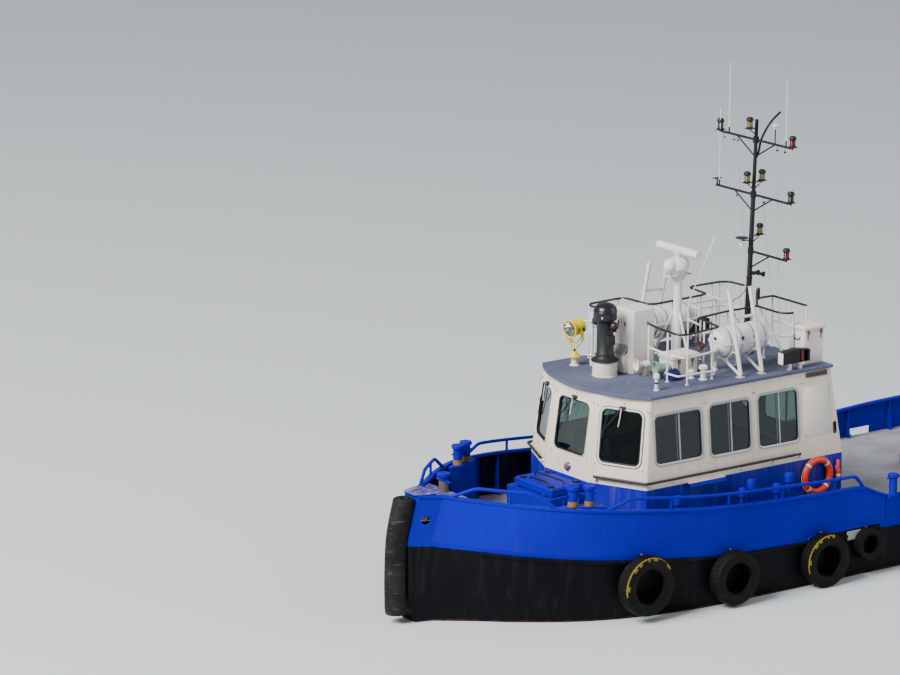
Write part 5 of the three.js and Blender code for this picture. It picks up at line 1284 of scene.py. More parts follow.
# Dull green-grey laminate; black display glass, smooth as a mirror.
console_laminate = plain("console_laminate", "3c4442", 0.5)
screen_glass = plain("display_glass", "0c1418", 0.15, bump=0.0)
desk = Shape()
desk.slab(DESK, -DESK_HALF, DESK_HALF)
for y in (-0.7, 0, 0.7):
    desk.block((3.56, y - 0.19, 2.43), (3.60, y + 0.19, 2.76))
    desk.block((3.552, y - 0.165, 2.47), (3.5605, y + 0.165, 2.735), 1)
for y in (-0.35, 0.35):
    desk.turn([(0, 0), (0.03, 0), (0.03, 0.02), (0.012, 0.03), (0.012, 0.14), (0.02, 0.16), (0, 0.17)],
        (3.42, y, 2.36), (-0.3, 0, 1), 2, 16)
wheel_centre = Vector((3.27, 0, 2.2))


def on_wheel(turn, r):
    return wheel_centre + Vector((0, r * math.cos(turn), r * math.sin(turn)))


desk.hoop([on_wheel(t, 0.19) for t in circle(40)], 0.013, 2)
for turn in circle(3):
    desk.tube([wheel_centre, on_wheel(turn + math.pi / 2, 0.185)], 0.01, 2, 8)
desk.tube([wheel_centre, wheel_centre + Vector((0.06, 0, 0))], 0.025, 2, 12)
piece("helm_console_and_wheel", desk, [console_laminate, screen_glass, black_plastic],
    "dark_plastic", replaces=["helm_console"], edge=0.006)

chair = Shape()
chair.turn([(0, 1.452), (0.24, 1.452), (0.24, 1.47), (0.20, 1.49), (0.05, 1.50), (0.05, 1.98), (0.10, 2.0),
    (0, 2.002)], (2.65, 0, 0))
chair.block((2.44, -0.2, 1.995), (2.86, 0.2, 2.012))
for way in (-1, 1):
    back_post = [(2.46, way * 0.22, 2.0), (2.42, way * 0.22, 2.3), (2.40, way * 0.18, 2.72)]
    chair.tube(bent(back_post, 0.05), 0.014, 0, 10)
piece("helm_chair_frame", chair, [black_plastic], "dark_plastic", replaces=["helm_seat"], edge=0.004)


def cushion(name, low, high, swell):
    """Vinyl cushion: a box remeshed, blown up by cloth pressure and eased back to a cap."""
    box = Shape()
    box.block([v + 0.012 for v in low], [v - 0.012 for v in high])
    made = piece(name, box, [vinyl], "dark_plastic")
    remesh = made.modifiers.new("even_mesh", "REMESH")
    remesh.mode = "VOXEL"
    remesh.voxel_size = 0.012
    base = bpy.data.meshes.new_from_object(made.evaluated_get(bpy.context.evaluated_depsgraph_get()))
    made.modifiers.clear()
    made.data = base
    cloth = made.modifiers.new("blown_up", "CLOTH")
    cloth.settings.use_pressure = True
    cloth.settings.uniform_pressure_force = 4
    cloth.settings.effector_weights.gravity = 0
    for step in range(1, 21):
        bpy.context.scene.frame_set(step)
    blown = bpy.data.meshes.new_from_object(made.evaluated_get(bpy.context.evaluated_depsgraph_get()))
    made.modifiers.clear()
    for old, new in zip(base.vertices, blown.vertices):
        move = new.co - old.co
        new.co = old.co + move * min(1, swell / max(move.length, 1e-6))
    made.data = blown
    bpy.context.scene.frame_set(1)
    made.data.polygons.foreach_set("use_smooth", [True] * len(made.data.polygons))
    smooth = made.modifiers.new("smooth", "SUBSURF")
    smooth.levels = smooth.render_levels = 1


# Grained dark vinyl over foam, softly shiny; its grain is drawn at 8 mm.
vinyl = plain("upholstery_vinyl", "1c2026", 0.45, bump=0.2, grain=120.0)
cushion("helm_seat_cushion", (2.42, -0.235, 2.014), (2.89, 0.235, 2.108), 0.014)
cushion("helm_back_cushion", (2.415, -0.215, 2.22), (2.478, 0.215, 2.75), 0.012)


# Foredeck hatch: a welded trunk as high as the wheelhouse band, with a rubber seal round its mouth
# and a plate lid hinged on its aft edge, held by two bent handles and dogged down at the front.
TRUNK = (4.53, 5.40, 0.68, 2.0)
TRUNK_WALL, LIP = 0.045, 0.135
WELL_FLOOR_Z = 1.42
LID = (4.54, 5.29, 0.585, 2.02, 2.165)
trunk = Shape()
x0, x1, half, top = TRUNK
low_aft, low_fore = edge_at(x0)[1] - 0.02, edge_at(x1)[1] - 0.02
outer = rectangle(x0, -half, x1, half)
inner = rectangle(x0 + TRUNK_WALL, LIP - half, x1 - LIP, half - LIP)


def level_ring(outline, z, z_fore=None):
    """Rounded outline at a height, or sloping with the deck down to another height forward."""
    return [(x, y, z if z_fore is None or x < 5 else z_fore) for x, y in rounded(outline, 0.05)]


trunk.skin([level_ring(outer, low_aft, low_fore), level_ring(outer, top),
    level_ring(inner, top), level_ring(inner, WELL_FLOOR_Z)])
for x in (4.75, 5.1):
    for way in (1, -1):
        trunk.slab(rectangle(x - 0.005, 1.28, x + 0.005, 1.95), way * half - 0.002, way * (half + 0.05))
trunk.hoop(
    [(x, y, top + 0.004) for x, y in rounded(rectangle(4.575, -0.545, 5.265, 0.545), 0.05)], 0.011, 1)
for y in (-0.42, 0.42):
    trunk.tube([(5.32, y, 1.85), (5.335, y, 2.03)], 0.011, 0, 10)
    trunk.tube([(5.335, y - 0.05, 2.035), (5.335, y + 0.05, 2.035)], 0.012, 0, 10)
    trunk.block((4.535, y - 0.06, 1.985), (4.56, y + 0.06, 2.012))
piece("hatch_trunk_plating", trunk, [blue_enamel, glazing_rubber],
    "blue_paint", replaces=["hatch_trunk"], edge=0.005)

lid = Shape()
x0, x1, half, low, top = LID


def hatch_cover(shape, x0, x1, half, levels):
    """Flat cover with rounded corners, in layers that draw in by an inset on their upper side."""
    outline, middle, long = rounded(rectangle(x0, -half, x1, half), 0.04), (x0 + x1) / 2, (x1 - x0) / 2
    for z0, z1, inset in levels:
        upper = [(middle + (x - middle) * (1 - inset / long), y * (1 - inset / half), z1)
            for x, y in outline]
        shape.skin([[(x, y, z0) for x, y in outline], upper])


hatch_cover(lid, x0, x1, half, [(low, top - 0.035, 0), (top - 0.035, top, 0.028)])
HANDLES = [
    # x, half width, rise of each bent handle
    (4.89, 0.45, 0.065),
    (5.13, 0.30, 0.035),
]
for x, reach, rise in HANDLES:
    grip = [(x, -reach, top - 0.01), (x, 0.04 - reach, top + rise),
        (x, reach - 0.04, top + rise), (x, reach, top - 0.01)]
    lid.tube(bent(grip, 0.03), 0.016, 1, 12)
    for y in (-reach, reach):
        lid.turn([(0, 0), (0.03, 0), (0.028, 0.006), (0, 0.007)], (x, y, top - 0.001), sides=16)
for y in (-0.40, 0.45):
    lid.block((5.16, y - 0.05, top - 0.004), (5.25, y + 0.05, top + 0.028), 1)
for y in (-0.42, 0.42):
    lid.block((4.55, y - 0.05, top - 0.004), (4.64, y + 0.05, top + 0.03), 1)
for y in (-0.38, 0.38):
    lid.block((4.545, y - 0.05, top - 0.004), (4.64, y + 0.05, top + 0.012))
    lid.tube([(4.556, y - 0.06, top + 0.012), (4.556, y + 0.06, top + 0.012)], 0.014, 0, 12)
    lid.block((5.25, y - 0.03, low + 0.01), (5.305, y + 0.03, low + 0.03))
piece("foredeck_hatch_plate", lid, [blue_enamel, black_enamel], "blue_paint", body="foredeck_hatch_lid",
    replaces=["hatch_lid"], edge=0.006)


# Magnetic compass on the roof: a white drum base, a black flared skirt and a near-black column
# under a dark dome, with a corrector ball on either side and a small access box. The column is
# weathered fibreglass, the dome smooth and shiny, and one ball's coat has gone brown.
BINNACLE = Vector((3.45, -0.20, ROOF_TOP))
compass_column = plain("compass_column_paint", "131617", 0.5, mottled=0.25)
compass_dome = plain("compass_dome", "120e18", 0.3, bump=0.0)
corrector_dark = plain("corrector_ball_dark", "1b1a22", 0.3)
corrector_brown = plain("corrector_ball_brown", "2c1312", 0.3)
binnacle = Shape()


def by_compass(x, y, z):
    return BINNACLE + Vector((x, y, z))


binnacle.turn([(0, 0.001), (0.243, 0.001), (0.243, 0.012),
    (0.235, 0.02), (0.235, 0.283), (0.228, 0.29), (0, 0.29)], BINNACLE, sides=48)
binnacle.turn([(0, 0.288), (0.262, 0.288), (0.268, 0.296), (0.262, 0.306),
    (0.222, 0.325), (0.187, 0.362), (0.172, 0.41), (0.17, 0.43), (0, 0.43)], BINNACLE, finish=1, sides=48)
binnacle.turn([(0, 0.42), (0.171, 0.42), (0.171, 0.44), (0.164, 0.45), (0.160, 1.02),
    (0.178, 1.06), (0.215, 1.085), (0.222, 1.11), (0.222, 1.235), (0, 1.235)], BINNACLE, finish=2, sides=48)
dome = [(0.228, 1.228), (0.232, 1.24), (0.226, 1.255)]
quarter = [math.pi / 2 * k / 10 for k in range(1, 11)]
dome += [(0.222 * math.cos(t), 1.255 + 0.155 * math.sin(t)) for t in quarter]
binnacle.turn([(0, 1.226)] + dome, BINNACLE, finish=3, sides=48)
BALL_R = 0.085
BALL = [(BALL_R * math.sin(t), -BALL_R * math.cos(t)) for t in [math.pi * k / 14 for k in range(15)]]
for y, finish in ((-0.275, 4), (0.275, 5)):
    binnacle.turn(BALL, by_compass(0, y, 1.0), finish=finish, sides=32)
    binnacle.block(by_compass(-0.03, 0.5 * y - 0.04, 0.895), by_compass(0.03, y + 0.04, 0.915), 1)
binnacle.block(by_compass(-0.07, 0.12, 0.62), by_compass(0.08, 0.215, 0.80), 2)
binnacle.block(by_compass(-0.06, 0.215, 0.63), by_compass(0.07, 0.222, 0.79), 2)
binnacle.turn([(0, 0), (0.02, 0), (0.017, 0.008), (0, 0.01)],
    by_compass(0.175, 0.125, 1.15), (0.8, 0.6, 0), sides=16)
for turn in circle(8):
    binnacle.turn([(0, 0), (0.012, 0), (0.01, 0.008), (0, 0.009)],
        by_compass(0.235 * math.cos(turn), 0.235 * math.sin(turn), 0.301), finish=6, sides=8)
piece("magnetic_compass", binnacle, [white_enamel, black_enamel, compass_column, compass_dome,
    corrector_dark, corrector_brown, rusty_bolt], "hull_black_paint", replaces=["binnacle"], crease=40)


# Searchlight: a yellow drum lamp in a fork of two bent flat bars, which turns on a cone over a
# short white post. Its glass is bevelled, over a mirror bowl with the lamp in it.
LIGHT_AT = Vector((3.45, -1.13, ROOF_TOP))
LIGHT_FACE = Vector((0.96, 0.16, -0.08)).normalized()
LIGHT_SIDE = LIGHT_FACE.cross(Vector((0, 0, 1))).normalized()
LAMP_Z = 0.74
# Yellow enamel, sun-bleached and grimy; silvered reflector; clear glass.
yellow_enamel = enamel("yellow_enamel", "d8c01c", "d8b818", runs=0.45, stain="4b4433", roughness=0.4)
mirror_bowl = plain("mirror_bowl", "d8dadc", 0.08, 1.0, bump=0.0)
lamp_glass = plain("lamp_glass", "e8f0f0", 0.05, bump=0.0, Transmission_Weight=1.0)
light_post = Shape()
light_post.turn([(0, 0.001), (0.095, 0.001), (0.095, 0.012),
    (0.062, 0.02), (0.058, 0.17), (0, 0.17)], LIGHT_AT)
light_post.turn([(0, 0.165), (0.118, 0.165), (0.12, 0.18), (0.105, 0.195), (0.06, 0.24), (0.045, 0.275),
    (0, 0.275)], LIGHT_AT, finish=1)
light_post.turn([(0, 0.27), (0.022, 0.27), (0.022, 0.34), (0, 0.34)], LIGHT_AT, finish=2)
piece("searchlight_stand", light_post, [white_enamel, yellow_enamel, black_plastic],
    "white_paint", replaces=["searchlight_post"], crease=40)
light = Shape()
lamp_at = LIGHT_AT + Vector((0, 0, LAMP_Z))
drum = [(0.145, -0.16), (0.15, -0.155), (0.15, 0.11), (0.17, 0.115),
    (0.178, 0.125), (0.178, 0.15), (0.172, 0.156), (0.155, 0.156), (0.15, 0.14), (0.148, 0.10)]
light.turn([(0, -0.162)] + drum + [(0.1, 0.0), (0.05, -0.08), (0, -0.1)], lamp_at, LIGHT_FACE, 0, 40)
light.turn([(0.147, 0.135), (0.1, -0.005), (0.05, -0.078), (0.0, -0.095)], lamp_at,
    LIGHT_FACE, 1, 40, False)
light.turn([(0, 0.132), (0.151, 0.132), (0.151, 0.138), (0, 0.14)], lamp_at, LIGHT_FACE, 2, 40)
light.turn([(0, -0.08), (0.03, -0.08), (0.028, 0.03), (0.02, 0.05), (0, 0.055)], lamp_at, LIGHT_FACE, 3, 20)
light.turn([(0.151, -0.05), (0.156, -0.05), (0.156, -0.03), (0.151, -0.03)], lamp_at, LIGHT_FACE, 0, 40)
flat = LIGHT_FACE * 0.02
for reach, drop in ((0.205, 0.40), (0.172, 0.30)):
    line = [LIGHT_SIDE * reach + Vector((0, 0, 0.03)), LIGHT_SIDE * reach - Vector((0, 0, drop * 0.55)),
        LIGHT_SIDE * 0.05 - Vector((0, 0, drop)), -LIGHT_SIDE * 0.05 - Vector((0, 0, drop)),
        -LIGHT_SIDE * reach - Vector((0, 0, drop * 0.55)), -LIGHT_SIDE * reach + Vector((0, 0, 0.03))]
    rings = []
    for i, p in enumerate(line):
        thick = (p - Vector((0, 0, -0.1))).normalized() * 0.006
        rings.append([lamp_at + p + flat + thick, lamp_at + p - flat + thick,
            lamp_at + p - flat - thick, lamp_at + p + flat - thick])
    light.skin(rings)
for way in (1, -1):
    light.turn([(0, 0.145), (0.02, 0.145), (0.02, 0.214), (0.032, 0.216), (0.032, 0.235), (0, 0.236)],
        lamp_at, LIGHT_SIDE * way, 3, 16)
piece("searchlight_lamp", light, [yellow_enamel, mirror_bowl, lamp_glass, black_plastic],
    "yellow_paint", replaces=["searchlight"], crease=40)
cross_post = Shape()
POST_AT = Vector((3.2, -0.92, 3.931))
cross_post.tube([POST_AT, POST_AT + Vector((0, 0, 1.04))], 0.035, 0, 16)
for z in (0.20, 0.86):
    for turn in (0.5, 2.1):
        way = Vector((math.cos(turn), math.sin(turn), 0)) * 0.17
        cross_post.tube([POST_AT + Vector((0, 0, z)) - way,
            POST_AT + Vector((0, 0, z)) + way], 0.014, 0, 10)
cross_post.tube([POST_AT + Vector((0, 0, 0.55)), POST_AT + Vector((-0.12, -0.2, 0))], 0.014, 0, 10)
piece("roof_cross_post", cross_post, [white_enamel], "white_paint")


# Ventilator casing and lockers: moulded white boxes bolted to the roof. The casing is chamfered,
# with a seam a quarter of the way down, latches, a sloping ledge and a handle on top.
# Moulded white plastic with a low sheen, greyed by soot.
moulded_white = enamel("moulded_white_plastic", "dcd7d0", "cdc6bf",
    runs=0.35, stain="8c8378", roughness=0.38)
CASING_AT = (2.72, -0.23)
casing_box = Shape()


def chamfered(x, y, long, wide, cut):
    a, b = long / 2, wide / 2
    return [(x + u, y + v) for u, v in ((a, -b + cut), (a, b - cut), (a - cut, b),
        (-a + cut, b), (-a, b - cut), (-a, -b + cut), (-a + cut, -b), (a - cut, -b))]


x, y = CASING_AT
rings = []
for inset, z in ((0.0, 3.931), (0.0, 4.86), (0.006, 4.866),
        (0.006, 4.874), (0.0, 4.88), (0.0, 5.11), (0.012, 5.14), (0.045, 5.158), (0.09, 5.162)):
    rings.append([(p, q, z) for p, q in chamfered(x, y, 0.62 - 2 * inset, 0.56 - 2 * inset, 0.075)])
casing_box.skin(rings)
casing_box.skin([[(x + 0.308, y - 0.20, z1), (x + 0.308, y + 0.20, z1), (x + 0.308 + out, y + 0.20, z0),
    (x + 0.308 + out, y - 0.20, z0)] for z0, z1, out in ((4.30, 4.47, 0.10), (4.29, 4.46, 0.10))], 2)
casing_box.slab([(x + 0.305, 3.95), (x + 0.40, 3.95), (x + 0.402, 4.29), (x + 0.305, 4.33)],
    y - 0.195, y + 0.195)
for side in ((x + 0.312, y + 0.1), (x + 0.312, y - 0.1)):
    casing_box.block((side[0] - 0.01, side[1] - 0.012, 4.83), (side[0] + 0.012, side[1] + 0.012, 4.91), 1)
casing_box.block((x - 0.1, y + 0.278, 4.83), (x - 0.075, y + 0.292, 4.91), 1)
casing_box.tube(bent([(x + 0.1, y - 0.16, 5.155), (x + 0.1, y - 0.16, 5.26),
    (x + 0.1, y - 0.28, 5.26), (x + 0.1, y - 0.275, 5.10)], 0.02), 0.012, 0, 10)
for dx in (-0.2, 0.05, 0.2):
    casing_box.turn([(0, 0), (0.012, 0), (0.009, 0.01), (0, 0.011)],
        (x + dx, y + 0.16, 5.158), finish=1, sides=10)
piece("ventilator_casing", casing_box, [moulded_white, rusty_bolt, grey_enamel],
    "white_paint", replaces=["vent_casing"], edge=0.006)

LOCKERS = [
    # name, replaced node, centre x and y, length, breadth, height
    ("deck_locker_box", "deck_locker", 2.25, 0.52, 0.62, 0.42, 0.42),
    ("roof_locker_box", "roof_locker", -0.38, 1.16, 0.48, 0.43, 0.74),
]
for name, node_name, x, y, long, wide, high in LOCKERS:
    box = Shape()
    outline = rectangle(x - long / 2, y - wide / 2, x + long / 2, y + wide / 2)
    body_high = high - 0.06
    for grow, z0, z1, drop in ((0.0, 0.001, body_high, 0.0), (0.025, body_high - 0.015, high, 0.02)):
        rings = []
        for inset, z in ((0.006, z0), (0.0, z0 + 0.006), (0.0, z1 - drop - 0.006), (drop + 0.004, z1)):
            ring = rounded(outline, 0.035)
            scale_x = (long / 2 + grow - inset) / (long / 2)
            scale_y = (wide / 2 + grow - inset) / (wide / 2)
            rings.append([(x + (p - x) * scale_x, y + (q - y) * scale_y, ROOF_TOP + z) for p, q in ring])
        box.skin(rings)
    for dx in (-0.16, 0.16):
        box.block((x + dx - 0.02, y + wide / 2 + 0.002, ROOF_TOP + body_high - 0.1),
            (x + dx + 0.02, y + wide / 2 + 0.03, ROOF_TOP + body_high - 0.02), 1)
        box.block((x + dx - 0.014, y + wide / 2 + 0.001, ROOF_TOP + body_high - 0.2),
            (x + dx + 0.014, y + wide / 2 + 0.006, ROOF_TOP + body_high - 0.1), 1)
    if high > 0.5:
        for side in (1, -1):
            at = x + side * (long / 2 + 0.003)
            box.tube([(at, y - 0.09, 4.46), (at + side * 0.02, y - 0.06, 4.40),
                (at + side * 0.022, y + 0.06, 4.40), (at, y + 0.09, 4.46)], 0.009, 2, 8)
    piece(name, box, [moulded_white, rusty_bolt, black_plastic],
        "white_paint", replaces=[node_name], edge=0.004)


# Small roof gear on the port side: trumpet horn, pale green deck lamp and its crumpled blue cover,
# two mushroom ventilators, the whistle on the roof's edge, a round speaker and a beacon.
# Hammered paint of a pale sea green; stiff faded canvas with a coarse weave drawn at 6 mm; and
# brown speaker paint.
lamp_green = plain("hammered_green_paint", "7d9c88", 0.4)
cover_blue = plain("canvas_cover", "141c5c", 0.85, bump=0.4, grain=180.0)
speaker_brown = plain("speaker_paint", "3a1a1a", 0.5)
small_gear = Shape()
HORN, GREEN, COVER, BLACKED, SPEAKER = range(5)
horn_at, horn_way = Vector((2.86, 0.24, 4.14)), Vector((0.95, -0.18, 0.0)).normalized()
small_gear.turn([(0.03, 0.06), (0.10, 0.165), (0.112, 0.175), (0.118, 0.168), (0.10, 0.13),
    (0.062, 0.08), (0.058, 0.0), (0.07, -0.01), (0.07, -0.10), (0, -0.105)], horn_at, horn_way, HORN, 28)
small_gear.turn([(0.03, 0.06), (0, 0.058)], horn_at, horn_way, BLACKED, 28)
small_gear.block(horn_at + Vector((-0.05, -0.03, -0.208)), horn_at + Vector((0.02, 0.03, -0.05)), HORN)
green_at, green_way = Vector((2.79, 0.58, 4.12)), Vector((0.95, -0.30, 0.0)).normalized()
small_gear.turn([(0.0, -0.06), (0.10, -0.05), (0.128, 0.05), (0.132, 0.07), (0.145, 0.07), (0.145, 0.04),
    (0.12, 0.0), (0.105, -0.05), (0.09, -0.07), (0.09, -0.20), (0.075, -0.23), (0, -0.235)],
    green_at, green_way, GREEN, 32)
small_gear.turn([(0.0, -0.05), (0.03, -0.05), (0.02, -0.01), (0, -0.008)], green_at, green_way, HORN, 16)
small_gear.block(green_at + Vector((-0.10, -0.04, -0.188)), green_at + Vector((-0.02, 0.04, -0.08)), GREEN)
COVER_FOLDS = [(0.19, 0.0), (0.20, 0.04), (0.17, 0.10), (0.12, 0.16), (0.07, 0.185), (0.02, 0.19)]
folds = []
for spread, up in COVER_FOLDS:
    ring = []
    for turn in circle(32):
        crease = 1 + 0.10 * math.sin(3 * turn + up * 30) + 0.05 * math.sin(7 * turn + 1.0)
        x, y = 2.62 + spread * crease * math.cos(turn), 0.82 + 0.62 * spread * crease * math.sin(turn)
        ring.append((x, y, 3.932 + up * (1 + 0.15 * math.sin(2 * turn + 0.6))))
    folds.append(ring)
small_gear.skin(folds, COVER)
for x, y, r, high in ((2.15, 1.14, 0.085, 0.29), (2.27, 0.93, 0.07, 0.17), (3.38, 1.27, 0.06, 0.33)):
    small_gear.turn([(0, 0.001), (r * 0.95, 0.001), (r * 0.95, 0.012),
        (r * 0.6, 0.02), (r * 0.6, high * 0.7), (r, high * 0.72), (r * 1.05, high * 0.78),
        (r * 0.9, high * 0.93), (r * 0.5, high), (0, high)], (x, y, ROOF_TOP), finish=HORN, sides=28)
small_gear.turn([(0.037, 0.13), (0.043, 0.13), (0.043, 0.16), (0.037, 0.16)],
    (3.38, 1.27, ROOF_TOP), finish=BLACKED, sides=24)
small_gear.turn([(0, -0.06), (0.05, -0.06), (0.07, -0.02), (0.10, 0.03), (0.105, 0.055), (0.095, 0.055),
    (0.05, 0.02), (0, 0.03)], (1.77, 0.60, 4.42), (1, 0, 0), SPEAKER, 28)
beacon_at = Vector((1.773, 1.0, 4.22))
small_gear.turn([(0, 0), (0.06, 0), (0.07, 0.02), (0.07, 0.14),
    (0.078, 0.15), (0.078, 0.19), (0.07, 0.195)], beacon_at, finish=GREEN, sides=24)
small_gear.turn([(0, 0.15), (0.074, 0.195), (0.074, 0.215), (0.066, 0.25), (0.03, 0.27), (0, 0.272)],
    beacon_at, finish=HORN, sides=24)
small_gear.tube([beacon_at - Vector((0, 0, 0.28)), beacon_at + Vector((0, 0, 0.01))], 0.016, HORN, 10)
piece("small_roof_gear", small_gear, [white_enamel, lamp_green, cover_blue, black_plastic, speaker_brown],
    "white_paint", crease=40)


# Side lights: long black boxes with a ridged lid, on two short white feet at the roof's edges. The
# lamp stands in a recess open outboard, and a white plate closes the forward end.
# Dark red and green lamp glass, smooth and shiny.
lamp_red = plain("red_lamp_glass", "5a0c0c", 0.1, bump=0.0)
lamp_lime = plain("green_lamp_glass", "0b3f22", 0.1, bump=0.0)
SIDE_LIGHT_X, SIDE_LIGHT_Y, BOX_HALF = 0.22, 1.5, 0.335
BOX_LOW, BOX_SIDE, BOX_PEAK = 4.06, 4.29, 4.335
LAMP_BAY = (-0.29, -0.08)
for side, way, lens in (("port", 1, lamp_red), ("starboard", -1, lamp_lime)):
    box = Shape()
    x, y = SIDE_LIGHT_X, way * SIDE_LIGHT_Y
    box.slab([(x - BOX_HALF, BOX_LOW), (x + BOX_HALF, BOX_LOW), (x + BOX_HALF, BOX_SIDE),
        (x, BOX_PEAK), (x - BOX_HALF, BOX_SIDE)], y - way * 0.075, y - way * 0.055)
    box.slab([(x - BOX_HALF, BOX_LOW), (x + LAMP_BAY[0], BOX_LOW),
        (x + LAMP_BAY[0], BOX_SIDE + 0.006), (x - BOX_HALF, BOX_SIDE)], y - way * 0.056, y + way * 0.074)
    box.slab([(x + LAMP_BAY[1], BOX_LOW), (x + BOX_HALF, BOX_LOW), (x + BOX_HALF, BOX_SIDE),
        (x, BOX_PEAK - 0.001), (x + LAMP_BAY[1], BOX_PEAK - 0.012)], y - way * 0.056, y + way * 0.074)
    box.slab([(x + LAMP_BAY[0] - 0.001, BOX_LOW + 0.001), (x + LAMP_BAY[1] + 0.001, BOX_LOW + 0.001),
        (x + LAMP_BAY[1] + 0.001, BOX_LOW + 0.015), (x + LAMP_BAY[0] - 0.001, BOX_LOW + 0.015)],
        y - way * 0.056, y + way * 0.07)
    box.slab([(x + LAMP_BAY[0] - 0.001, BOX_SIDE - 0.012), (x + LAMP_BAY[1] + 0.001, BOX_SIDE + 0.01),
        (x + LAMP_BAY[1] + 0.001, BOX_PEAK - 0.013), (x + LAMP_BAY[0] - 0.001, BOX_SIDE + 0.004)],
        y - way * 0.056, y + way * 0.07)
    box.turn([(0, BOX_LOW + 0.014), (0.05, BOX_LOW + 0.014), (0.05, BOX_SIDE - 0.01), (0, BOX_SIDE - 0.01)],
        (x + sum(LAMP_BAY) / 2, y, 0), finish=1, sides=24)
    box.block((x + BOX_HALF, y - 0.072, BOX_LOW + 0.004),
        (x + BOX_HALF + 0.006, y + 0.072, BOX_SIDE - 0.004), 2)
    for dx in (-0.14, 0.12):
        box.turn([(0, 0.001), (0.052, 0.001), (0.048, 0.01), (0.045, 0.122), (0.05, 0.13), (0, 0.131)],
            (x + dx, y, ROOF_TOP), finish=2, sides=20)
    piece("side_light_" + side + "_box", box, [black_enamel, lens, white_enamel],
        "hull_black_paint", replaces=["side_light_" + side], edge=0.003)


# Liferafts: white moulded canisters in two halves joined on a flange and strapped down. Each lies
# in two tube frames, whose tall posts stand outboard of it on the roof's edge and lean inwards.
RAFTS = [
    # side, way out, canister centre, x of the frames' feet, lean in x, y of foot and top, top z
    ("port", 1, (1.07, 0.88, 4.52), (1.47, 0.95), 0.08, 1.42, 1.12, 5.57),
    ("starboard", -1, (1.22, -1.17, 4.50), (1.60, 1.15), -0.20, -1.585, -1.45, 5.60),
]
RAFT_R, RAFT_HALF = 0.285, 0.575
FRAME_R, STRUT_R = 0.04, 0.028
CROSSBAR_Z = 5.04
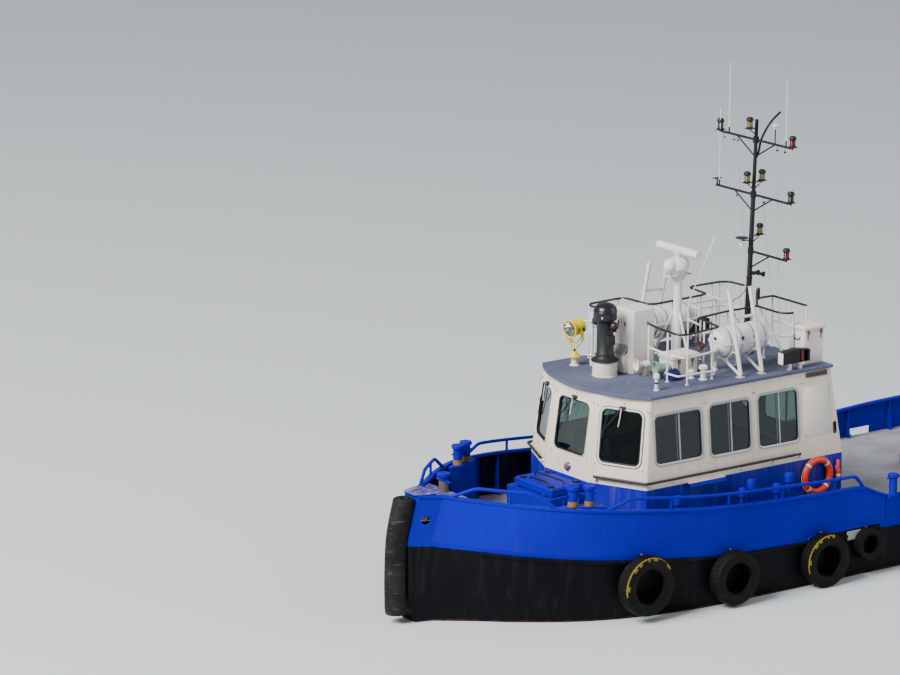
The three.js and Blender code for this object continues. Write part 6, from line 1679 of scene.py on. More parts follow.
# Gel-coated white plastic, faintly rose with age; blue-grey woven webbing.
raft_plastic = enamel("raft_canister_plastic", "e0d9dc", "d0c8cf",
    runs=0.25, stain="9b8f88", roughness=0.35)
strap_web = plain("strap_webbing", "5d5c80", 0.8, bump=0.3)
RAFT = [(0, -RAFT_HALF), (0.19, -RAFT_HALF), (0.225, -RAFT_HALF + 0.02), (0.275, -RAFT_HALF + 0.085),
    (RAFT_R, -RAFT_HALF + 0.12), (RAFT_R, -0.27), (RAFT_R - 0.007, -0.26), (RAFT_R - 0.007, -0.235),
    (RAFT_R, -0.225), (RAFT_R, 0)]
RAFT += [(r, -h) for r, h in reversed(RAFT[:-1])]
for side, way, centre, feet_x, lean, foot_y, top_y, top_z in RAFTS:
    middle = Vector(centre)
    raft = Shape()
    raft.turn(RAFT, middle, (1, 0, 0), 0, 48)
    flange = [(middle.x + x, middle.y + y)
        for x, y in rounded(rectangle(-RAFT_HALF, -0.31, RAFT_HALF, 0.31), 0.12)]
    raft.prism(flange, middle.z - 0.012, middle.z + 0.012)
    for shift in (-0.42, -0.15, 0.15, 0.42):
        raft.turn([(RAFT_R + 0.001, -0.009), (RAFT_R + 0.005, -0.008), (RAFT_R + 0.005, 0.008),
            (RAFT_R + 0.001, 0.009)], middle + Vector((shift, 0, 0)), (1, 0, 0), 1, 48, False)
    for shift in (-0.15, 0.15):
        raft.block(middle + Vector((shift - 0.02, way * 0.29 - 0.02, 0.06)),
            middle + Vector((shift + 0.02, way * 0.29 + 0.02, 0.12)), 2)
    raft.turn([(0, 0), (0.03, 0), (0.03, 0.03), (0, 0.032)],
        middle + Vector((RAFT_HALF - 0.005, 0, 0.08)), (1, 0, 0), 2, 16)
    piece("liferaft_" + side + "_canister", raft, [raft_plastic, strap_web, black_plastic],
        "white_grp", replaces=["liferaft_" + side], crease=30)

    cradle = Shape()
    inner_y = middle.y - way * 0.21
    tops = []
    for x in feet_x:
        foot, top = Vector((x, foot_y, 3.975)), Vector((x + lean, top_y, top_z))
        tops.append((foot, top))
        cradle.tube([foot, top], FRAME_R, 0, 16)
        cradle.turn([(0, 0), (FRAME_R + 0.004, 0), (FRAME_R + 0.004, 0.012), (0, 0.014)],
            top - Vector((0, 0, 0.006)), top - foot, 0, 16)
        cradle.block((x - 0.06, foot_y - 0.075, 3.931), (x + 0.06, foot_y + 0.055, 3.946))
        cradle.slab(rectangle(x - 0.01, 3.94, x + 0.01, 4.03), foot_y - 0.07, foot_y + 0.03)
        for dx, dy in ((-0.04, -0.05), (0.04, -0.05), (-0.04, 0.03), (0.04, 0.03)):
            cradle.turn([(0, 0), (0.012, 0), (0.01, 0.012), (0, 0.013)],
                (x + dx, foot_y + dy, 3.944), finish=1, sides=6)
        under = middle.z - RAFT_R - STRUT_R - 0.003
        strut_end = Vector((x, middle.y, under))
        cradle.tube([Vector((x, foot_y - way * 0.02, 3.967)), strut_end], STRUT_R, 0, 14)
        cradle.tube([strut_end + Vector((0, way * 0.02, 0)), Vector((x, inner_y, under))], STRUT_R, 0, 14)
        cradle.tube([Vector((x, inner_y, 3.933)), Vector((x, inner_y, under + 0.015))], STRUT_R, 0, 14)
        cradle.turn([(0, 0), (0.055, 0), (0.055, 0.012), (0, 0.013)], (x, inner_y, 3.931), sides=20)
        arc = [middle + Vector((x - middle.x, (RAFT_R + 0.022) * math.sin(t),
            -(RAFT_R + 0.022) * math.cos(t))) for t in np.radians(np.linspace(-62, 62, 15))]
        cradle.tube(arc, 0.017, 0, 10)
        lash = arc[-1 if way > 0 else 0]
        share = (lash.z - foot.z) / (top.z - foot.z)
        cradle.tube([lash, foot.lerp(top, share)], 0.014, 0, 8)
    ends = [foot.lerp(top, (CROSSBAR_Z - foot.z) / (top.z - foot.z)) for foot, top in tops]
    cradle.tube(ends, STRUT_R, 0, 14)
    cradle.tube([Vector((x, middle.y, under)) for x in feet_x], STRUT_R, 0, 10)
    piece("raft_cradle_" + side + "_frames", cradle, [white_enamel, rusty_bolt],
        "white_paint", replaces=["raft_cradle_" + side], crease=40)


# Roof rails: white tube with a black plastic sleeve on the hand rail, set in steps round the gear,
# on posts welded to foot plates on the roof.
RAIL_R, POST_R = 0.018, 0.018
SLEEVE_R = 0.022
RAIL_SETS = [
    # name, sleeved hand rails, bare rails, each with its z and (x, y) points or (x, y, z) points,
    # then the posts by the height of their tops
    ("roof_rail_port",
     [(4.90, [(2.72, 0.20), (2.80, 0.64), (2.83, 1.15), (2.76, 1.26), (2.62, 1.29), (1.80, 1.15),
              (1.66, 0.37), (0.85, 0.26), (0.12, 0.26), (0.10, 0.22, 5.20), (-0.06, 0.10, 5.20),
              (-0.09, 0.06, 4.97), (-0.30, -0.13, 4.93), (-0.60, -0.13, 4.93), (-0.60, 0.88, 4.93)]),
      (4.90, [(0.12, 0.26), (0.13, 0.90), (0.03, 1.06), (-0.09, 1.08)])],
     [(4.45, [(2.72, 0.20), (2.80, 0.88), (2.73, 1.24), (2.62, 1.28), (1.98, 1.18)]),
      (4.15, [(2.81, 0.88), (2.97, 1.02), (2.95, 1.37), (2.05, 1.40), (1.98, 1.18)]),
      (4.45, [(0.13, 0.50), (0.12, 0.90), (0.03, 1.06), (-0.09, 1.08)]),
      (4.45, [(-0.60, -0.13), (-0.60, 0.88)])],
     [(4.90, [(2.72, 0.20), (2.81, 0.88), (2.66, 1.285), (1.98, 1.18), (1.70, 0.60), (0.85, 0.26),
              (0.126, 0.50), (-0.09, 1.08), (-0.60, -0.13, 4.93), (-0.60, 0.40, 4.93),
              (-0.60, 0.88, 4.93)])]),
    ("roof_rail_starboard",
     [(4.97, [(2.90, -1.05), (2.90, -1.38), (2.80, -1.49), (2.10, -1.53), (1.95, -1.44), (1.92, -0.86),
              (1.80, -0.76), (0.60, -0.82), (0.45, -0.88), (0.40, -1.42), (0.30, -1.50), (-0.40, -1.50),
              (-0.56, -1.40), (-0.60, -0.98)])],
     [(4.50, [(2.90, -1.05), (2.90, -1.38), (2.80, -1.49), (2.10, -1.53), (1.95, -1.44), (1.92, -0.90)]),
      (4.50, [(0.42, -1.20), (0.40, -1.42), (0.30, -1.50), (-0.40, -1.50), (-0.56, -1.40), (-0.60, -0.98)]),
      (4.90, [(0.31, -0.41), (0.37, -0.66), (1.11, -0.60), (1.22, -0.08)]),
      (4.60, [(0.31, -0.41), (0.37, -0.66), (1.11, -0.60), (1.22, -0.08)]),
      (4.90, [(0.37, -0.66), (0.45, -0.88, 4.97)])],
     [(4.97, [(2.90, -1.05), (2.85, -1.44), (2.10, -1.528), (1.921, -0.90), (1.35, -0.78), (0.62, -0.818),
              (0.42, -1.20), (-0.22, -1.50), (-0.40, -1.50), (-0.59, -1.15), (-0.60, -0.98),
              (0.37, -0.66, 4.90), (1.11, -0.60, 4.90), (1.216, -0.10, 4.90)])]),
]


def at_height(z, points):
    return [tuple(p) if len(p) == 3 else (p[0], p[1], z) for p in points]


for name, sleeved, bare, posts in RAIL_SETS:
    rail = Shape()
    for routes, r, finish, sides in ((sleeved, SLEEVE_R, 1, 14), (bare, RAIL_R, 0, 12)):
        for z, route in routes:
            rail.tube(bent(at_height(z, route), 0.05), r, finish, sides)
    for x, y, top in at_height(*posts[0]):
        rail.tube([(x, y, 3.933), (x, y, top - 0.004)], POST_R, 0, 12)
        rail.turn([(0, 0.001), (0.04, 0.001), (0.038, 0.01), (0.022, 0.014), (0, 0.016)],
            (x, y, ROOF_TOP), sides=18)
    if name == "roof_rail_starboard":
        # rod aerial lashed aslant to the middle rail
        rail.tube([(1.11, -0.60, 4.93), (0.48, -0.60, 6.16)], 0.009, 0, 8)
    piece(name + "_tubes", rail, [white_enamel, black_plastic], "white_paint", replaces=[name], crease=45)


# Mast: a black steel tube that leans a little forward at its foot, with two legs, three yards on
# knee braces, a bent gaff, and the navigation lanterns, whip aerials and horns on brackets.
MAST_FOOT, MAST_TOP = Vector((0.16, 0, 3.932)), Vector((0, 0, 8.5))
YARDS = [
    # z, reach to port and to starboard
    (8.09, 1.05, 1.05),
    (7.03, 1.09, 1.09),
    (5.93, 1.04, 0.0),
]
YARD_R, BRACE_R = 0.024, 0.015
BRACE_DROP, BRACE_REACH = 0.33, 0.55
GAFF = [(-0.005, 0, 7.74), (-0.06, 0, 7.86), (-0.11, 0, 8.06),
    (-0.23, 0, 8.26), (-0.39, 0, 8.43), (-0.58, 0, 8.56)]
RED, LIME, AMBER = 1, 2, 3
LANTERNS = [
    # x from the mast's line, y, z of the base plate, lens
    (0.17, 0.0, 8.33, AMBER),
    (0.0, -1.06, 8.12, LIME),
    (0.0, 1.07, 8.12, RED),
    (0.0, 1.10, 7.06, LIME),
    (0.0, 1.05, 5.96, RED),
    (0.17, 0.0, 7.28, AMBER),
    (-0.20, 0.0, 7.28, AMBER),
    (-0.21, 0.0, 6.23, AMBER),
]
LANTERN_CABLE = [(0.03, 0, -0.01), (0.06, 0.01, -0.08),
    (0.01, 0.02, -0.13), (-0.05, 0.01, -0.09), (-0.03, 0.0, -0.02)]
WHIPS = [
    # y, foot and top z
    (-0.80, 8.09, 9.46),
    (0.88, 8.09, 9.38),
    (-1.02, 7.03, 8.56),
]


def mast_line(z, dx=0.0, dy=0.0, dz=0.0):
    """Point on the mast's leaning middle line at a height, or at an offset from there."""
    return MAST_FOOT.lerp(MAST_TOP, (z - MAST_FOOT.z) / (MAST_TOP.z - MAST_FOOT.z)) + Vector((dx, dy, dz))


# Lantern lenses, dark until lit, with a sheen like glass; and the halyards' grey braided line.
lens_red = plain("red_lens", "5c0c14", 0.15, bump=0.0)
lens_lime = plain("green_lens", "12291f", 0.15, bump=0.0)
lens_clear = plain("clear_lens", "6b6030", 0.15, bump=0.0)
halyard_line = plain("halyard_line", "8d8a86", 0.8)
mast = Shape()
mast.turn([(0, 0.0), (0.15, 0.0), (0.15, 0.014), (0.075, 0.02), (0, 0.021)],
    (MAST_FOOT.x, 0, 3.931), sides=32)
for turn in circle(6):
    mast.turn([(0, 0), (0.016, 0), (0.016, 0.012), (0, 0.013)],
        (MAST_FOOT.x + 0.122 * math.cos(turn), 0.122 * math.sin(turn), 3.944), sides=6)
mast.tube([mast_line(z) for z in (3.94, 5.4, 5.42, 7.0, 7.02, 8.48)],
    [0.062, 0.055, 0.05, 0.044, 0.038, 0.034], 0, 20)
mast.turn([(0, 0), (0.036, 0), (0.030, 0.014), (0, 0.02)], mast_line(8.47), sides=20)
for y in (-0.43, 0.43):
    mast.tube([(-0.40, y, 3.95), mast_line(5.2, 0, y * 0.07)], 0.024, 4, 14)
    mast.turn([(0, 0), (0.06, 0), (0.06, 0.012), (0, 0.013)], (-0.40, y, 3.931), finish=4, sides=20)
for z in (5.41, 7.01):
    mast.turn([(0, -0.02), (0.060, -0.02), (0.060, 0.02), (0, 0.02)],
        mast_line(z), MAST_TOP - MAST_FOOT, 0, 24)
for z, to_port, to_starboard in YARDS:
    centre = mast_line(z)
    mast.tube([mast_line(z, 0, -to_starboard), mast_line(z, 0, to_port)], YARD_R, 0, 14)
    for way, reach in ((1, to_port), (-1, to_starboard)):
        if not reach:
            continue
        mast.tube([mast_line(z - BRACE_DROP), mast_line(z, 0, way * BRACE_REACH, -0.01)], BRACE_R, 0, 10)
        mast.turn([(0, 0), (YARD_R + 0.003, 0), (YARD_R + 0.003, 0.012), (0, 0.013)],
            mast_line(z, 0, way * reach), (0, way, 0), 0, 14)
    mast.turn([(0, -0.06), (0.058, -0.06), (0.058, 0.06), (0, 0.06)], centre, MAST_TOP - MAST_FOOT, 0, 24)
mast.tube(fine_rows(np.array(GAFF), 5), 0.022, 0, 14)
for dx, y, z, lens in LANTERNS:
    foot = mast_line(z, dx, y)
    if y == 0:
        # bracket of flat bar with a knee under it
        mast.block((min(foot.x, mast_line(z).x), -0.02, z - 0.02),
            (max(foot.x, mast_line(z).x), 0.02, z - 0.008))
        mast.tube([foot - Vector((0, 0, 0.015)), mast_line(z - 0.16)], 0.011, 0, 8)
    else:
        mast.tube([mast_line(z - 0.04, 0, y), foot], 0.016, 0, 10)
    mast.block(foot + Vector((-0.085, -0.06, -0.008)), foot + Vector((0.085, 0.06, 0.0)))
    mast.turn([(0, 0), (0.075, 0), (0.075, 0.008), (0.062, 0.022), (0.052, 0.03), (0, 0.031)],
        foot, sides=28)
    ribs = [(0.052, 0.03)]
    for k in range(9):
        ribs += [(0.057, 0.036 + k * 0.012), (0.053, 0.042 + k * 0.012)]
    mast.turn([(0, 0.029)] + ribs + [(0, 0.15)], foot, finish=lens, sides=28)
    mast.turn([(0, 0.146), (0.060, 0.146), (0.074, 0.152),
        (0.076, 0.168), (0.064, 0.184), (0.060, 0.20), (0.05, 0.212), (0, 0.216)], foot, sides=28)
    cable = np.array([tuple(foot + Vector(p)) for p in LANTERN_CABLE])
    mast.tube(fine_rows(cable, 5), 0.005, 4, 6)
for y, z0, z1 in WHIPS:
    foot, base, joint = (mast_line(z0, 0, y, up) for up in (0, 0.115, 0.26))
    mast.tube([foot, mast_line(z0, 0, y, 0.12)], 0.015, 0, 10)
    mast.tube([base, joint, (foot.x, foot.y, z1)], [0.012, 0.009, 0.006], 4, 10)
# upstand with a flat plate on the second yard's starboard end, and the mushroom aerial's rod
stand = mast_line(7.03, 0, -1.085)
mast.tube([stand, stand + Vector((0, 0, 0.13))], 0.016, 0, 10)
mast.block(stand + Vector((-0.09, -0.05, 0.13)), stand + Vector((0.09, 0.05, 0.14)))
rod = mast_line(8.09, 0, 0.56)
mast.tube([rod, rod + Vector((0, 0, 0.31))], 0.012, 0, 10)
mast.turn([(0, 0.30), (0.018, 0.30), (0.018, 0.33), (0.05, 0.345), (0.06, 0.365), (0.05, 0.385), (0, 0.40)],
    rod, finish=4, sides=24)
# small disc aerial on the mast's fore side, with its round junction box under it
disc = mast_line(6.20, 0.20, -0.04)
mast.tube([mast_line(6.14), disc - Vector((0, 0, 0.05))], 0.012, 0, 10)
mast.turn([(0, -0.03), (0.035, -0.03), (0.12, -0.004), (0.13, 0.006), (0.12, 0.014), (0, 0.02)],
    disc, finish=5, sides=32)
mast.turn([(0, -0.17), (0.035, -0.165), (0.045, -0.13), (0.035, -0.095), (0, -0.09)],
    disc, finish=4, sides=24)
# pair of trumpet horns on the aft side
for way in (1, -1):
    bell = mast_line(5.5, -0.08, way * 0.05)
    point_to = Vector((-0.96, way * 0.15, -0.22)).normalized()
    mast.turn([(0, 0), (0.022, 0), (0.018, 0.05), (0.022, 0.13),
        (0.05, 0.21), (0.056, 0.215), (0.048, 0.20), (0.016, 0.12), (0, 0.10)], bell, point_to, 0, 20)
mast.block(mast_line(5.5, -0.09, -0.09, -0.03), mast_line(5.5, -0.02, 0.09, -0.005))
for y, z in ((-0.95, 8.09), (-0.66, 8.09), (-0.55, 8.09), (0.62, 8.09), (0.84, 8.09),
        (-0.5, 7.03), (0.3, 7.03)):
    # halyard blocks hung under the yards
    hook = mast_line(z, 0, y, -0.02)
    mast.tube([hook, hook - Vector((0, 0, 0.06))], 0.004, 0, 6)
    mast.turn([(0, -0.02), (0.016, -0.02), (0.02, 0), (0.016, 0.02), (0, 0.022)],
        hook - Vector((0.01, 0, 0.085)), (1, 0, 0), 6 if y < 0 else 0, 12)
cable = [(0.11, 0.03, 5.30), (0.14, -0.20, 5.02), (0.16, -0.42, 4.86),
    (0.13, -0.38, 4.60), (0.12, -0.15, 4.35), (0.14, -0.09, 3.96)]
mast.tube(fine_rows(np.array(cable), 5), 0.008, 5, 8)
piece("mast_tube_and_lanterns", mast, [black_enamel, lens_red, lens_lime,
    lens_clear, white_enamel, compass_dome, rusty_bolt], "hull_black_paint", replaces=["mast"], crease=40)
halyards = Shape()
for y, z, end in ((-0.55, 8.05, (-0.3, -0.35, 4.0)), (0.62, 8.05, (-0.4, 0.35, 4.0)),
        (0.3, 7.0, (-0.38, 0.25, 4.0))):
    top_end = mast_line(z, 0, y, -0.07)
    halyards.tube([top_end, top_end.lerp(Vector(end), 0.5) + Vector((0, 0, -0.05)), end], 0.0035, 0, 6)
piece("flag_halyards", halyards, [halyard_line], "white_paint")


# Radar: a white steel pole on three legs carries the turning unit's housing, with its motor pod
# forward of it. The aerial above is a closed bar that turns on a short neck.
POLE_X, POLE_TOP_Z = 1.87, 5.716
POLE_R = 0.08
pole = Shape()
pole.turn([(0, 0.001), (0.18, 0.001), (0.18, 0.016), (0.10, 0.02), (0.086, 0.06), (POLE_R, 0.08),
    (POLE_R, POLE_TOP_Z - ROOF_TOP), (0, POLE_TOP_Z - ROOF_TOP)], (POLE_X, 0, ROOF_TOP), sides=32)
for x, y in ((POLE_X + 0.32, -0.45), (POLE_X, 0.42), (POLE_X - 0.40, -0.15)):
    pole.tube([(x, y, 3.945), (POLE_X + (x - POLE_X) * 0.12, y * 0.12, 5.01)], 0.026, 0, 14)
    pole.turn([(0, 0), (0.055, 0), (0.055, 0.012), (0, 0.013)], (x, y, 3.931), sides=20)
plate = [(POLE_X + x, y)
    for x, y in rounded([(-0.25, -0.15), (0.29, -0.10), (0.29, 0.10), (-0.25, 0.15)], 0.03)]
pole.prism(plate, POLE_TOP_Z - 0.016, POLE_TOP_Z)
for turn in circle(4):
    out = Vector((math.cos(turn + math.pi / 4), math.sin(turn + math.pi / 4), 0))
    side = Vector((-out.y, out.x, 0)) * 0.006
    gusset = [Vector((POLE_X, 0, POLE_TOP_Z - 0.016)) + out * r - Vector((0, 0, h))
        for r, h in ((0.07, 0), (0.17, 0), (0.07, 0.14))]
    pole.skin([[p + side for p in gusset], [p - side for p in gusset]])
for x, y in ((0.22, 0.07), (0.22, -0.07), (-0.20, 0.11), (-0.20, -0.11)):
    pole.turn([(0, 0), (0.016, 0), (0.016, 0.014), (0, 0.015)],
        (POLE_X + x, y, POLE_TOP_Z - 0.001), finish=1, sides=6)
housing = [(0, 0.0), (0.135, 0.0), (0.15, 0.014), (0.165, 0.055), (0.20, 0.10), (0.21, 0.12), (0.21, 0.135),
    (0.205, 0.215), (0.17, 0.28), (0.11, 0.315), (0.085, 0.325), (0.06, 0.33), (0.06, 0.374), (0, 0.374)]
pole.turn(housing, (POLE_X, 0, POLE_TOP_Z), finish=2, sides=40)
pod_at = Vector((POLE_X + 0.06, 0, POLE_TOP_Z + 0.185))
pod = [(0, 0.0), (0.12, 0.0), (0.13, 0.05), (0.13, 0.15)]
pod += [(0.13 * math.cos(t), 0.15 + 0.11 * math.sin(t)) for t in [math.pi / 2 * k / 8 for k in range(1, 9)]]
pole.turn(pod, pod_at, (1, 0, 0), 2, 36)
pole.turn([(0, 0.0), (0.11, 0.0), (0.13, 0.14), (0.125, 0.235), (0, 0.24)],
    pod_at - Vector((0, 0, 0.005)), (-1, 0, 0), 2, 32)
for dy, dz in ((0.10, 0.02), (-0.10, 0.02), (0.02, -0.12)):
    pole.turn([(0, 0), (0.011, 0), (0.009, 0.008), (0, 0.009)],
        pod_at + Vector((0.17, dy * 1.1, dz)), (1, dy, dz), 1, 8)
piece("radar_pole_and_housing", pole, [white_enamel, rusty_bolt, moulded_white],
    "white_paint", replaces=["radar_pole"], crease=35)
SCANNER_HALF, SCANNER_Z = 0.60, 6.185
scanner = Shape()
section = [(0.080 * math.cos(t), 0.079 * math.sin(t)) for t in circle(32)]
rings = []
for y, scale in ((-SCANNER_HALF, 0.86), (-SCANNER_HALF + 0.006, 0.95), (-SCANNER_HALF + 0.02, 1.0),
        (SCANNER_HALF - 0.02, 1.0), (SCANNER_HALF - 0.006, 0.95), (SCANNER_HALF, 0.86)):
    rings.append([(POLE_X + a * scale, y, SCANNER_Z + b * scale) for a, b in section])
scanner.skin(rings)
for way in (1, -1):
    scanner.turn([(0.078, 0.0), (0.0815, 0.002), (0.0815, 0.012), (0.078, 0.014)],
        (POLE_X, way * (SCANNER_HALF - 0.055), SCANNER_Z), (0, way, 0), 0, 32, False)
scanner.turn([(0, 0), (0.07, 0), (0.072, 0.01), (0.06, 0.03), (0, 0.031)], (POLE_X, 0, 6.098), sides=28)
scanner.block((POLE_X - 0.05, -0.09, 6.108), (POLE_X + 0.05, 0.09, 6.125))
piece("radar_aerial_bar", scanner, [moulded_white], "white_paint", body="radar_aerial",
    replaces=["radar_scanner"], crease=35)


# Lifebuoys on the wheelhouse sides: orange plastic rings with four white bands and a grab line,
# each in a pair of hooks, with an upright float light beside the port one.
BUOY_AT = (-0.13, 1.843, 1.85)
BUOY_R, BUOY_TUBE = 0.31, 0.062
# Blow-moulded plastic with a faint pebbling drawn at 11 mm; silver-white tape; fluffy grab line.
buoy_orange = plain("lifebuoy_plastic", "d0300c", 0.45, mottled=0.15, bump=0.1, grain=90.0)
reflective_tape = plain("reflective_tape", "d6cfc6", 0.35, mottled=0.1)
grab_line = plain("grab_line", "b8ada0", 0.85, bump=0.3)
for side, way in (("port", 1), ("starboard", -1)):
    buoy = Shape()
    x, y, z = BUOY_AT
    middle = Vector((x, way * y, z))
    on_buoy = lambda t, reach=BUOY_R: middle + reach * Vector((math.cos(t), 0, math.sin(t)))
    buoy.hoop([on_buoy(t) for t in circle(72)], BUOY_TUBE, 0, 20)
    for k in range(4):
        band = [math.pi / 4 + math.pi / 2 * k + 0.019 * s * math.pi for s in np.linspace(-1, 1, 7)]
        buoy.tube([on_buoy(t) for t in band], BUOY_TUBE + 0.0025, 1, 20)
        start = math.pi / 4 + math.pi / 2 * k
        loop = []
        for s in np.linspace(0, 1, 13):
            reach = BUOY_R + BUOY_TUBE + 0.008 + 0.012 * math.sin(s * math.pi)
            loop.append(on_buoy(start + s * math.pi / 2, reach))
        buoy.tube(loop, 0.005, 2, 6)
    for dx in (-0.18, 0.18):
        hook_line = [(x + dx, way * (1.776 + out), 1.585 + up)
            for out, up in ((0, 0), (0.06, -0.012), (0.134, 0.0), (0.14, 0.05))]
        buoy.tube(hook_line, 0.008, 3, 8)
    if way > 0:
        light = Vector((-0.66, 1.83, 1.72))
        buoy.turn([(0, 0), (0.044, 0), (0.05, 0.02), (0.05, 0.16),
            (0.042, 0.18), (0.036, 0.2), (0.036, 0.34), (0.02, 0.362), (0, 0.364)], light, sides=20)
        buoy.turn([(0.0501, 0.04), (0.0515, 0.045), (0.0515, 0.085), (0.0501, 0.09)],
            light, finish=1, sides=20)
        buoy.block(light + Vector((-0.02, -0.055, 0.03)), light + Vector((0.02, -0.03, 0.24)), 3)
        buoy.turn([(0, -0.04), (0.10, -0.04), (0.115, -0.02), (0.115, 0.02), (0.10, 0.04), (0, 0.04)],
            (-0.735, 1.66, 1.60), (0, 1, 0), 4, 28)
    piece("lifebuoy_" + side + "_ring", buoy, [buoy_orange, reflective_tape,
        grab_line, galvanised, black_plastic], "lifebuoy_plastic", replaces=["lifebuoy_" + side], crease=40)


# Towing gear on the after deck: a plated post with jaws that hold the swinging tow hook by its
# pin, and a cross-barred towing bitt near the stern.
TOW_X, HOOK_Z = -1.5, 1.9
BITT_X, BITT_HALF = -6.0, 0.52
tow_post = Shape()
deck_z = edge_at(TOW_X)[1]
tow_post.block((TOW_X - 0.21, -0.26, deck_z - 0.01), (TOW_X + 0.21, 0.26, deck_z + 0.06))
tow_post.block((TOW_X - 0.14, -0.11, deck_z + 0.05), (TOW_X + 0.14, 0.11, HOOK_Z - 0.105))
for way in (1, -1):
    gusset = [(TOW_X - 0.08, deck_z + 0.055), (TOW_X + 0.08, deck_z + 0.055),
        (TOW_X + 0.04, 1.45), (TOW_X - 0.04, 1.45)]
    tow_post.slab(gusset, way * 0.105, way * 0.24)
jaw = [(TOW_X + x, y)
    for x, y in rounded([(-0.14, -0.10), (0.13, -0.105), (0.13, 0.105), (-0.14, 0.10)], 0.07)]
for low in (HOOK_Z - 0.115, HOOK_Z + 0.065):
    tow_post.prism(jaw, low, low + 0.05, 1)
tow_post.block((TOW_X - 0.02, -0.11, HOOK_Z - 0.115), (TOW_X + 0.14, 0.11, HOOK_Z + 0.115))
tow_post.turn([(0, -0.135), (0.045, -0.135), (0.05, -0.115),
    (0.032, -0.115), (0.032, 0.115), (0.055, 0.115), (0.055, 0.145), (0.04, 0.155), (0, 0.155)],
    (TOW_X - 0.08, 0, HOOK_Z), finish=1, sides=24)
# Forged steel scoured by its work: dark, half bright, with pits drawn at 17 mm.
hook_steel = plain("worn_hook_steel", "4a4542", 0.5, 0.6, mottled=0.3, bump=0.3, grain=60.0)
piece("towing_post_and_jaws", tow_post, [blue_enamel, hook_steel],
    "blue_paint", replaces=["towing_post"], edge=0.006)
HOOK = [(-60, -45), (-60, 45), (-480, 70), (-650, 40), (-720, -90),
    (-670, -215), (-540, -240), (-520, -165), (-600, -130), (-600, -30), (-480, -10), (-400, -45)]
hook = Shape()
hook_outline = rounded([(TOW_X - 0.02 + x / 1000, y / 1000) for x, y in HOOK], 0.016, 3)

rings = []
for z, inset in ((1.845, 0.012), (1.857, 0.0), (1.943, 0.0), (1.955, 0.012)):
    moved = []
    count = len(hook_outline)
    for i, (x, y) in enumerate(hook_outline):
        before, after = Vector(hook_outline[i - 1]), Vector(hook_outline[(i + 1) % count])
        ahead = (after - before).normalized()
        moved.append((x + ahead.y * inset, y - ahead.x * inset, z))
    rings.append(moved)
hook.skin(rings)
hook.turn([(0, 0), (0.034, 0), (0.034, 0.01), (0, 0.012)], (TOW_X - 0.52, 0.03, 1.954), sides=16)
piece("tow_hook_forging", hook, [hook_steel], "hook_steel",
    body="tow_hook", replaces=["towing_hook"], crease=40)
bitt = Shape()
foot = edge_at(BITT_X)[1]
for y in (-BITT_HALF, BITT_HALF):
    bitt.turn([(0, -0.01), (0.2, -0.01), (0.2, 0.012), (0.135, 0.016), (0.13, 0.02), (0.13, 0.71),
        (0.155, 0.715), (0.165, 0.725), (0.165, 0.748), (0.155, 0.76), (0, 0.76)],
        (BITT_X, y, foot), sides=36)
    bitt.turn([(0.131, 0.32), (0.1315, 0.32), (0.1315, 0.44), (0.131, 0.44)], (BITT_X, y, foot),
        finish=1, sides=36, ends=False)
    knee = [(BITT_X + 0.25, foot + 0.005), (BITT_X - 0.12, foot + 0.005), (BITT_X - 0.12, foot + 0.06),
        (BITT_X + 0.1, foot + 0.4)]
    bitt.slab(knee, y - 0.01, y + 0.01)
bitt.turn([(0, -0.85), (0.075, -0.85), (0.085, -0.84), (0.085, 0.84), (0.075, 0.85), (0, 0.85)],
    (BITT_X, 0, foot + 0.48), (0, 1, 0), 0, 28)
for y in (-0.78, 0.78):
    bitt.turn([(0.085, -0.006), (0.115, -0.006), (0.115, 0.006), (0.085, 0.006)], (BITT_X, y, foot + 0.48),
        (0, 1, 0), 0, 28, False)
piece("towing_bitt_posts", bitt, [blue_enamel, chafed_steel],
    "blue_paint", replaces=["towing_bitt"], edge=0.004)


# Engine room hatch on the after deck: a low coaming and a plate cover hinged on its fore edge.
ENGINE_HATCH_X = -4.8
hatch = Shape()
foot = edge_at(ENGINE_HATCH_X)[1] - 0.01
outer = rounded(rectangle(-5.3, -0.48, -4.3, 0.48), 0.05)
inner = [(ENGINE_HATCH_X + (x - ENGINE_HATCH_X) * 0.955, y * 0.91) for x, y in outer]
hatch.skin([[(x, y, z) for x, y in line] for line, z in ((outer, foot), (outer, 1.04),
    (inner, 1.04), (inner, foot + 0.02))])
hatch.hoop([(ENGINE_HATCH_X + (x - ENGINE_HATCH_X) * 0.975, y * 0.95, 1.044) for x, y in outer], 0.008, 1)
for y in (-0.3, 0.3):
    hatch.block((-4.305, y - 0.05, 0.98), (-4.27, y + 0.05, 1.052))
piece("engine_hatch_coaming_plate", hatch, [blue_enamel, glazing_rubber],
    "blue_paint", replaces=["engine_hatch_coaming"], edge=0.004)
cover = Shape()
hatch_cover(cover, -5.325, -4.275, 0.505, [(1.06, 1.108, 0.0), (1.108, 1.12, 0.012)])
for y in (-0.3, 0.3):
    cover.tube([(-4.285, y - 0.05, 1.122), (-4.285, y + 0.05, 1.122)], 0.011, 1, 12)
    cover.block((-4.38, y - 0.04, 1.118), (-4.285, y + 0.04, 1.128))
cover.tube(bent([(-5.14, -0.11, 1.118), (-5.14, -0.11, 1.165), (-5.14, 0.11, 1.165), (-5.14, 0.11, 1.118)],
    0.03), 0.01, 1, 12)
piece("engine_hatch_plate", cover, [deck_paint, galvanised],
    "deck_grey_paint", body="engine_hatch_cover", replaces=["engine_hatch_lid"], edge=0.004)


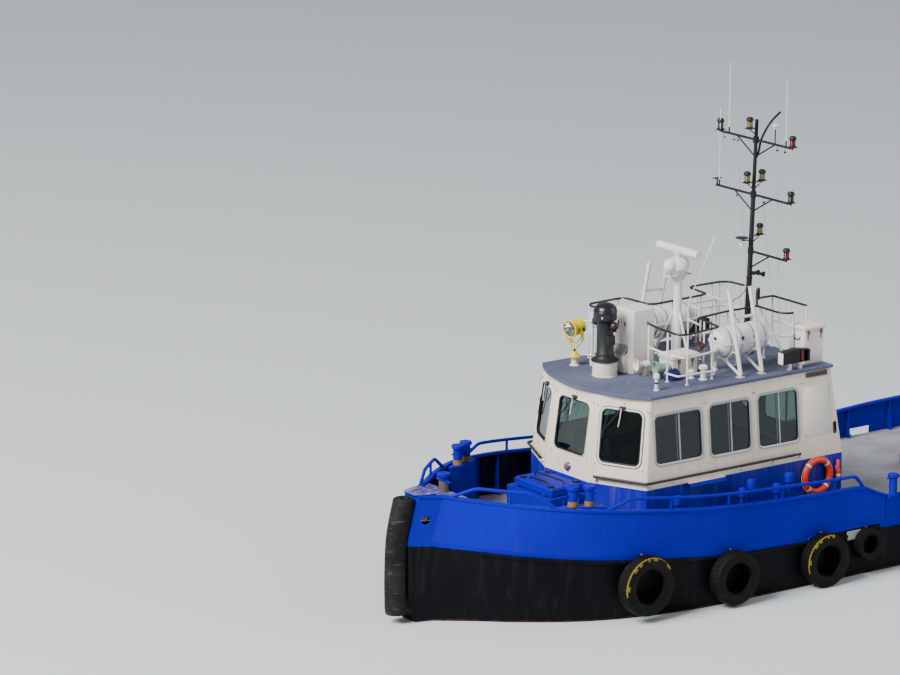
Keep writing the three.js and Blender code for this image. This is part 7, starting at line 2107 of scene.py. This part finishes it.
# Under the stern: two propeller shafts in struts, each with a four-bladed bronze propeller, and a
# plate rudder behind each on its own stock.
# Cast bronze kept bright as it turns, with a sandy skin drawn at 25 mm; drawn shaft steel; and
# red-brown antifouling, matt and a little slimed.
cast_bronze = plain("cast_bronze", "8a6a35", 0.35, 1.0, mottled=0.25, bump=0.1, grain=40.0)
shaft_steel = plain("shaft_steel", "6d6f70", 0.35, 0.9)
antifouling_paint = enamel("antifouling_paint", ANTIFOULING,
    "5b332b", runs=0.4, stain="2e241d", roughness=0.75)
SHAFT_Z, PROPELLER_X = -1.15, -6.5
STOCK_R, RUDDER_LOW, RUDDER_TOP = 0.055, -1.70, -0.62
BLADE = [
    # radius, pitch angle, chord, thickness
    (0.075, 52, 0.15, 0.030),
    (0.14, 46, 0.18, 0.026),
    (0.21, 40, 0.21, 0.021),
    (0.29, 34, 0.222, 0.017),
    (0.36, 29, 0.215, 0.014),
    (0.42, 26, 0.19, 0.011),
    (0.47, 23, 0.15, 0.009),
    (0.505, 21, 0.095, 0.007),
    (0.52, 21, 0.045, 0.005),
]
HUB = [(0, -0.19), (0.06, -0.19), (0.07, -0.185), (0.105, -0.09),
    (0.112, -0.01), (0.11, 0.06), (0.085, 0.11), (0.06, 0.145), (0.03, 0.162), (0, 0.165)]
for side, way in (("port", 1), ("starboard", -1)):
    y = way * SHAFT_Y
    shaft = Shape()
    shaft.turn([(0, 0), (0.055, 0), (0.055, 3.30), (0, 3.30)], (-6.302, y, SHAFT_Z), (1, 0, 0), 0, 28)
    shaft.turn([(0.056, -6.2), (0.095, -6.2), (0.105, -6.19),
        (0.105, -5.95), (0.095, -5.94), (0.056, -5.94)], (0, y, SHAFT_Z), (1, 0, 0), 1, 32, False)
    shaft.turn([(0.056, -6.21), (0.08, -6.21), (0.08, -6.19), (0.056, -6.19)],
        (0, y, SHAFT_Z), (1, 0, 0), 2, 32, False)
    for spread in (0.42, -0.42):
        top_end, low_end = Vector((-6.07, y + spread, -0.30)), Vector(
            (-6.07, y + spread * 0.19, SHAFT_Z + 0.06))
        section = [(0.10 * math.cos(t), 0.026 * math.sin(t)) for t in circle(20)]
        down = (low_end - top_end).normalized()
        flat_way = down.cross(Vector((1, 0, 0))).normalized()
        shaft.skin([[p + Vector((1, 0, 0)) * a + flat_way * b for a, b in section]
            for p in (top_end, low_end)], 1)
    piece("shaft_" + side + "_and_struts", shaft, [shaft_steel, antifouling_paint, glazing_rubber],
        "bronze", replaces=["shaft_and_bracket_" + side], crease=40)

    screw = Shape()
    centre = Vector((PROPELLER_X, y, SHAFT_Z))
    screw.turn(HUB, centre, (-1, 0, 0), 0, 36)
    for angle in circle(4):
        up = Vector((0, math.cos(angle + math.pi / 4), math.sin(angle + math.pi / 4)))
        across = Vector((-1, 0, 0)).cross(up)
        rings = []
        for r, pitch, chord, thick in BLADE:
            a = math.radians(pitch)
            along = Vector((-1, 0, 0)) * math.sin(a) + across * math.cos(a) * way
            normal = along.cross(up)
            ring = []
            for t in circle(24):
                s = math.cos(t)
                camber = 0.045 * chord * (1 - s * s)
                ring.append(centre + up * r + along * (chord / 2 * s)
                    + normal * (thick / 2 * math.sin(t) + camber))
            rings.append(ring)
        screw.skin(rings)
    piece("propeller_" + side + "_casting", screw, [cast_bronze],
        "bronze", body=side + "_propeller", replaces=["propeller_" + side], crease=50)

    rudder = Shape()
    rudder.turn([(0, -1.6), (STOCK_R, -1.6), (STOCK_R, -0.44), (0, -0.44)], (RUDDER_X, y, 0), sides=28)
    rings = []
    for z in (RUDDER_LOW, RUDDER_LOW + 0.01, RUDDER_TOP - 0.01, RUDDER_TOP):
        share = (z - RUDDER_LOW) / (RUDDER_TOP - RUDDER_LOW)
        fore, aft = -7.23 + 0.04 * share, -7.94 + 0.10 * share
        full = 0.5 if z in (RUDDER_LOW, RUDDER_TOP) else 1.0
        ring = []
        for t in circle(40):
            s = 0.5 - 0.5 * math.cos(t)
            half_thick = 0.035 * (3.0 * math.sqrt(s) * (1 - s) ** 0.9 / 1.16 + 0.08) * full
            out = math.copysign(half_thick, math.sin(t)) if abs(math.sin(t)) > 1e-9 else 0.0
            ring.append((fore + (aft - fore) * s, y + out, z))
        rings.append(ring)
    rudder.skin(rings)
    for z in (-0.95, -1.35):
        rudder.slab([(RUDDER_X + 0.12, z - 0.02), (-7.78, z - 0.012),
            (-7.78, z + 0.012), (RUDDER_X + 0.12, z + 0.02)], y - 0.034, y + 0.034)
    piece("rudder_" + side + "_blade", rudder, [antifouling_paint],
        "hull_black_paint", body=side + "_rudder", replaces=["rudder_" + side], crease=40)
